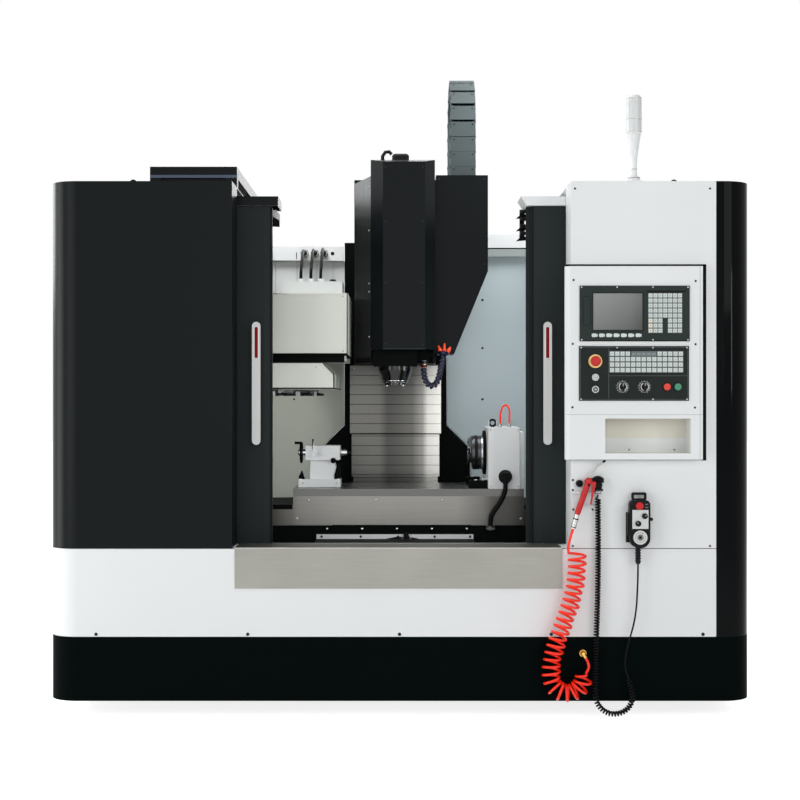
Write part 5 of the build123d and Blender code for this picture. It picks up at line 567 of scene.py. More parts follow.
class Form:
    """A mesh under construction, in millimetres, with a finish for each face."""

    def __init__(self, finish: str, local: bool = False) -> None:
        """Starts an empty form.

        Args:
            finish: the finish of the faces that come first.
            local: true for an item that a pattern repeats, which stands at its own origin.
        """
        self.mesh = bmesh.new()
        self.finishes = [finish]
        self.index = 0
        self.local = local

    def use(self, finish: str) -> "Form":
        """Changes the finish of the faces that follow.

        Args:
            finish: the finish's name.

        Returns:
            The form itself.
        """
        if finish not in self.finishes:
            self.finishes.append(finish)
        self.index = self.finishes.index(finish)
        return self

    def vertex(self, point: Sequence[float]) -> bmesh.types.BMVert:
        """Adds a point."""
        return self.mesh.verts.new(Vector(point) / 1000.0 if self.local else place(point))

    def face(self, corners: Sequence[bmesh.types.BMVert]) -> None:
        """Adds a face in the current finish."""
        self.mesh.faces.new(corners).material_index = self.index

    def block(self, x0: float, x1: float, y0: float, y1: float, z0: float, z1: float) -> "Form":
        """Adds a box between two corners.

        Args:
            x0, x1: left and right.
            y0, y1: front and rear.
            z0, z1: bottom and top.

        Returns:
            The form itself.
        """
        v = [self.vertex((x, y, z)) for x in (x0, x1) for y in (y0, y1) for z in (z0, z1)]
        for loop in ((0, 1, 3, 2), (4, 6, 7, 5), (0, 4, 5, 1), (2, 3, 7, 6), (0, 2, 6, 4), (1, 5, 7, 3)):
            self.face([v[i] for i in loop])
        return self

    def loft(self, rings: Sequence[Sequence[Sequence[float]]], closed: bool = False) -> "Form":
        """Joins rings of points into a skin, with both ends capped unless it is closed on itself.

        Args:
            rings: the rings, each with as many points.
            closed: true where the last ring meets the first.

        Returns:
            The form itself.
        """
        made = [[self.vertex(p) for p in ring] for ring in rings]
        pairs = list(zip(made, made[1:])) + ([(made[-1], made[0])] if closed else [])
        for near, far in pairs:
            for i in range(len(near)):
                j = (i + 1) % len(near)
                self.face([near[i], near[j], far[j], far[i]])
        if not closed:
            self.face(list(reversed(made[0])))
            self.face(made[-1])
        return self

    def prism(self, axis: Axis, outline: Sequence[tuple[float, float]], low: float, high: float) -> "Form":
        """Pushes a flat outline along an axis; the outline's two numbers are the other two axes in order."""
        return self.loft([[(*p[:axis.value], depth, *p[axis.value:]) for p in outline] for depth in (low, high)])

    @staticmethod
    def spokes(way: Vector, sides: int, side: Vector | None = None) -> list[Vector]:
        """Unit steps round a direction, which start at one side of it.

        Args:
            way: the direction, of length one.
            sides: how many sides stand for the circle.
            side: the first step, or None for any.

        Returns:
            The steps.
        """
        side = side or way.orthogonal().normalized()
        other = way.cross(side)
        return [side * math.cos(a) + other * math.sin(a) for a in (2 * math.pi * i / sides for i in range(sides))]

    def turned(self, start: Sequence[float], axis: Vector | Sequence[float], profile: Sequence[tuple[float, float]],
               sides: int = 40) -> "Form":
        """Turns a profile of (distance along, radius) about an axis through a point.

        Args:
            start: the point at nought along.
            axis: the direction.
            profile: pairs of distance along and radius.
            sides: how many sides stand for the circle.

        Returns:
            The form itself.
        """
        way = Vector(axis).normalized()
        spokes = self.spokes(way, sides)
        return self.loft([[Vector(start) + way * along + spoke * radius for spoke in spokes]
                          for along, radius in profile])

    def rod(self, start: Sequence[float], end: Sequence[float], radius: float, sides: int = 32,
            lip: float = 0.0) -> "Form":
        """Adds a round bar, its ends eased by a lip.

        Args:
            start: one end.
            end: the other end.
            radius: its radius.
            sides: how many sides stand for the circle.
            lip: how much each end is eased.

        Returns:
            The form itself.
        """
        way = Vector(end) - Vector(start)
        length = way.length
        profile = [(0, radius), (length, radius)]
        if lip:
            profile = [(0, radius - lip), (lip, radius), (length - lip, radius), (length, radius - lip)]
        return self.turned(start, way, profile, sides)

    def ring(self, centre: Sequence[float], axis: Sequence[float], inner: float, outer: float, thick: float,
             sides: int = 48) -> "Form":
        """Adds a flat ring that starts at a point and is thick along the axis.

        Args:
            centre: the middle of the near face.
            axis: the direction.
            inner: the hole's radius.
            outer: the outer radius.
            thick: the thickness along the axis.
            sides: how many sides stand for the circle.

        Returns:
            The form itself.
        """
        way = Vector(axis).normalized()
        spokes = self.spokes(way, sides)
        return self.loft([[Vector(centre) + way * along + spoke * radius for spoke in spokes]
                          for along, radius in ((0, inner), (0, outer), (thick, outer), (thick, inner))], closed=True)

    def bar(self, line: Sequence[Sequence[float]], radius: float, sides: int = 12) -> "Form":
        """Adds a round bar along a line of points.

        Args:
            line: the points that it follows.
            radius: its radius.
            sides: how many sides stand for the circle.

        Returns:
            The form itself.
        """
        points = [Vector(p) for p in line]
        rings = []
        side = None
        for i, point in enumerate(points):
            way = (points[min(i + 1, len(points) - 1)] - points[max(i - 1, 0)]).normalized()
            side = (side - way * side.dot(way)).normalized() if side else way.orthogonal().normalized()
            rings.append([point + spoke * radius for spoke in self.spokes(way, sides, side)])
        return self.loft(rings)

    def ribbon(self, path: Sequence[tuple[float, float]], z0: float, z1: float, proud: float, deep: float) -> "Form":
        """Lays a strip along a plan line, standing proud to the line's right and reaching in to its left.

        Args:
            path: the plan's points.
            z0: the bottom.
            z1: the top.
            proud: how far it stands out.
            deep: how far it reaches in.

        Returns:
            The form itself.
        """
        rings = []
        for i, point in enumerate(path):
            before, after = Vector(path[max(i - 1, 0)]), Vector(path[min(i + 1, len(path) - 1)])
            way = (after - before).normalized()
            out = Vector((-way.y, way.x)) * -1.0
            near, far = Vector(point) + out * proud, Vector(point) - out * deep
            rings.append([(near.x, near.y, z0), (near.x, near.y, z1), (far.x, far.y, z1), (far.x, far.y, z0)])
        return self.loft(rings)

    def rounded_plate(self, x0: float, x1: float, y0: float, y1: float, z0: float, z1: float, radius: float) -> "Form":
        """Adds an upright plate facing the front whose four corners are round.

        Args:
            x0, x1: left and right.
            y0, y1: front and rear.
            z0, z1: bottom and top.
            radius: the corners' radius.

        Returns:
            The form itself.
        """
        outline = []
        for cx, cz, turn in ((x1 - radius, z1 - radius, 0), (x0 + radius, z1 - radius, 1),
                             (x0 + radius, z0 + radius, 2), (x1 - radius, z0 + radius, 3)):
            for k in range(6):
                a = math.pi / 2 * (turn + k / 5)
                outline.append((cx + radius * math.cos(a), cz + radius * math.sin(a)))
        return self.prism(Axis.Y, outline, y0, y1)

    def data(self, name: str) -> bpy.types.Mesh:
        """Closes the form into a mesh with its faces outwards.

        Args:
            name: the mesh's name.

        Returns:
            The mesh, without materials.
        """
        bmesh.ops.recalc_face_normals(self.mesh, faces=self.mesh.faces)
        made = bpy.data.meshes.new(name)
        self.mesh.to_mesh(made)
        self.mesh.free()
        made.shade_smooth()
        made.set_sharp_from_angle(angle=SMOOTH_ANGLE)
        return made


# Repeating patterns


class Pattern(Enum):
    """The ways in which an item is repeated."""

    ON_POINTS = "items_on_points"
    RING_IN_PLAN = "items_round_a_ring"
    CHAIN_UPRIGHT = "items_along_a_chain"
    HOSE_ACROSS = "items_along_a_hose"


class Facing(Enum):
    """The turn that points an item's own Z the given way."""

    FRONT = (math.pi / 2, 0.0, 0.0)
    REAR = (-math.pi / 2, 0.0, 0.0)
    UP = (0.0, 0.0, 0.0)
    DOWN = (math.pi, 0.0, 0.0)
    LEFT = (0.0, -math.pi / 2, 0.0)


class PatternShop:
    """Builds the geometry trees and grows meshes with them."""

    FOLLOW = {
        Pattern.RING_IN_PLAN: ("X", "Z"),
        Pattern.CHAIN_UPRIGHT: ("Z", "X"),
        Pattern.HOSE_ACROSS: ("Z", "Y"),
    }

    def __init__(self, finishes: FinishShop) -> None:
        """Builds each tree once."""
        self.finishes = finishes
        self.trees = {pattern: self.tree(pattern) for pattern in Pattern}

    def tree(self, pattern: Pattern) -> bpy.types.NodeTree:
        """Builds the tree of one pattern.

        Args:
            pattern: how the items are set out.

        Returns:
            A geometry tree that ends in real faces with their finish.
        """
        tree = group_with(pattern.value, "GeometryNodeTree", {
            "Geometry": ("Geometry", None), "Item": ("Object", None), "Count": ("Int", 8),
            "Turn": ("Vector", ORIGIN), "Finish": ("Material", None)}, {"Geometry": "Geometry"})
        bench = NodeBench(tree)
        given = bench.add("NodeGroupInput").outputs
        item = bench.add("GeometryNodeObjectInfo", inputs={"Object": given["Item"], "As Instance": True})
        points, turn = given["Geometry"], given["Turn"]
        if pattern in self.FOLLOW:
            line = bench.out("GeometryNodeMeshToCurve", inputs={"Mesh": points})
            points = bench.out("GeometryNodeResampleCurve", inputs={"Curve": line, "Count": given["Count"]})
            follow, pivot = self.FOLLOW[pattern]
            turn = bench.out("FunctionNodeAlignRotationToVector", {"axis": follow, "pivot_axis": pivot},
                             {"Vector": bench.out("GeometryNodeInputTangent")})
        placed = bench.out("GeometryNodeInstanceOnPoints", inputs={
            "Points": points, "Instance": item.outputs["Geometry"], "Rotation": turn})
        real = bench.out("GeometryNodeRealizeInstances", inputs={"Geometry": placed})
        painted = bench.out("GeometryNodeSetMaterial", inputs={"Geometry": real, "Material": given["Finish"]})
        bench.add("NodeGroupOutput", inputs={0: painted})
        return tree

    def grow(self, pattern: Pattern, item: Form, finish: str, points: Sequence[Point], count: int = 0,
             turn: Point = ORIGIN, closed: bool = False) -> bpy.types.Mesh:
        """Repeats an item and returns the plain mesh.

        Args:
            pattern: how the items are set out.
            item: the form that is repeated.
            finish: the finish of all of it.
            points: the points, or the line that the items follow, in millimetres.
            count: how many items along the line.
            turn: the turn of every item on points, in radians.
            closed: true where the line runs back to its start.

        Returns:
            One mesh of real faces in the row frame.
        """
        made = item.data("item")
        model = bpy.data.objects.new("item", made)
        bpy.context.scene.collection.objects.link(model)
        base = bpy.data.meshes.new("base")
        edges = [(i, i + 1) for i in range(len(points) - 1)] if pattern in self.FOLLOW else []
        if closed:
            edges.append((len(points) - 1, 0))
        base.from_pydata([place(p) for p in points], edges, [])
        carrier = bpy.data.objects.new("carrier", base)
        bpy.context.scene.collection.objects.link(carrier)
        modifier = carrier.modifiers.new("pattern", "NODES")
        modifier.node_group = self.trees[pattern]
        values = {"Item": model, "Count": count, "Turn": turn, "Finish": self.finishes[finish]}
        for socket in modifier.node_group.interface.items_tree:
            if socket.in_out == "INPUT" and socket.name in values:
                modifier[socket.identifier] = values[socket.name]
        bpy.context.view_layer.update()
        result = bpy.data.meshes.new_from_object(carrier.evaluated_get(bpy.context.evaluated_depsgraph_get()))
        for spent in (carrier, model):
            bpy.data.objects.remove(spent)
        return result


# The workshop that every sub-assembly shares


class Workshop:
    """The frame, the finishes and the patterns."""

    def __init__(self, frame: dict[str, Any]) -> None:
        """Takes the loaded frame and dresses its nodes.
        """
        self.nodes: dict[str, bpy.types.Object] = frame["nodes"]
        self.finishes = FinishShop()
        self.patterns = PatternShop(self.finishes)
        for finish, names in NODES_BY_FINISH.items():
            for name in names.split():
                self.finishes.dress(self.nodes[name], finish)


def row(x0: float, x1: float, count: int, y: float, z: float) -> list[Point]:
    """Evenly spaced points across the machine."""
    return [(x0 + (x1 - x0) * i / (count - 1), y, z) for i in range(count)]


def circle(x: float, y: float, z: float, radius: float, axis: Axis, count: int = 48) -> list[Point]:
    """Points round a circle about an axis.

    Args:
        x: the middle's place across.
        y: its depth.
        z: its height.
        radius: its radius.
        axis: the axis that the circle turns about.
        count: how many.

    Returns:
        The points in order.
    """
    made = []
    for i in range(count):
        a = 2 * math.pi * i / count
        step = [radius * math.cos(a), radius * math.sin(a)]
        step.insert(axis.value, 0.0)
        made.append((x + step[0], y + step[1], z + step[2]))
    return made


# Studio


WHITE = (1.0, 1.0, 1.0, 1.0)


@dataclass(frozen=True)
class Lamp:
    """One soft flat lamp; its width and height are in metres and its power in watts."""

    name: str
    where: Point
    target: Point
    width: float
    height: float
    power: float

    def hang(self) -> None:
        """Hangs the lamp and turns it to its target."""
        light = bpy.data.lights.new(self.name, "AREA")
        light.shape = "RECTANGLE"
        light.size = self.width
        light.size_y = self.height
        light.energy = self.power
        holder = bpy.data.objects.new(self.name, light)
        holder.location = place(self.where)
        holder.rotation_euler = (place(self.target) - place(self.where)).to_track_quat("-Z", "Y").to_euler()
        holder.visible_camera = False
        bpy.context.scene.collection.objects.link(holder)


LAMPS = (
    Lamp("key_left", (-3945, -3660, 1900), (-300, 0, 1300), 2.2, 3.4, 74.0),
    Lamp("key_right", (3900, -4800, 3300), (200, 300, 1200), 2.8, 2.8, 70.0),
    Lamp("front_fill", (0, -6800, 2400), (0, 500, 1200), 4.0, 4.0, 62.0),
    Lamp("overhead", (0, 400, 5200), (0, 700, 1000), 3.0, 3.0, 110.0),
    Lamp("rim_left", (-4400, 3000, 3200), (-170, 850, 2000), 2.4, 2.4, 96.0),
    Lamp("rear_fill", (1500, 6800, 3800), (0, 900, 1300), 3.4, 3.4, 90.0),
    Lamp("work_zone_left", (-900, 350, 1080), (-420, 1366, 1200), 0.36, 0.36, 2.2),
    Lamp("work_zone_right", (900, 350, 1500), (560, 1366, 1450), 0.4, 0.4, 4.0),
    Lamp("beam_wash_left", (-640, 760, 2900), (-620, 1336, 2030), 0.6, 0.6, 15.0),
    Lamp("beam_wash_right", (820, 760, 2900), (720, 1336, 2050), 0.5, 0.5, 11.0),
    Lamp("corner_strip", (-5200, -250, 1500), (-1380, 0, 1450), 2.0, 3.2, 110.0),
    Lamp("column_strip_near", (2350, -3865, 1720), (1300, 0, 1540), 0.12, 0.8, 8.0),
    Lamp("column_strip_far", (4060, -2900, 1720), (1330, 0, 1540), 0.25, 0.8, 10.0),
)


@dataclass
class Studio:
    """The floor, the light and the camera."""

    camera_height: float = 1274.0
    camera_distance: float = 6000.0
    lens: float = 67.5
    world_strength: float = 0.34

    def build(self) -> None:
        """Sets up the whole studio."""
        scene = bpy.context.scene
        scene.view_settings.view_transform = "Standard"
        camera = bpy.data.cameras.new("camera")
        camera.lens = self.lens
        camera.sensor_width = 36.0
        camera.clip_end = 200.0
        holder = bpy.data.objects.new("camera", camera)
        holder.location = place((0.0, -self.camera_distance, self.camera_height))
        holder.rotation_euler = (math.pi / 2, 0.0, 0.0)
        scene.collection.objects.link(holder)
        scene.camera = holder
        self.surroundings()
        self.floor()
        for lamp in LAMPS:
            lamp.hang()

    def surroundings(self) -> None:
        """A plain world that looks white to the camera and softer to the object."""
        world = bpy.data.worlds.new("studio")
        bpy.context.scene.world = world
        world.use_nodes = True
        world.node_tree.nodes.clear()
        bench = NodeBench(world.node_tree)
        power = bench.spread(self.seen_rays(bench), to_low=self.world_strength)
        light = bench.add("ShaderNodeBackground", inputs={"Color": WHITE, "Strength": power})
        bench.add("ShaderNodeOutputWorld", inputs={"Surface": light.outputs[0]})

    def floor(self) -> None:
        """A pale floor that keeps a soft shadow."""
        form = Form("white_coat").block(-30000, 30000, -20000, 40000, -20, 0)
        floor = bpy.data.objects.new("floor", form.data("floor"))
        material = bpy.data.materials.new("studio_floor")
        material.use_nodes = True
        material.node_tree.nodes.clear()
        bench = NodeBench(material.node_tree)
        shade = bench.spread(bench.noise(bench.here(), 1.5), to_low=0.88, to_high=0.92)
        matt = bench.add("ShaderNodeBsdfDiffuse", inputs={"Color": shade})
        seen = bench.maths("MULTIPLY", self.seen_rays(bench), 0.8)
        glow = bench.add("ShaderNodeEmission", inputs={"Color": WHITE, "Strength": seen})
        both = bench.add("ShaderNodeAddShader", inputs={0: matt.outputs[0], 1: glow.outputs[0]})
        bench.add("ShaderNodeOutputMaterial", inputs={"Surface": both.outputs[0]})
        floor.data.materials.append(material)
        bpy.context.scene.collection.objects.link(floor)

    @staticmethod
    def seen_rays(bench: NodeBench) -> bpy.types.NodeSocket:
        """Tells the rays that a viewer sees, straight, through glass or mirrored, from those that only light.

        Args:
            bench: the bench of the tree.

        Returns:
            One for a seen ray and nought for the others.
        """
        path = bench.add("ShaderNodeLightPath").outputs
        direct = bench.maths("MAXIMUM", path["Is Camera Ray"], path["Is Transmission Ray"])
        return bench.maths("MAXIMUM", direct, path["Is Glossy Ray"])


# The machine's sub-assemblies


def looks_front(face: bpy.types.MeshPolygon) -> bool:
    """True for a face that looks at the operator."""
    return face.normal.y < -0.7


@dataclass
class Assembly:
    """One part of the machine's look, with the calls that put a piece on its body."""

    shop: Workshop

    def stand(self, name: str, data: bpy.types.ID, body: str, slot: str,
              replaces: Sequence[str] = ()) -> bpy.types.Object:
        """Puts finished data on its body.

        Args:
            name: the piece's name.
            data: its mesh or curve.
            body: the body that it moves with.
            slot: not used.
            replaces: the frame nodes that it stands for.

        Returns:
            The piece.
        """
        piece = bpy.data.objects.new(name, data)
        bpy.context.scene.collection.objects.link(piece)
        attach(piece, body)
        if replaces:
            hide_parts(*replaces)
        LOG.info("%s rides on %s", name, body)
        return piece

    def fit(self, name: str, form: Form, body: str, slot: str, bevel: float = 0.0,
            replaces: Sequence[str] = ()) -> bpy.types.Object:
        """Closes a form and puts it on its body, its edges eased by bevel millimetres.

        Args:
            name: its name.
            form: the form.
            body: the body that it rides on.
            slot: the record's slot.
            bevel: how much its edges are eased.
            replaces: the frame nodes it stands for.

        Returns:
            The piece.
        """
        data = form.data(name)
        for finish in form.finishes:
            data.materials.append(self.shop.finishes[finish])
        piece = self.stand(name, data, body, slot, replaces)
        if bevel:
            edge = piece.modifiers.new("eased_edges", "BEVEL")
            edge.width = bevel / 1000.0
            edge.segments = 2
            edge.limit_method = "ANGLE"
            edge.angle_limit = SMOOTH_ANGLE
            edge.harden_normals = True
        return piece

    def pattern(self, name: str, body: str, slot: str, pattern: Pattern, item: Form, finish: str,
                points: Sequence[Point], **sizes: Any) -> bpy.types.Object:
        """Repeats an item and puts the result on its body.

        Args:
            name: its name.
            body: the body that it rides on.
            slot: the record's slot.
            pattern: how the items are set out.
            item: the form that is repeated.
            finish: the finish's name.
            points: the points.
            sizes: the sizes that the pattern needs.

        Returns:
            The piece.
        """
        data = self.shop.patterns.grow(pattern, item, finish, points, **sizes)
        data.name = name
        return self.stand(name, data, body, slot)

    def zone(self, name: str, finish: str, low: Point, high: Point,
             test: FaceTest = lambda face: True) -> None:
        """Gives the faces of a node inside a box another finish.

        Args:
            name: the frame node.
            finish: the finish's name.
            low: the box's lowest corner, in millimetres.
            high: its highest corner.
            test: an extra test of each face.
        """
        data = self.shop.nodes[name].data
        data.materials.append(self.shop.finishes[finish])
        index = len(data.materials) - 1
        first, last = place(low), place(high)
        for face in data.polygons:
            centre = face.center
            if all(first[k] <= centre[k] <= last[k] for k in range(3)) and test(face):
                face.material_index = index

    def screws(self, name: str, body: str, finish: str, radius: float, points: Sequence[Point],
               facing: Facing = Facing.FRONT) -> None:
        """Sets button-head socket screws on a face.

        Args:
            name: the piece's name.
            body: the body that carries them.
            finish: their finish.
            radius: the head's radius.
            points: where they stand, on the face itself.
            facing: the way that the heads look.
        """
        item = Form(finish, local=True).turned(ORIGIN, UP, [
            (-1.0, radius * 0.9), (0.0, radius), (radius * 0.28, radius * 0.94), (radius * 0.5, radius * 0.62),
            (radius * 0.5, radius * 0.42), (radius * 0.16, radius * 0.4)], 12)
        self.pattern(name, body, "ground_steel", Pattern.ON_POINTS, item, finish, points, turn=facing.value)


@dataclass
class Enclosure(Assembly):
    """The sheet-metal skin: skirt, band, cabinets and the joints between them."""

    half_width: float = 1412.0
    depth: float = 1560.0
    corner: float = 115.0
    seam_x: float = 1266.0
    skirt_top: float = 326.0
    band_top: float = 680.0
    roof: float = 2150.0
    console_right: float = 1203.0

    def skin_path(self) -> list[tuple[float, float]]:
        """The plan of the skin, from the left rear round the left corner to the right seam.

        Returns:
            The plan's points.
        """
        path = [(-self.half_width, self.depth), (-self.half_width, self.corner)]
        for k in range(1, 12):
            a = math.pi + math.pi / 2 * k / 12
            path.append((-self.half_width + self.corner * (1 + math.cos(a)), self.corner * (1 + math.sin(a))))
        return path + [(-self.half_width + self.corner, 0.0), (self.seam_x, 0.0)]

    def build(self) -> None:
        """Adds the skin's joint lines, painted shadow round the console, screws and roof fittings, and colours the
        walls inside.
        """
        path = self.skin_path()
        seams_and_shade = Form("shadow_gap")
        for z in (self.skirt_top, self.band_top):
            seams_and_shade.ribbon(path, z - 1.4, z + 1.0, 0.4, 0.6)
        seams_and_shade.block(self.seam_x - 1.2, self.seam_x + 1.2, -0.4, 0.6, self.skirt_top, self.roof)
        # The strips round the console's right side, top and bottom are painted shadow in the gap between the console
        # and the cabinet.
        right = self.console_right
        seams_and_shade.block(right + 0.5, right + 22, -0.8, 0.4, 1032, 1817).block(664, right + 22, -0.8, 0.4, 1806.5, 1817)
        seams_and_shade.block(676, right, -0.6, 0.4, 1033.5, 1036.8)
        self.fit("skin_seams", seams_and_shade, "frame", "black_paint")
        self.screws("band_screws", "frame", "screw_black", 7.0, row(-1216, 1212, 5, 0, 337))
        self.screws("panel_screws", "frame", "screw_black", 4.5,
                    [(691, 0, 690), (691, 0, 1040), (1240, 0, 690), (1240, 0, 2120), (700, 0, 2120)])
        roof = Form("moulding")
        for x, y in ((-1120, 300), (-1120, 1300), (1150, 300), (1150, 1300)):
            roof.turned((x, y, self.roof), UP, [(0, 22), (6, 22), (8, 12), (20, 12), (22, 10)], 24)
            roof.ring((x, y - 4, self.roof + 34), (0, 1, 0), 9, 16, 8, 28)
        roof.block(-1290, -1160, 700, 1000, self.roof, self.roof + 22)
        self.fit("roof_fittings", roof, "frame", "dark_plastic", 1.5)
        # The lighter strip on the roof frame's top edge is a painted highlight.
        rail = Form("rail_edge_highlight").block(-1030, -674, 184.0, 185.4, 2190, 2202)
        rail.use("black_coat").block(-1000, -702, 200, 203, self.roof, 2191)
        self.fit("roof_rail_lip", rail, "frame", "black_paint")
        folds = Form("white_coat").prism(Axis.Y, [(-540, 2071), (-520, 2071), (-504, 2052), (-504, 2024), (-540, 2046)],
                                         296, 300)
        folds.use("bellows").prism(Axis.Y, [(-540, 2048), (-505, 2026), (-505, 2000), (-540, 2002)], 290, 296)
        for z in (2054, 2002, 1960):
            folds.prism(Axis.Y, [(486, z - 20), (508, z), (530, z), (530, z - 16)], 292, 300)
        self.fit("way_cover_folds", folds, "frame", "black_rubber")
        slat = Form("deep_black", local=True).block(-1.6, 1.6, -60, 60, -3, 3)
        vents = [(side * self.half_width, 1100 + 150 * c, 1500 + 16 * r)
                 for side in (-1, 1) for c in range(2) for r in range(9)]
        self.pattern("side_vents", "frame", "dark_plastic", Pattern.ON_POINTS, slat, "deep_black", vents)
        self.zone("base_skirt", "brass", (700, -40, 240), (760, -0.5, 290))
        self.zone("splash_walls", "pale_wall", (-1070, 100, 400), (-22, 1400, 2030))
        self.zone("splash_walls", "white_coat", (-1070, 1330, 1955), (1070, 1372, 2090))
        self.zone("top_rails", "white_coat", (480, 180, 2060), (740, 380, 2160))
        self.zone("top_rails", "pale_wall", (-720, 180, 2070), (-500, 380, 2112), lambda face: face.normal.z < -0.7)
        self.zone("top_rails", "bellows", (500, 240, 1940), (530, 350, 2074))
        self.zone("left_cabinet", "white_coat", (-1420, 1500, 670), (-600, 1570, 2160))


@dataclass
class RearWalls(Assembly):
    """Fasteners, glands and edges on the walls of the work space."""

    beam_y: float = 1336.0
    wall_y: float = 1366.0
    gland_z: float = 1990.0

    def build(self) -> None:
        """Adds the visible fasteners."""
        self.screws("wall_screws", "frame", "screw_black", 6.0,
                    [(x, self.wall_y, z) for x in (405, 900) for z in (1278, 1529, 1765, 1940)])
        self.screws("left_wall_screws", "frame", "screw_black", 5.0,
                    [(x, self.wall_y, z) for x in (-960, -520) for z in (1278, 1529, 1765)])
        holes_and_shade = Form("shadow_gap")
        for x in (-330, 750, 890, 1010):
            holes_and_shade.turned((x, self.beam_y + 1, self.gland_z if x < 0 else 2049), FRONT, [(0, 9), (1.3, 9)], 20)
        holes_and_shade.block(-508, -504, self.beam_y - 0.6, self.beam_y + 0.4, 1962, 1996)
        # A painted shadow line under the right beam, and below it a grey band of painted shade.
        holes_and_shade.block(232, 1060, self.beam_y - 1.2, self.beam_y + 0.5, 2012, 2018)
        holes_and_shade.use("key_base").block(232, 1040, self.beam_y - 0.8, self.beam_y + 2, 1976, 2012)
        holes_and_shade.use("cable_black").prism(Axis.Y, [(-478, 1998), (-456, 1998), (-456, 1986), (-467, 1974), (-478, 1986)],
                                       self.beam_y - 1.0, self.beam_y)
        self.fit("beam_holes", holes_and_shade, "frame", "black_paint")
        panels = Form("white_coat")
        for x0, x1 in ((-1058, -700), (-697, -612), (-609, -507), (-503, -410), (-407, -330), (-327, -268)):
            panels.block(x0, x1, self.wall_y - 3, self.wall_y + 0.5, 1760, 1954)
        self.fit("rear_panels", panels, "frame", "white_paint", 1.0)
        glands = Form("moulding")
        for x in (-466, -416, -371):
            glands.turned((x, self.beam_y, self.gland_z), FRONT, [(0, 21), (9, 21)], 6)
            glands.turned((x, self.beam_y - 9, self.gland_z), FRONT, [(0, 17.5), (9, 17.5), (14, 12), (22, 8.5)], 24)
        self.fit("cable_glands", glands, "frame", "dark_plastic", 0.6)
        trim = Form("screw_zinc")
        for x0, x1 in ((-1060, -276), (232, 1060)):
            trim.block(x0, x1, self.beam_y - 1.0, self.beam_y + 0.5, 1954 if x0 < 0 else 2013, 1957 if x0 < 0 else 2016)
        trim.block(1056, 1059.6, 240, 1330, 1996, 2001).block(-1059.6, -1056, 240, 1330, 1996, 2001)
        self.fit("wall_trims", trim, "frame", "ground_steel")


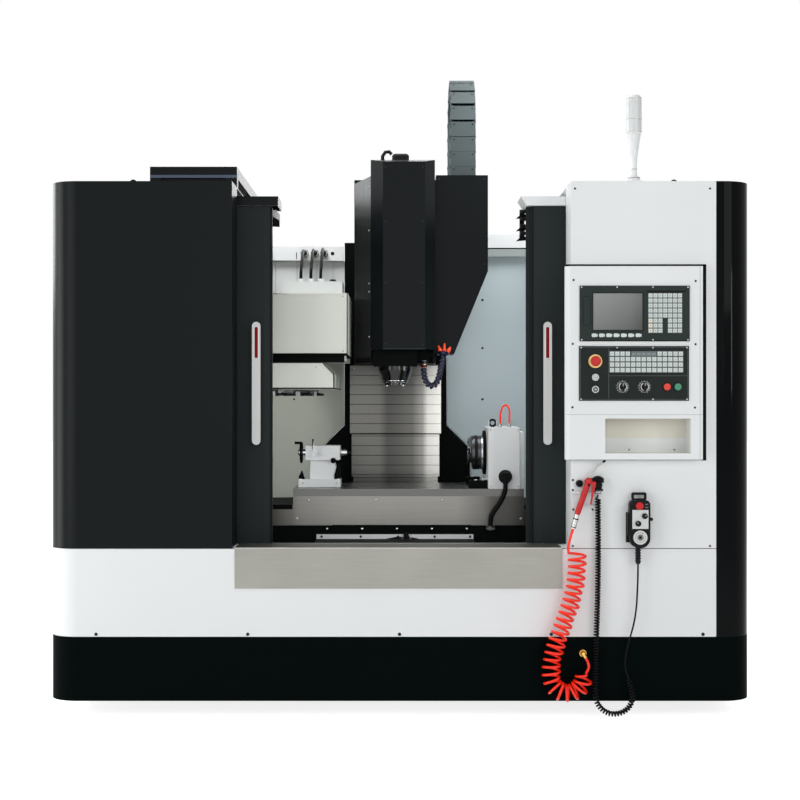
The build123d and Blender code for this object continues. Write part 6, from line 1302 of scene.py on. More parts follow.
@dataclass
class Console(Assembly):
    """Everything on the operator's console."""

    plate_y: float = -42.0
    panel_y: float = -47.0
    key_y: float = -49.0
    knob_z: float = 1326.0
    knobs: tuple[tuple[float, str], ...] = ((883.0, "feed_override"), (970.0, "spindle_override"))

    @staticmethod
    def grid(left: float, top: float, columns: int, rows: int, pitch: tuple[float, float], y: float,
             leave: Callable[[int, int], bool]) -> list[Point]:
        """Sets out the keys of a block, row by row.

        Args:
            left: the left side of the first key.
            top: its upper side.
            columns: how many keys a row has.
            rows: how many rows there are.
            pitch: the spacing across and down.
            y: the depth of the points.
            leave: tells which row and column has no key.

        Returns:
            The middle of each key.
        """
        half = 7.25
        return [(left + c * pitch[0] + half, y, top - r * pitch[1] - half)
                for r in range(rows) for c in range(columns) if not leave(r, c)]

    def display_keys(self, y: float) -> list[Point]:
        """Middles of the keys beside the display."""
        return self.grid(987, 1696, 7, 8, (19.4, 19.9), y, lambda r, c: r > 4 and c == 3)

    def operator_keys(self, y: float) -> list[Point]:
        """Middles of the keys on the operator's panel."""
        return self.grid(834, 1465, 14, 4, (21.0, 21.6), y, lambda r, c: r == 0 and 4 <= c <= 8)

    def build(self) -> None:
        """Adds the console's screen, legends, rings, lines and screws."""
        self.colours()
        self.screen()
        self.legends()
        self.controls()
        for name, finish, radius, y, spots in (
            ("console_screws", "screw_black", 4.5, self.plate_y, (
                (689.5, 1750.6), (1174.5, 1746.7), (686, 1496.8), (1174, 1495.6), (685, 1245), (1171.4, 1244))),
            ("display_screws", "screw_zinc", 3.4, self.panel_y, (
                (720.8, 1722), (862, 1722), (1004, 1722), (1143, 1722), (720.8, 1513), (1004, 1513), (1143, 1513))),
            ("operator_screws", "screw_zinc", 3.4, self.panel_y, (
                (719, 1482), (862, 1482), (1004, 1482), (1139, 1482), (719, 1277), (1004, 1277), (1139, 1277))),
        ):
            self.screws(name, "frame", finish, radius, [(x, y, z) for x, z in spots])
        self.screws("pocket_screws", "frame", "screw_black", 4.0, [(926, 64.5, 1073), (1109, 64.5, 1073)])

    def colours(self) -> None:
        """Colours the keys, the collar, the pilots and the pocket."""
        top = self.key_y + 0.2
        self.zone("control_panels", "operator_film", (700, -60, 1265), (1160, -40, 1490))
        self.zone("control_panels", "key_cap", (980, -50, 1530), (1135, top + 2.0, 1705))
        self.zone("control_panels", "key_cap", (755, -50, 1518), (960, top + 1.0, 1545), looks_front)
        self.zone("control_panels", "key_cap", (825, -50, 1380), (1140, top + 2.0, 1470))
        self.zone("control_panels", "key_cream", (980, -50, 1535), (1003, top + 1.0, 1600), looks_front)
        self.zone("control_panels", "panel_film", (970, self.panel_y - 0.3, 1520), (1140, -40, 1710))
        self.zone("control_panels", "operator_film", (815, self.panel_y - 0.3, 1370), (1150, -40, 1480))
        self.zone("control_panels", "stop_ring", (745, -52, 1398), (805, self.panel_y - 0.3, 1458))
        self.zone("control_panels", "screw_zinc", (758, -53, 1298), (792, self.panel_y - 0.3, 1382))
        self.zone("console_box", "pocket_liner", (813, -41.5, 1060), (1157, 70, 1202))
        liner = Form("white_coat").block(816, 1154, 63.4, 64.6, 1061, 1120).block(1153.4, 1154.6, -38, 64, 1061, 1201)
        self.fit("pocket_liner", liner, "frame", "white_paint")

    def screen(self) -> None:
        """Adds the display behind its bezel, and the card slot's cover."""
        y = self.panel_y
        glass = Form("lcd").block(767.4, 962.6, y + 2.2, y + 3.1, 1552.4, 1697.6)
        self.fit("display_screen", glass, "frame", "panel_grey")
        bezel = Form("operator_film")
        for x0, x1, z0, z1 in ((762, 767, 1546, 1703), (963, 968, 1546, 1703), (767, 963, 1546, 1552),
                               (767, 963, 1698, 1703)):
            bezel.block(x0, x1, y - 1.0, y + 0.5, z0, z1)
        bezel.use("moulding").rounded_plate(726, 757, y - 1.2, y + 0.5, 1571, 1685, 6)
        bezel.use("panel_film").rounded_plate(728, 755, y - 1.7, y + 0.5, 1573, 1683, 5)
        bezel.use("shadow_gap").block(980, 1136, y - 0.5, y + 0.3, 1703, 1708)
        bezel.block(716, 1146, y - 0.5, y + 0.3, 1508, 1511)
        self.fit("display_bezel", bezel, "frame", "dark_plastic", 0.5)

    def legends(self) -> None:
        """Adds a small unlettered mark to every key and the printed lines."""
        mark = Form("key_legend", local=True).block(-2.6, 2.6, -0.15, 0.15, -0.8, 1.4)
        under = Form("key_legend", local=True).block(-4.6, 0.6, -0.15, 0.15, -4.6, -3.9)
        for name, item in (("key_marks", mark), ("key_underlines", under)):
            points = self.display_keys(self.key_y) + self.operator_keys(self.key_y)
            self.pattern(name, "frame", "panel_grey", Pattern.ON_POINTS, item, "key_legend", points)
        for name, half, points in (("display_key_bases", 8.9, self.display_keys(self.panel_y)),
                                   ("operator_key_bases", 9.5, self.operator_keys(self.panel_y))):
            base = Form("key_base", local=True).block(-half, half, -0.9, 0.3, -half, half)
            self.pattern(name, "frame", "panel_grey", Pattern.ON_POINTS, base, "key_base", points)
        soft = Form("key_cap", local=True).block(-11.6, 11.6, -0.4, 0.4, -5.4, 5.4)
        self.pattern("soft_key_caps", "frame", "panel_grey", Pattern.ON_POINTS, soft, "key_cap",
                     [(772.2 + 29.0 * i, self.key_y, 1530.6) for i in range(7)])
        strip = Form("key_legend").block(918, 1018, self.panel_y - 0.6, self.panel_y + 0.3, 1447, 1467)
        for i in range(5):
            strip.use("key_base").block(921 + 20 * i, 933 + 20 * i, self.panel_y - 0.9, self.panel_y, 1455, 1458)
        lines = strip.use("key_legend")
        for x0, x1, z0, z1 in ((828, 828.9, 1277, 1483), (829, 1140, 1369.6, 1370.5), (716, 1142, 1276, 1276.8),
                               (716, 1142, 1482.6, 1483.4), (716, 716.8, 1276, 1483), (1141.2, 1142, 1276, 1483)):
            lines.block(x0, x1, self.panel_y - 0.25, self.panel_y + 0.2, z0, z1)
        self.fit("printed_lines", lines, "frame", "panel_grey")
        groove = Form("key_legend").block(660, 1202, self.plate_y - 0.2, self.plate_y + 0.3, 1215.6, 1216.6)
        groove.block(1191.4, 1192.4, self.plate_y - 0.2, self.plate_y + 0.3, 1038, 1805)
        self.fit("plate_groove", groove, "frame", "panel_grey")

    def controls(self) -> None:
        """Adds the dials' ticks, the knobs' pointers and the rings round the buttons."""
        y = self.panel_y
        ticks, rings = [], Form("key_cap")
        for x, body in self.knobs:
            for i in range(13):
                a = math.radians(-60 + 25 * i)
                ticks.append((x + 25 * math.cos(a), y, self.knob_z + 25 * math.sin(a)))
            rings.ring((x, y, self.knob_z), FRONT, 20.5, 21.8, 0.3)
            pointer = Form("key_cap").block(x - 0.9, x + 0.9, -65.9, -65.2, self.knob_z + 3, self.knob_z + 15)
            pointer.use("screw_zinc").ring((x, -57.4, self.knob_z), FRONT, 13.5, 16.4, 0.5)
            self.fit(f"{body}_pointer", pointer, body, "dark_plastic")
        for z in (1364, 1316):
            rings.use("chuck_steel").ring((775, -52, z), FRONT, 10, 15.2, 2.0)
            rings.use("bright_steel").ring((775, -53.6, z), FRONT, 11.4, 13.2, 1.0)
            face, mark = ("key_cap", "key_legend") if z > 1340 else ("key_legend", "key_cap")
            rings.use(face).turned((775, -52, z), FRONT, [(0, 10), (1.5, 9.5), (2.5, 6)], 28)
            rings.use(mark).block(771, 779, -54.8, -54.2, z - 1.2, z + 1.2)
        for x in (1060, 1102.5):
            rings.use("moulding").ring((x, -50, self.knob_z), FRONT, 14.6, 17.6, 1.2)
        self.fit("control_rings", rings, "frame", "bright_steel")
        tick = Form("key_cap", local=True).turned(ORIGIN, FRONT, [(0, 1.1), (0.35, 1.1)], 10)
        self.pattern("dial_ticks", "frame", "panel_grey", Pattern.ON_POINTS, tick, "key_cap", ticks)
        rim = Form("handle_red").ring((775, -62, 1428), FRONT, 18.4, 20.3, 1.2)
        self.fit("stop_button_rim", rim, "estop", "red_plastic", 0.4)


@dataclass
class SignalLamp(Assembly):
    """The lamp on the right roof."""

    x: float = 948.0
    y: float = 75.0
    lens_bottom: float = 2360.0

    def build(self) -> None:
        """Colours the lens and adds the rings and the flange's screws."""
        self.zone("signal_lamp", "lamp_milk", (self.x - 40, self.y - 40, self.lens_bottom - 3),
                  (self.x + 40, self.y + 40, 2520))
        rings = Form("screw_zinc")
        for z, radius in ((self.lens_bottom - 3, 31.6), (self.lens_bottom + 48, 31.8), (self.lens_bottom + 134, 31.4)):
            rings.ring((self.x, self.y, z), UP, radius - 3, radius, 2.4)
        rings.ring((self.x, self.y, 2206), UP, 9, 12.6, 4).ring((self.x, self.y, 2172), UP, 18, 24.6, 3)
        self.fit("lamp_rings", rings, "frame", "bright_steel", 0.4)
        self.screws("lamp_screws", "frame", "screw_zinc", 3.5, circle(self.x, self.y, 2158, 32, Axis.Z, 4), Facing.UP)


@dataclass
class Door(Assembly):
    """One leaf with its handle, seal and rubber edge."""

    side: int
    body: str
    edge_x: float
    face_y: float = 190.0

    def build(self) -> None:
        """Adds the pieces that ride with the leaf."""
        name = "left" if self.side < 0 else "right"
        middle = self.edge_x + self.side * 62.5
        insert = Form("handle_red").rounded_plate(middle - 7, middle + 7, 159.4, 161.4, 1447, 1573, 3)
        self.fit(f"{name}_handle_insert", insert, self.body, "red_plastic", 0.5)
        rim = Form("bright_steel")
        for x0, x1, z0, z1 in ((middle - 9, middle - 7.6, 1444, 1576), (middle + 7.6, middle + 9, 1444, 1576)):
            rim.block(x0, x1, 157.4, 158.6, z0, z1)
        self.fit(f"{name}_handle_rim", rim, self.body, "bright_steel")
        near, far = sorted((self.edge_x + self.side * 200, self.edge_x + self.side * 640))
        seal = Form("bellows")
        for x0, x1, z0, z1 in ((near - 9, near + 3, 1041, 1819), (far - 3, far + 9, 1041, 1819),
                               (near + 3, far - 3, 1041, 1053), (near + 3, far - 3, 1807, 1819)):
            seal.block(x0, x1, self.face_y - 3, self.face_y + 6, z0, z1)
        self.fit(f"{name}_window_seal", seal, self.body, "black_rubber", 1.0)
        edge = Form("bellows")
        for finish, start, end, proud in (("bellows", 0, 7, 1.6), ("panel_film", 28, 30, 0.5)):
            x0, x1 = sorted((self.edge_x + self.side * start, self.edge_x + self.side * end))
            edge.use(finish).block(x0, x1, self.face_y - proud, self.face_y + 0.4, 684, 2070)
        self.fit(f"{name}_door_edge", edge, self.body, "black_rubber", 0.4)
        self.screws(f"{name}_handle_screws", self.body, "screw_zinc", 3.0,
                    [(middle, 228, z) for z in (1133, 1556)], Facing.REAR)


@dataclass
class Sill(Assembly):
    """The steel sill with its folded edge."""

    left: float = -661.0
    right: float = 648.0
    top: float = 684.0

    def build(self) -> None:
        """Adds the folded edge, painted lighter than the sill as a highlight, and the hidden fixing studs."""
        # The fold's lighter steel is a painted highlight along the sill's top edge.
        fold_highlight = Form("screw_zinc").block(self.left, self.right, -5.0, -3.6, self.top - 4, self.top - 0.4)
        self.fit("sill_fold", fold_highlight, "frame", "stainless", 0.6)
        self.screws("sill_screws", "frame", "screw_zinc", 4.0,
                    row(self.left + 60, self.right - 60, 5, 165, self.top), Facing.UP)


@dataclass
class Accessories(Assembly):
    """The bracket, the air gun and the hand pendant."""

    pendant_x: float = 952.0
    pendant_y: float = -52.0

    def build(self) -> None:
        """Adds the small parts of all three."""
        self.zone("accessory_bracket", "moulding", (763, -45, 915), (816, -3.2, 966))
        self.zone("air_gun", "screw_zinc", (752, -40, 966), (830, -28, 1040))
        self.zone("air_gun", "bright_steel", (680, -46, 755), (706, -22, 812))
        self.zone("pendant_body", "signal_red", (933, -68, 838), (965, -53, 870))
        self.screws("bracket_screws", "frame", "screw_black", 4.6,
                    [(691, -3, 954), (691, -3, 914), (693, -3, 836), (808, -3, 914), (770, -3, 836)])
        gun = Form("cable_black").bar([(806, -34, 1026.5), (811, -34, 1029.5), (817, -34, 1033)], 4.6, 16)
        lean = (-0.28, 0, -0.96)
        gun.use("moulding").ring((700, -34, 803), lean, 8, 11.5, 5)
        gun.use("screw_zinc").ring((697, -34, 792), lean, 8, 11.0, 4).ring((693.6, -34, 780), lean, 8, 11.4, 6)
        gun.use("moulding").ring((690.6, -34, 770), lean, 7, 10.4, 4)
        gun.use("cable_black").turned((750, -22, 936), FRONT, [(0, 5), (26, 5), (27, 4)], 20)
        gun.turned((716, -3, 941), FRONT, [(0, 9), (5, 9), (6, 14), (14, 14), (17, 10)], 28)
        self.fit("air_gun_fittings", gun, "frame", "bright_steel", 0.4)
        plug = Form("cable_black")
        for z in (900, 906, 912, 918):
            plug.ring((789, -22, z), UP, 9, 12.6, 3.4, 32)
        plug.turned((789, -4, 936), FRONT, [(0, 17), (24, 17), (36, 14), (40, 10)], 28)
        plug.turned((789, -22, 962), UP, [(0, 20), (5, 17), (9, 8)], 28)
        self.fit("pendant_plug", plug, "frame", "dark_plastic", 0.5)
        x = self.pendant_x
        face = Form("handle_steel").block(921, 985, -54.9, -53.6, 763, 838).use("key_cap")
        for cx, cz, turn in ((x + 18, 814, 0.7), (x - 8, 784, 2.4)):
            cy = self.pendant_y - 14
            face.bar([(cx, cy - 0.3, cz), (cx + 9 * math.cos(turn), cy - 0.3, cz + 9 * math.sin(turn))], 0.8, 8)
            for k in range(6):
                a = math.radians(-30 + 48 * k)
                face.turned((cx + 14.5 * math.cos(a), self.pendant_y - 2, cz + 14.5 * math.sin(a)), FRONT,
                            [(0, 0.8), (0.3, 0.8)], 8)
        face.use("moulding").rounded_plate(905, 912, -44, -22, 736, 826, 3)
        for z in (846, 858):
            face.use("key_legend").block(972, 984, self.pendant_y - 0.4, self.pendant_y, z, z + 4)
        face.use("moulding").ring((x, self.pendant_y, 729), FRONT, 28.6, 33, 1.6)
        self.fit("pendant_marks", face, "frame", "dark_plastic", 0.0)
        self.screws("pendant_screws", "frame", "screw_black", 2.4,
                    [(920, self.pendant_y, 866), (984, self.pendant_y, 866), (920, self.pendant_y, 756),
                     (984, self.pendant_y, 756)])
        hub = (x, -61.3, 729)
        dial = Form("ground_steel").ring(hub, FRONT, 19, 20.4, 0.4).ring(hub, FRONT, 7, 12.5, 1.6)
        dial.use("moulding").turned(hub, FRONT, [(0, 6.5), (1.0, 6.5), (1.6, 5)], 24)
        self.fit("pendant_dial_rings", dial, "hand_dial", "bright_steel", 0.3)


@dataclass
class Head(Assembly):
    """The spindle head with its covers, nose and shield."""

    centre_x: float = -22.0
    spindle_y: float = 765.0

    def build(self) -> None:
        """Dresses the nose and the covers."""
        x, y = self.centre_x, self.spindle_y
        self.zone("headstock", "nose_black", (x - 79, y - 79, 1352), (x + 79, y + 79, 1427.5),
                  lambda face: math.hypot(face.center.x * 1000 - x, face.center.y * 1000 - FRONT_SHIFT - y) < 78)
        self.zone("head_cover", "moulding", (-40, 680, 2341), (50, 760, 2380))
        nose = Form("bright_steel")
        for z, radius, tall in ((1359, 58.4, 9), (1374, 62.6, 14), (1397, 68.8, 14)):
            nose.ring((x, y, z), UP, radius - 4, radius + 1.0, tall, 64)
        nose.use("chuck_steel").ring((x, y, 1353), UP, 50.6, 57.4, 8, 64)
        self.fit("nose_rings", nose, "head", "bright_steel", 0.5)
        self.screws("nose_screws", "head", "screw_zinc", 4.5, circle(x, y, 1353, 54, Axis.Z, 8), Facing.DOWN)
        keys = Form("bright_steel")
        for side in (-1, 1):
            keys.turned((x + side * 36, y - 34, 1340.5), DOWN, [(0, 5.5), (4, 5.5), (5, 4)], 20)
        self.fit("drive_key_screws", keys, "spindle_shaft", "bright_steel")
        self.screws("cover_screws", "head", "screw_black", 4.2,
                    [(cx, 600, cz) for cx in (-64, 100) for cz in (1520, 1790, 2060, 2300)])
        self.screws("back_cover_screws", "head", "screw_zinc", 3.6,
                    [(-140, 806.5, cz) for cz in (1560, 1765, 1802, 2043, 2240)])
        self.screws("wing_screws", "head", "screw_black", 4.2,
                    [(388, 905, 2290), (388, 905, 1900), (180, 905, 2290), (180, 905, 1510), (244, 905, 1510)])
        lips = Form("panel_film").block(-75, 111, 599.4, 600.6, 1497, 1502)
        # The shell's facet takes the grey metal of the painted highlight instead of black paint.
        lips.use("facet_black").loft([[(-209, 866, 1441), (-131, 800, 1441), (-129, 867, 1441)],
                                     [(-209, 866, 2262), (-131, 800, 2290), (-129, 867, 2290)]])
        lips.use("moulding").bar([(-78, 720, 2339), (-78, 720, 2366), (-66, 720, 2384), (-48, 720, 2386),
                                  (-38, 720, 2374)], 8, 14)
        lips.rod((-78, 720, 2339), (-78, 720, 2350), 13, 6)
        self.fit("cover_folds", lips, "head", "black_paint")


@dataclass
class CoolantHose(Assembly):
    """The jointed coolant hose beside the nose, with three nozzles."""

    line: tuple[Point, ...] = (
        (108, 745, 1440), (107, 744, 1410), (110, 742, 1378), (120, 739, 1350), (138, 737, 1336), (156, 737, 1341),
        (170, 739, 1362), (178, 741, 1392), (184, 743, 1424), (190, 745, 1456), (194, 745, 1474))

    def build(self) -> None:
        """Replaces the hose's plain stand-in."""
        block = Form("deep_black").block(76, 132, 745, 789, 1449, 1497).block(131, 168, 750, 762, 1466, 1486)
        block.use("screw_zinc").rod((108, 745, 1452), (108, 745, 1436), 12, 6)
        block.use("brass").rod((108, 745, 1437), (108, 745, 1428), 10.5, 24, 1.0)
        block.use("nozzle_orange").rod((108, 745, 1429), (107.6, 744.6, 1418), 12.4, 24, 1.2)
        self.fit("coolant_block", block, "head", "cast_grey", 0.8, replaces=("coolant_nozzles",))
        bead = Form("hose_blue", local=True).turned(ORIGIN, UP, [
            (-9.6, 8.6), (-9.0, 12.6), (-4.0, 14.6), (1.5, 14.0), (4.0, 10.4), (8.6, 9.4)], 24)
        self.pattern("coolant_hose_links", "head", "dark_plastic", Pattern.HOSE_ACROSS, bead, "hose_blue", self.line,
                     count=17)
        crown = Form("hose_blue").turned((194, 745, 1468), (0.12, 0, 1),
                                         [(0, 11), (4, 15), (14, 24), (22, 25), (26, 18)], 32)
        for lean, length in ((-0.36, 34.0), (0.05, 42.0), (0.5, 30.0)):
            way = Vector((lean, -0.1, 1.0)).normalized()
            start = Vector((196, 743, 1486)) + Vector((lean * 34, -3, 0))
            crown.use("nozzle_orange").turned(start, way, [
                (0, 7.5), (8, 8.6), (16, 8.6), (19, 6.2), (length - 2, 4.0), (length, 3.2)], 24)
        self.fit("coolant_nozzle_crown", crown, "head", "dark_plastic", 0.3)


@dataclass
class CableChain(Assembly):
    """The cable chain as real links along its U."""

    left: float = 236.0
    right: float = 353.0
    front_y: float = 1027.0
    rear_y: float = 1437.0
    bend_z: float = 2558.0
    front_end: float = 1950.0
    rear_end: float = 1740.0
    pitch: float = 70.0

    def centre_line(self) -> list[Point]:
        """The middle line of the U, from its front end over the bend to its rear end.

        Returns:
            The points of the line.
        """
        x, middle = (self.left + self.right) / 2, (self.front_y + self.rear_y) / 2
        radius = (self.rear_y - self.front_y) / 2
        line = [(x, self.front_y, self.front_end + 30)]
        for k in range(25):
            a = math.pi * (1 - k / 24)
            line.append((x, middle + radius * math.cos(a), self.bend_z + radius * math.sin(a)))
        line.append((x, self.rear_y, self.rear_end + 30))
        return line

    def build(self) -> None:
        """Grows the links, pins, cables and end fittings."""
        half = (self.right - self.left) / 2
        line = self.centre_line()
        straight = (self.bend_z - self.front_end - 30) + (self.bend_z - self.rear_end - 30)
        run = straight + math.pi * (self.rear_y - self.front_y) / 2
        count = round(run / self.pitch) + 1
        link = Form("chain_plastic", local=True)
        for side in (-1, 1):
            outer, middle, inner = side * half, side * (half - 6), side * (half - 12)
            for x0, x1, z0, z1 in ((middle, outer, -46, 10), (inner, middle, -10, 46)):
                tip = [(35, z0 + 14), (22, z0), (-22, z0), (-35, z0 + 14), (-37, z1 - 14), (-24, z1), (24, z1),
                       (37, z1 - 14)]
                link.prism(Axis.X, tip, min(x0, x1), max(x0, x1))
            link.turned((outer, 0, -28), (side, 0, 0), [(-2, 13), (1.2, 13), (1.2, 9), (0.2, 8)], 20)
        for y0, y1 in ((38, 43), (-43, -38)):
            link.block(-half + 1, half - 1, y0, y1, -34.2, 34.2)
        links = self.shop.patterns.grow(Pattern.CHAIN_UPRIGHT, link, "chain_plastic", line, count=count)
        self.stand("chain_links", links, "chain", "dark_plastic", ("cable_chain",))
        pin = Form("screw_zinc", local=True)
        for side in (-1, 1):
            pin.turned((side * (half + 1.0), 0, -28), (side, 0, 0), [(-1, 5.5), (0.9, 5.0), (1.3, 3.4)], 14)
            for face in (-1, 1):
                pin.turned((side * (half - 16), face * 42.6, 22), (0, face, 0), [(0, 4.0), (0.9, 3.4)], 10)
        self.pattern("chain_pins", "chain", "ground_steel", Pattern.CHAIN_UPRIGHT, pin, "shadow_gap", line, count=count)
        inside = Form("cable_black")
        for shift, radius in ((-34, 11), (-8, 9), (12, 8), (34, 12)):
            inside.bar([(x + shift, y, z) for x, y, z in line], radius, 10)
        self.fit("chain_cables", inside, "chain", "black_rubber")
        ends = Form("moulding")
        for y, z in ((self.front_y, self.front_end), (self.rear_y, self.rear_end)):
            ends.block(self.left + 6, self.right - 6, y - 30, y + 30, z, z + 14)
        self.fit("chain_ends", ends, "chain", "dark_plastic", 1.5)


@dataclass
class Shields(Assembly):
    """Wipers and screws of the plates that guard the ways."""

    left: float = -243.0
    right: float = 199.0

    def build(self) -> None:
        """Adds a rubber lip under each plate and its screws."""
        for name, body, z, inset, y in (("top", "head", 1107.0, 0.0, 1283.2),
                                        ("middle", "z_cover", 903.0, 8.0, 1289.2)):
            lip = Form("bellows").block(self.left + inset, self.right - inset, y, y + 2, z, z + 3.5)
            self.fit(f"z_shield_{name}_lip", lip, body, "black_rubber")
        self.screws("z_shield_screws", "head", "screw_zinc", 4.0, row(-225, 181, 4, 1284, 1428))
        edge = Form("bellows")
        edge.block(-354, 310, 118.0, 121.0, 657.5, 660).block(-362, 318, 235.0, 238.0, 665.5, 668)
        self.fit("y_cover_lips", edge, "frame", "black_rubber")


@dataclass
class SaddleAndTable(Assembly):
    """The saddle, the table and what is bolted to them."""

    left: float = -463.0
    right: float = 537.0

    def build(self) -> None:
        """Adds screws, the chip guard, slot floors and cover strips, and colours parts of the saddle and the table."""
        self.zone("saddle", "bar_white", (-364, 499, 671), (320, 502, 693), looks_front)
        self.zone("saddle", "apron_steel", (-664, 504, 735), (-526, 996, 812))
        self.zone("saddle", "apron_steel", (482, 504, 735), (620, 996, 812))
        self.zone("table", "edge_steel", (self.left - 1, 499, 857), (self.right + 1, 501, 889.5), looks_front)
        self.screws("saddle_lip_screws", "saddle_unit", "bright_steel", 5.0, row(-316, 290, 5, 499.6, 716))
        self.screws("saddle_bar_screws", "saddle_unit", "screw_black", 5.5,
                    [(x, 501, 682) for x in (-340, -170, -8, 150, 304)])
        guard = Form("bellows").prism(Axis.Y, [(12, 674), (18, 699), (34, 699), (44, 674)], 484, 500)
        guard.prism(Axis.Y, [(-62, 674), (-12, 684), (14, 681), (6, 674)], 478, 484)
        guard.prism(Axis.Y, [(50, 674), (38, 681), (60, 679), (84, 674)], 478, 484)
        self.fit("chip_guard", guard, "saddle_unit", "black_rubber", 0.8)
        apron = [(-396, 500, 840.7), (-104, 500, 840.7), (184, 500, 840.7), (440, 500, 840.7), (-446, 500, 760.6),
                 (524, 500, 760.6)]
        self.screws("apron_screws", "table_unit", "screw_zinc", 5.0, apron)
        self.screws("rear_apron_screws", "table_unit", "screw_zinc", 5.0,
                    [(x, 1000, z) for x, _, z in apron], Facing.REAR)
        slots = Form("shadow_gap")
        for i in range(4):
            y = 600 + 100 * i
            slots.block(self.left + 2, self.right - 2, y - 8.5, y + 8.5, 860, 861)
        self.fit("slot_floors", slots, "table_unit", "ground_steel")
        strips = Form("deep_black")
        for y0, y1, z0, z1 in ((506.2, 507.2, 800, 819.2), (507, 993, 818.8, 820)):
            strips.block(-714, -466, y0, y1, z0, z1).block(540, 729, y0, y1, z0, z1)
        self.fit("x_cover_strips", strips, "x_covers", "black_paint")
        self.screws("x_cover_screws", "x_covers", "screw_black", 4.0,
                    [(-700, 507, 745), (714, 507, 760.6), (-560, 507, 745)])


@dataclass
class RotaryTable(Assembly):
    """The rotary table's box, flange and fittings."""

    left: float = 382.0
    right: float = 520.0
    front_y: float = 495.0
    axis_y: float = 700.0
    axis_z: float = 1040.0

    def build(self) -> None:
        """Adds the fittings and the chuck's rings."""
        self.zone("rotary_housing", "bellows", (430, 455, 880), (482, 494.8, 970))
        self.zone("rotary_housing", "moulding", (394, 600, 1155.5), (424, 630, 1200))
        self.zone("rotary_housing", "screw_zinc", (428, 545, 1155.5), (490, 566, 1175))
        self.zone("rotary_housing", "deep_black", (365, 590, 930), (381.6, 810, 1150),
                  lambda face: face.normal.x < -0.5)
        trim = Form("screw_zinc").block(self.left, self.left + 2.0, self.front_y - 0.6, self.front_y + 0.4, 891, 1153)
        trim.block(self.right - 1.6, self.right, self.front_y - 0.6, self.front_y + 0.4, 891, 1153)
        self.fit("rotary_box_edges", trim, "table_unit", "bright_steel")
        plate = Form("deep_black").ring((self.left - 0.2, self.axis_y, self.axis_z), LEFT, 70, 98, 12, 64)
        plate.block(300, 381, 520, 560, 889, 925).block(300, 381, 820, 860, 889, 925)
        plate.use("moulding").block(self.left + 20, self.right - 20, 825, 840, 940, 1110)
        self.fit("rotary_flange", plate, "table_unit", "cast_grey", 1.2)
        self.screws("rotary_clamps", "table_unit", "bright_steel", 8.0,
                    [(330, 540, 925), (330, 840, 925), (362, 540, 925)], Facing.UP)
        self.screws("rotary_screws", "table_unit", "screw_zinc", 3.2,
                    [(x, self.front_y, z) for x in (392, 511) for z in (900, 1145)])
        boot = Form("bellows").turned((456, 495, 942), FRONT, [(0, 30), (6, 29), (14, 21), (24, 18)], 32)
        for k in range(3):
            boot.ring((456, 478, 914 + 5 * k), UP, 9.5, 12.2 + k, 3.2, 28)
        self.fit("cable_boot", boot, "table_unit", "black_rubber", 0.8)
        rings = Form("bright_steel")
        rings.ring((366, self.axis_y, self.axis_z), LEFT, 60, 76, 5, 64)
        rings.use("moulding").ring((345, self.axis_y, self.axis_z), LEFT, 60, 76.4, 14, 64)
        rings.use("bright_steel").ring((304, self.axis_y, self.axis_z), LEFT, 20, 34, 1.2, 48)
        self.fit("chuck_rings", rings, "chuck", "bright_steel", 0.5)
        self.screws("chuck_screws", "chuck", "screw_black", 5.0,
                    circle(303.5, self.axis_y, self.axis_z, 52, Axis.X, 6), Facing.LEFT)


@dataclass
class Tailstock(Assembly):
    """The tailstock's clamps, knob, wheel and quill."""

    axis_y: float = 700.0
    axis_z: float = 1040.0

    def build(self) -> None:
        """Adds the small parts on their bodies."""
        self.zone("tailstock_body", "moulding", (-460, 600, 1073), (-250, 800, 1110))
        self.zone("tailstock_quill", "nose_steel", (-240, 680, 1020), (-210, 720, 1060))
        self.zone("tailstock_handwheel", "gloss_black", (-500, 640, 980), (-380, 760, 1100),
                  lambda face: math.hypot(face.center.y * 1000 - FRONT_SHIFT - self.axis_y,
                                          face.center.z * 1000 - self.axis_z) > 34)
        self.zone("tailstock_handwheel", "bright_steel", (-500, 680, 1020), (-380, 720, 1060))
        body = Form("deep_black").turned((-295, 640.5, 1006), FRONT, [(0, 12), (8, 12), (10, 10)], 28)
        body.prism(Axis.Y, [(-449, 923), (-449, 935), (-436, 962), (-424, 923)], 652, 690)
        body.prism(Axis.Y, [(-264, 923), (-264, 984), (-278, 992), (-292, 940), (-292, 923)], 652, 690)
        body.use("screw_zinc").ring((-267, self.axis_y, self.axis_z), (1, 0, 0), 15.6, 20, 5, 40)
        self.fit("tailstock_clamps", body, "table_unit", "dark_plastic", 0.8)
        self.screws("tailstock_bolts", "table_unit", "bright_steel", 7.0,
                    [(-440, 652, 923), (-440, 748, 923), (-272, 652, 923), (-272, 748, 923)], Facing.UP)
        self.screws("tailstock_base_screws", "table_unit", "screw_zinc", 3.5, [(-430, 640, 906), (-282, 640, 906)])
        wheel = Form("bright_steel").turned((-441, self.axis_y, self.axis_z), LEFT,
                                            [(0, 15), (10, 15), (14, 11), (16, 6)], 32)
        self.fit("handwheel_hub", wheel, "handwheel", "bright_steel", 0.4)


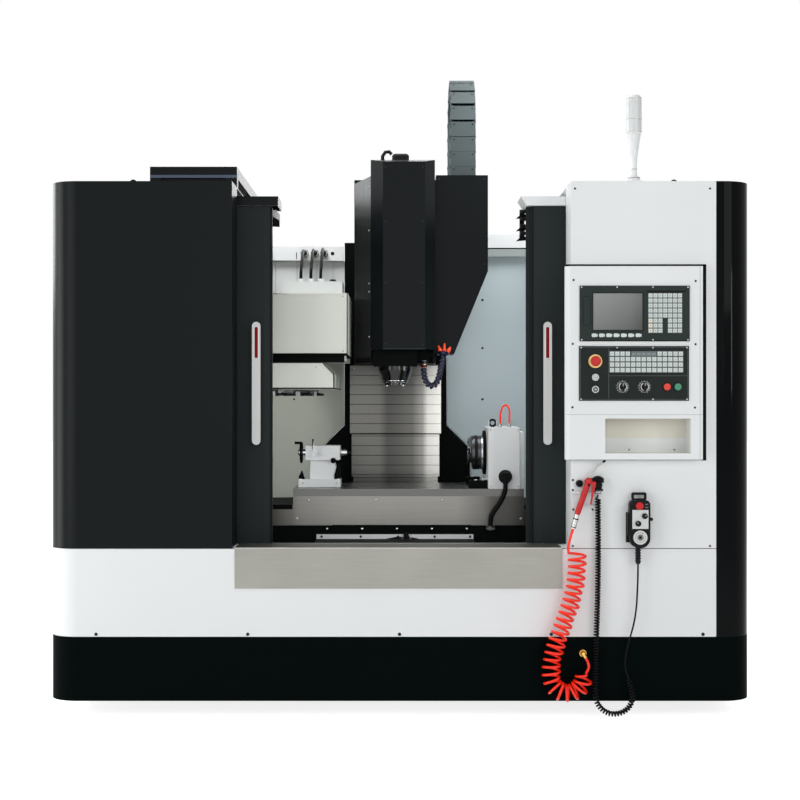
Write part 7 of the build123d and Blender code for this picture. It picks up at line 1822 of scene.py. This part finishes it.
@dataclass
class ToolMagazine(Assembly):
    """The tool carousel, its hood and its box."""

    x: float = -673.0
    y: float = 765.0
    plate_z: float = 1304.0
    pocket_circle: float = 286.0
    pockets: int = 16

    def build(self) -> None:
        """Adds grippers, edges, screws and number plates."""
        reach = 340.0
        low, high = (self.x - reach, self.y - reach, 1290.0), (self.x + reach, self.y + reach, 1305.6)
        self.zone("carousel", "moulding", low, high,
                  lambda face: face.center.z * 1000 < self.plate_z + 0.4 and abs(face.normal.z) < 0.5)
        path = circle(self.x, self.y, self.plate_z - 1, self.pocket_circle + 14, Axis.Z, 96)
        grip = Form("moulding", local=True)
        for side in (-1, 1):
            claw = [(side * x, y) for x, y in ((33, 30), (46, 26), (47, -18), (36, -28), (24, -24), (33, -10))]
            grip.prism(Axis.Z, claw, -10, 0)
        self.spread("tool_grippers", grip, "moulding", path)
        plate = Form("key_cap", local=True).block(-12, 12, -23.5, -22, -11, 8)
        self.spread("pocket_plates", plate, "key_cap", path)
        spring = Form("bright_steel", local=True).block(-3.5, 3.5, -22, 20, -7, -1)
        self.spread("pocket_springs", spring, "bright_steel", path)
        hub = Form("screw_zinc").ring((self.x, self.y, 1318), UP, 60, 104, 4, 64)
        hub.use("deep_black").turned((self.x, self.y, 1304), DOWN, [(0, 92), (10, 92), (16, 80), (20, 30)], 64)
        self.fit("carousel_hub", hub, "tool_carousel", "ground_steel", 0.8)
        self.screws("carousel_screws", "tool_carousel", "screw_black", 6.0,
                    circle(self.x, self.y, 1303.6, 150, Axis.Z, 8), Facing.DOWN)
        # The undersides of the box and the hood are painted shade.
        self.zone("magazine_box", "deep_black", (-1045, 440, 1465), (-220, 1080, 1475),
                  lambda face: face.normal.z < -0.7)
        self.zone("magazine_hood", "deep_black", (-1010, 430, 1318), (-276, 1100, 1430),
                  lambda face: face.normal.z < -0.7)
        self.hood()
        self.box()

    def spread(self, name: str, item: Form, finish: str, path: Sequence[Point]) -> None:
        """Repeats one part of a pocket round the carousel."""
        self.pattern(name, "tool_carousel", "dark_plastic", Pattern.RING_IN_PLAN, item, finish, path,
                     count=self.pockets, closed=True)

    def hood(self) -> None:
        """Adds the hood's dark edges and screws."""
        edges = Form("deep_black")
        outline = [(-1003, 1322), (-281, 1322), (-281, 1384), (-329, 1432), (-332, 1430), (-286, 1383), (-286, 1327),
                   (-1003, 1327)]
        edges.prism(Axis.Y, outline, 433.4, 435.4)
        edges.prism(Axis.X, [(435, 1322), (435, 1326), (1095, 1326), (1095, 1322)], -281.6, -280.2)
        self.fit("hood_edges", edges, "magazine", "black_paint")
        self.screws("hood_screws", "magazine", "screw_zinc", 3.6, row(-960, -360, 4, 435, 1416))

    def box(self) -> None:
        """Adds the box's edge lines, the painted shade under it, its lid and the drive above it."""
        lines = Form("deep_black").block(-1040, -225, 448.8, 450.4, 1470, 1475)
        lines.block(-229, -225, 448.8, 450.4, 1470, 1734)
        lines.use("screw_zinc").block(-1040, -225, 449.0, 450.4, 1729, 1733)
        self.fit("magazine_box_edges", lines, "frame", "black_paint")
        # A dark slab under the box and a dark sheet between the box and the hood are painted shade.
        under = Form("deep_black").block(-1038, -227, 451, 1068, 1466, 1470.4).block(-1030, -240, 470, 474, 1436, 1467)
        self.fit("magazine_box_underside", under, "frame", "black_paint")
        self.zone("magazine_box", "white_coat", (-530, 640, 1736), (-240, 860, 1840))
        lid = Form("cream_coat").block(-1030, -560, 470, 1050, 1734, 1742)
        lid.use("moulding").turned((-300, 700, 1800), UP, [(0, 20), (4, 20), (6, 14), (12, 14)], 6)
        for x in (-450, -405, -360):
            lid.use("moulding").turned((x, 810, 1800), UP, [(0, 16), (8, 16), (9, 13), (22, 12), (27, 8.4)], 24)
        self.fit("magazine_lid", lid, "frame", "cream_paint", 1.0)
        self.screws("magazine_box_screws", "frame", "screw_zinc", 3.6,
                    [(x, 450, z) for x in (-1020, -632, -245) for z in (1484, 1720)])
        self.screws("lid_screws", "frame", "screw_zinc", 4.0,
                    [(x, y, 1742) for x in (-1015, -575) for y in (485, 1035)], Facing.UP)


@dataclass
class RearCabinet(Assembly):
    """The electrical cabinet at the back."""

    x: float = -22.0
    door_y: float = 2200.0
    top: float = 1950.0

    def build(self) -> None:
        """Adds handles, hinges, vents, eyes and the main switch."""
        y = self.door_y
        parts = Form("moulding")
        for side in (-1, 1):
            hx = self.x + side * 34
            parts.use("moulding").rounded_plate(hx - 13, hx + 13, y - 0.5, y + 6, 1120, 1270, 12)
            parts.use("bright_steel").block(hx - 8, hx + 8, y + 6, y + 16, 1140, 1235)
            for z in (640, 1225, 1810):
                x = self.x + side * 553
                parts.use("screw_zinc").rod((x, y - 3, z - 35), (x, y - 3, z + 35), 7, 20, 1.0)
            x = self.x + side * 500
            for eye_y in (2000, 2170):
                parts.use("moulding").turned((x, eye_y, self.top), UP, [(0, 20), (5, 20), (7, 11), (18, 11)], 24)
                parts.ring((x, eye_y - 4, self.top + 32), (0, 1, 0), 9, 17, 8, 28)
        parts.use("stop_ring").turned((self.x + 300, y, 1500), (0, 1, 0), [(0, 34), (5, 34), (6, 30)], 40)
        parts.use("signal_red").block(self.x + 292, self.x + 308, y + 5, y + 18, 1474, 1526)
        parts.use("moulding").block(self.x - 380, self.x - 220, y - 0.5, y + 9, 1560, 1720)
        self.fit("cabinet_fittings", parts, "frame", "dark_plastic", 1.0)
        slat = Form("deep_black", local=True).block(-60, 60, -1.2, 1.2, -3, 3)
        self.pattern("cabinet_vents", "frame", "dark_plastic", Pattern.ON_POINTS, slat, "deep_black",
                     [(self.x - 300, y + 9.4, 1580 + 15 * i) for i in range(9)])
        self.screws("cabinet_screws", "frame", "screw_zinc", 4.0,
                    [(self.x + sx * 530, y, z) for sx in (-1, 1) for z in (540, 1910)], Facing.REAR)


# Cords


@dataclass(frozen=True)
class Cord:
    """One free cord: its route, its coil and what it measures."""

    name: str
    route: tuple[Point, ...]
    diameter: float
    length: float
    nodes: tuple[str, ...]
    body: str = "frame"
    finish: str = "cable_black"
    slot: str = "black_rubber"
    lay: str = "hanging"
    stiffness: str = "medium"

    def build(self, owner: Assembly, points: Sequence[Vector] | None = None) -> bpy.types.Object:
        """Makes the cord as one smooth curve.

        Args:
            owner: the assembly that it belongs to.
            points: its control points in metres, or None for the route itself.

        Returns:
            The piece.
        """
        control = points or [place(p) for p in self.route]
        curve = self.curve(control)
        curve.bevel_depth = self.diameter / 2000.0
        curve.bevel_resolution = 4
        curve.use_fill_caps = True
        curve.materials.append(owner.shop.finishes[self.finish])
        piece = owner.stand(self.name, curve, self.body, self.slot, self.nodes)
        return piece

    def curve(self, points: Sequence[Vector]) -> bpy.types.Curve:
        """Lays one smooth spline through control points.

        Args:
            points: the control points, in metres.

        Returns:
            The curve.
        """
        curve = bpy.data.curves.new(self.name, "CURVE")
        curve.dimensions = "3D"
        curve.resolution_u = 5
        spline = curve.splines.new("NURBS")
        spline.points.add(len(points) - 1)
        for target, point in zip(spline.points, points):
            target.co = (*point, 1.0)
        spline.order_u = 3
        spline.use_endpoint_u = True
        return curve

    def line(self, route: Sequence[Point]) -> list[Vector]:
        """Reads the smooth line of a route from its spline.

        Args:
            route: the points, in millimetres.

        Returns:
            The points, in metres.
        """
        curve = self.curve([place(p) for p in route])
        curve.resolution_u = 24
        bare = bpy.data.objects.new("bare", curve)
        mesh = bpy.data.meshes.new_from_object(bare)
        points = [v.co.copy() for v in mesh.vertices]
        bpy.data.objects.remove(bare)
        bpy.data.meshes.remove(mesh)
        return points


@dataclass(frozen=True)
class CoiledCord(Cord):
    """A cord that is wound into turns round part of its route."""

    lead: tuple[Point, ...] = ()
    tail: tuple[Point, ...] = ()
    turns: float = 20.0
    radius: float = 30.0
    start_angle: float = math.pi
    end_radius: float = 1.0
    looseness: float = 0.05

    def wound(self) -> list[Vector]:
        """Works out the control points of the turns, with the lead before and the tail after them.

        Returns:
            The points, in metres.
        """
        line = self.line(self.route)
        lengths = [0.0]
        for a, b in zip(line, line[1:]):
            lengths.append(lengths[-1] + (b - a).length)
        frames = []
        side = Vector((math.cos(self.start_angle), 0.0, math.sin(self.start_angle)))
        for i in range(len(line)):
            way = (line[min(i + 1, len(line) - 1)] - line[max(i - 1, 0)]).normalized()
            side = (side - way * side.dot(way)).normalized()
            frames.append((side, way.cross(side)))
        steps = int(self.turns * 14)
        made = [place(p) for p in self.lead]
        span = 0
        for k in range(steps + 1):
            share = k / steps
            travel = share * lengths[-1]
            while span < len(line) - 2 and lengths[span + 1] < travel:
                span += 1
            part = (travel - lengths[span]) / max(lengths[span + 1] - lengths[span], 1e-9)
            centre = line[span].lerp(line[span + 1], min(max(part, 0.0), 1.0))
            near, far = frames[span], frames[span + 1]
            a = 2 * math.pi * self.turns * share
            number = self.turns * share
            swell = 1.0 + self.looseness * (0.6 * math.sin(1.9 * number) + 0.4 * math.sin(4.3 * number + 1.0))
            taper = min(1.0, (1.0 - share) * self.turns / 0.75 + self.end_radius)
            radius = self.radius / 1000.0 * swell * taper
            first = near[0].lerp(far[0], min(max(part, 0.0), 1.0))
            second = near[1].lerp(far[1], min(max(part, 0.0), 1.0))
            made.append(centre + (first * math.cos(a) + second * math.sin(a)) * radius)
        made.extend(place(p) for p in self.tail)
        return made


@dataclass
class Cords(Assembly):
    """Every free cord of the machine."""

    air_hose: CoiledCord = CoiledCord(
        name="air_hose", diameter=10.5, length=5.45, finish="hose_red", slot="red_hose",
        nodes=("air_lead", "air_coil"),
        route=((702, -50, 668), (703.5, -50, 610), (696, -50, 545), (682, -50, 482), (659, -50, 415), (633, -50, 345),
               (609, -50, 272), (597, -50, 205), (603, -50, 145.4), (632.4, -50, 116), (673.5, -50, 109.5),
               (710.6, -50, 128.4), (727, -50, 160.6), (728.5, -50, 188)),
        lead=((688, -34, 762), (676, -34, 720.7), (668, -39, 692)),
        tail=((741, -49, 196), (749, -47, 207), (750, -41.2, 228.4), (740.5, -30.6, 245.2)),
        turns=26.0, radius=33.0, end_radius=0.3, looseness=0.07)
    pendant_cord: CoiledCord = CoiledCord(
        name="pendant_cord", diameter=7.0, length=5.6,
        nodes=("pendant_curly_cord", "pendant_lead"), stiffness="limp",
        route=((789, -22, 880), (789, -22, 800), (790, -23, 680), (789, -24, 560), (786, -25, 440), (781.5, -26, 320),
               (778.5, -27, 212), (776, -28, 155), (776.5, -29, 105), (784.3, -30, 62.1), (819, -31, 28.7),
               (866.5, -32, 23), (909, -32.5, 44.6), (927.5, -33, 86), (918.6, -33, 128), (907, -33, 165)),
        lead=((789, -22, 898), (789, -22, 889)),
        tail=((896, -33, 200), (895, -33, 240), (903, -33, 285), (915, -33, 330), (930, -33, 380), (940, -33, 440),
              (944, -33, 505), (946.5, -33, 566), (947, -33, 634)),
        turns=96.0, radius=8.5, end_radius=0.3, looseness=0.04)
    rotary_cable: Cord = Cord(
        name="rotary_power_cable", diameter=20.0, length=0.2, body="table_unit",
        nodes=("rotary_cable",),
        route=((456, 478, 913), (456, 478, 883), (442, 474, 847), (422, 472, 815), (398, 473, 783), (391, 479, 757),
               (391, 479, 730)))
    rotary_loop: Cord = Cord(
        name="rotary_air_line", diameter=8.0, length=0.18, body="table_unit", finish="hose_red", slot="red_hose",
        nodes=("rotary_air_loop",),
        route=((438, 555, 1171), (438, 555, 1199), (441, 555, 1227), (453, 555, 1253), (473, 555, 1250),
               (480, 555, 1223), (478, 555, 1195), (478, 555, 1171)))

    @staticmethod
    def magazine_cable(index: int, start: float, end: float) -> Cord:
        """One of the cables from the rear beam's glands to the magazine's drive.

        Args:
            index: which cable, from the left.
            start: where it leaves the beam.
            end: where it enters the drive.

        Returns:
            The cable.
        """
        drift, sag = (end - start) / 4, 14.0 - 7.0 * index
        return Cord(
            name=f"magazine_cable_{index + 1}", diameter=14.0, length=0.565,
            nodes=("magazine_cables",),
            route=((start, 1314, 1990), (start, 1254, 1990), (start + drift, 1174, 1996 - sag / 2),
                   (start + 2 * drift, 1079, 1986 - sag), (start + 3 * drift, 984, 1964 - sag), (end, 904, 1932 - sag),
                   (end + 1, 840, 1886), (end, 810, 1852), (end, 810, 1824)))

    def build(self) -> None:
        """Makes every cord."""
        for coiled in (self.air_hose, self.pendant_cord):
            coiled.build(self, coiled.wound())
        self.rotary_cable.build(self)
        self.rotary_loop.build(self)
        for index, (start, end) in enumerate(((-466.0, -450.0), (-416.0, -405.0), (-371.0, -360.0))):
            self.magazine_cable(index, start, end).build(self)


def main() -> None:
    """Builds the machine's look in order."""
    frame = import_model()
    shop = Workshop(frame)
    Studio().build()
    for assembly in (
            Enclosure(shop), RearWalls(shop), Console(shop), SignalLamp(shop), Door(shop, -1, "left_leaf", -528.0),
            Door(shop, 1, "right_leaf", 544.0), Sill(shop), Accessories(shop), Head(shop), CoolantHose(shop),
            CableChain(shop), Shields(shop), SaddleAndTable(shop), RotaryTable(shop), Tailstock(shop),
            ToolMagazine(shop), RearCabinet(shop), Cords(shop)):
        LOG.info("building %s", type(assembly).__name__)
        assembly.build()


if __name__ == "__main__":
    logging.basicConfig(level=logging.INFO)
    main()
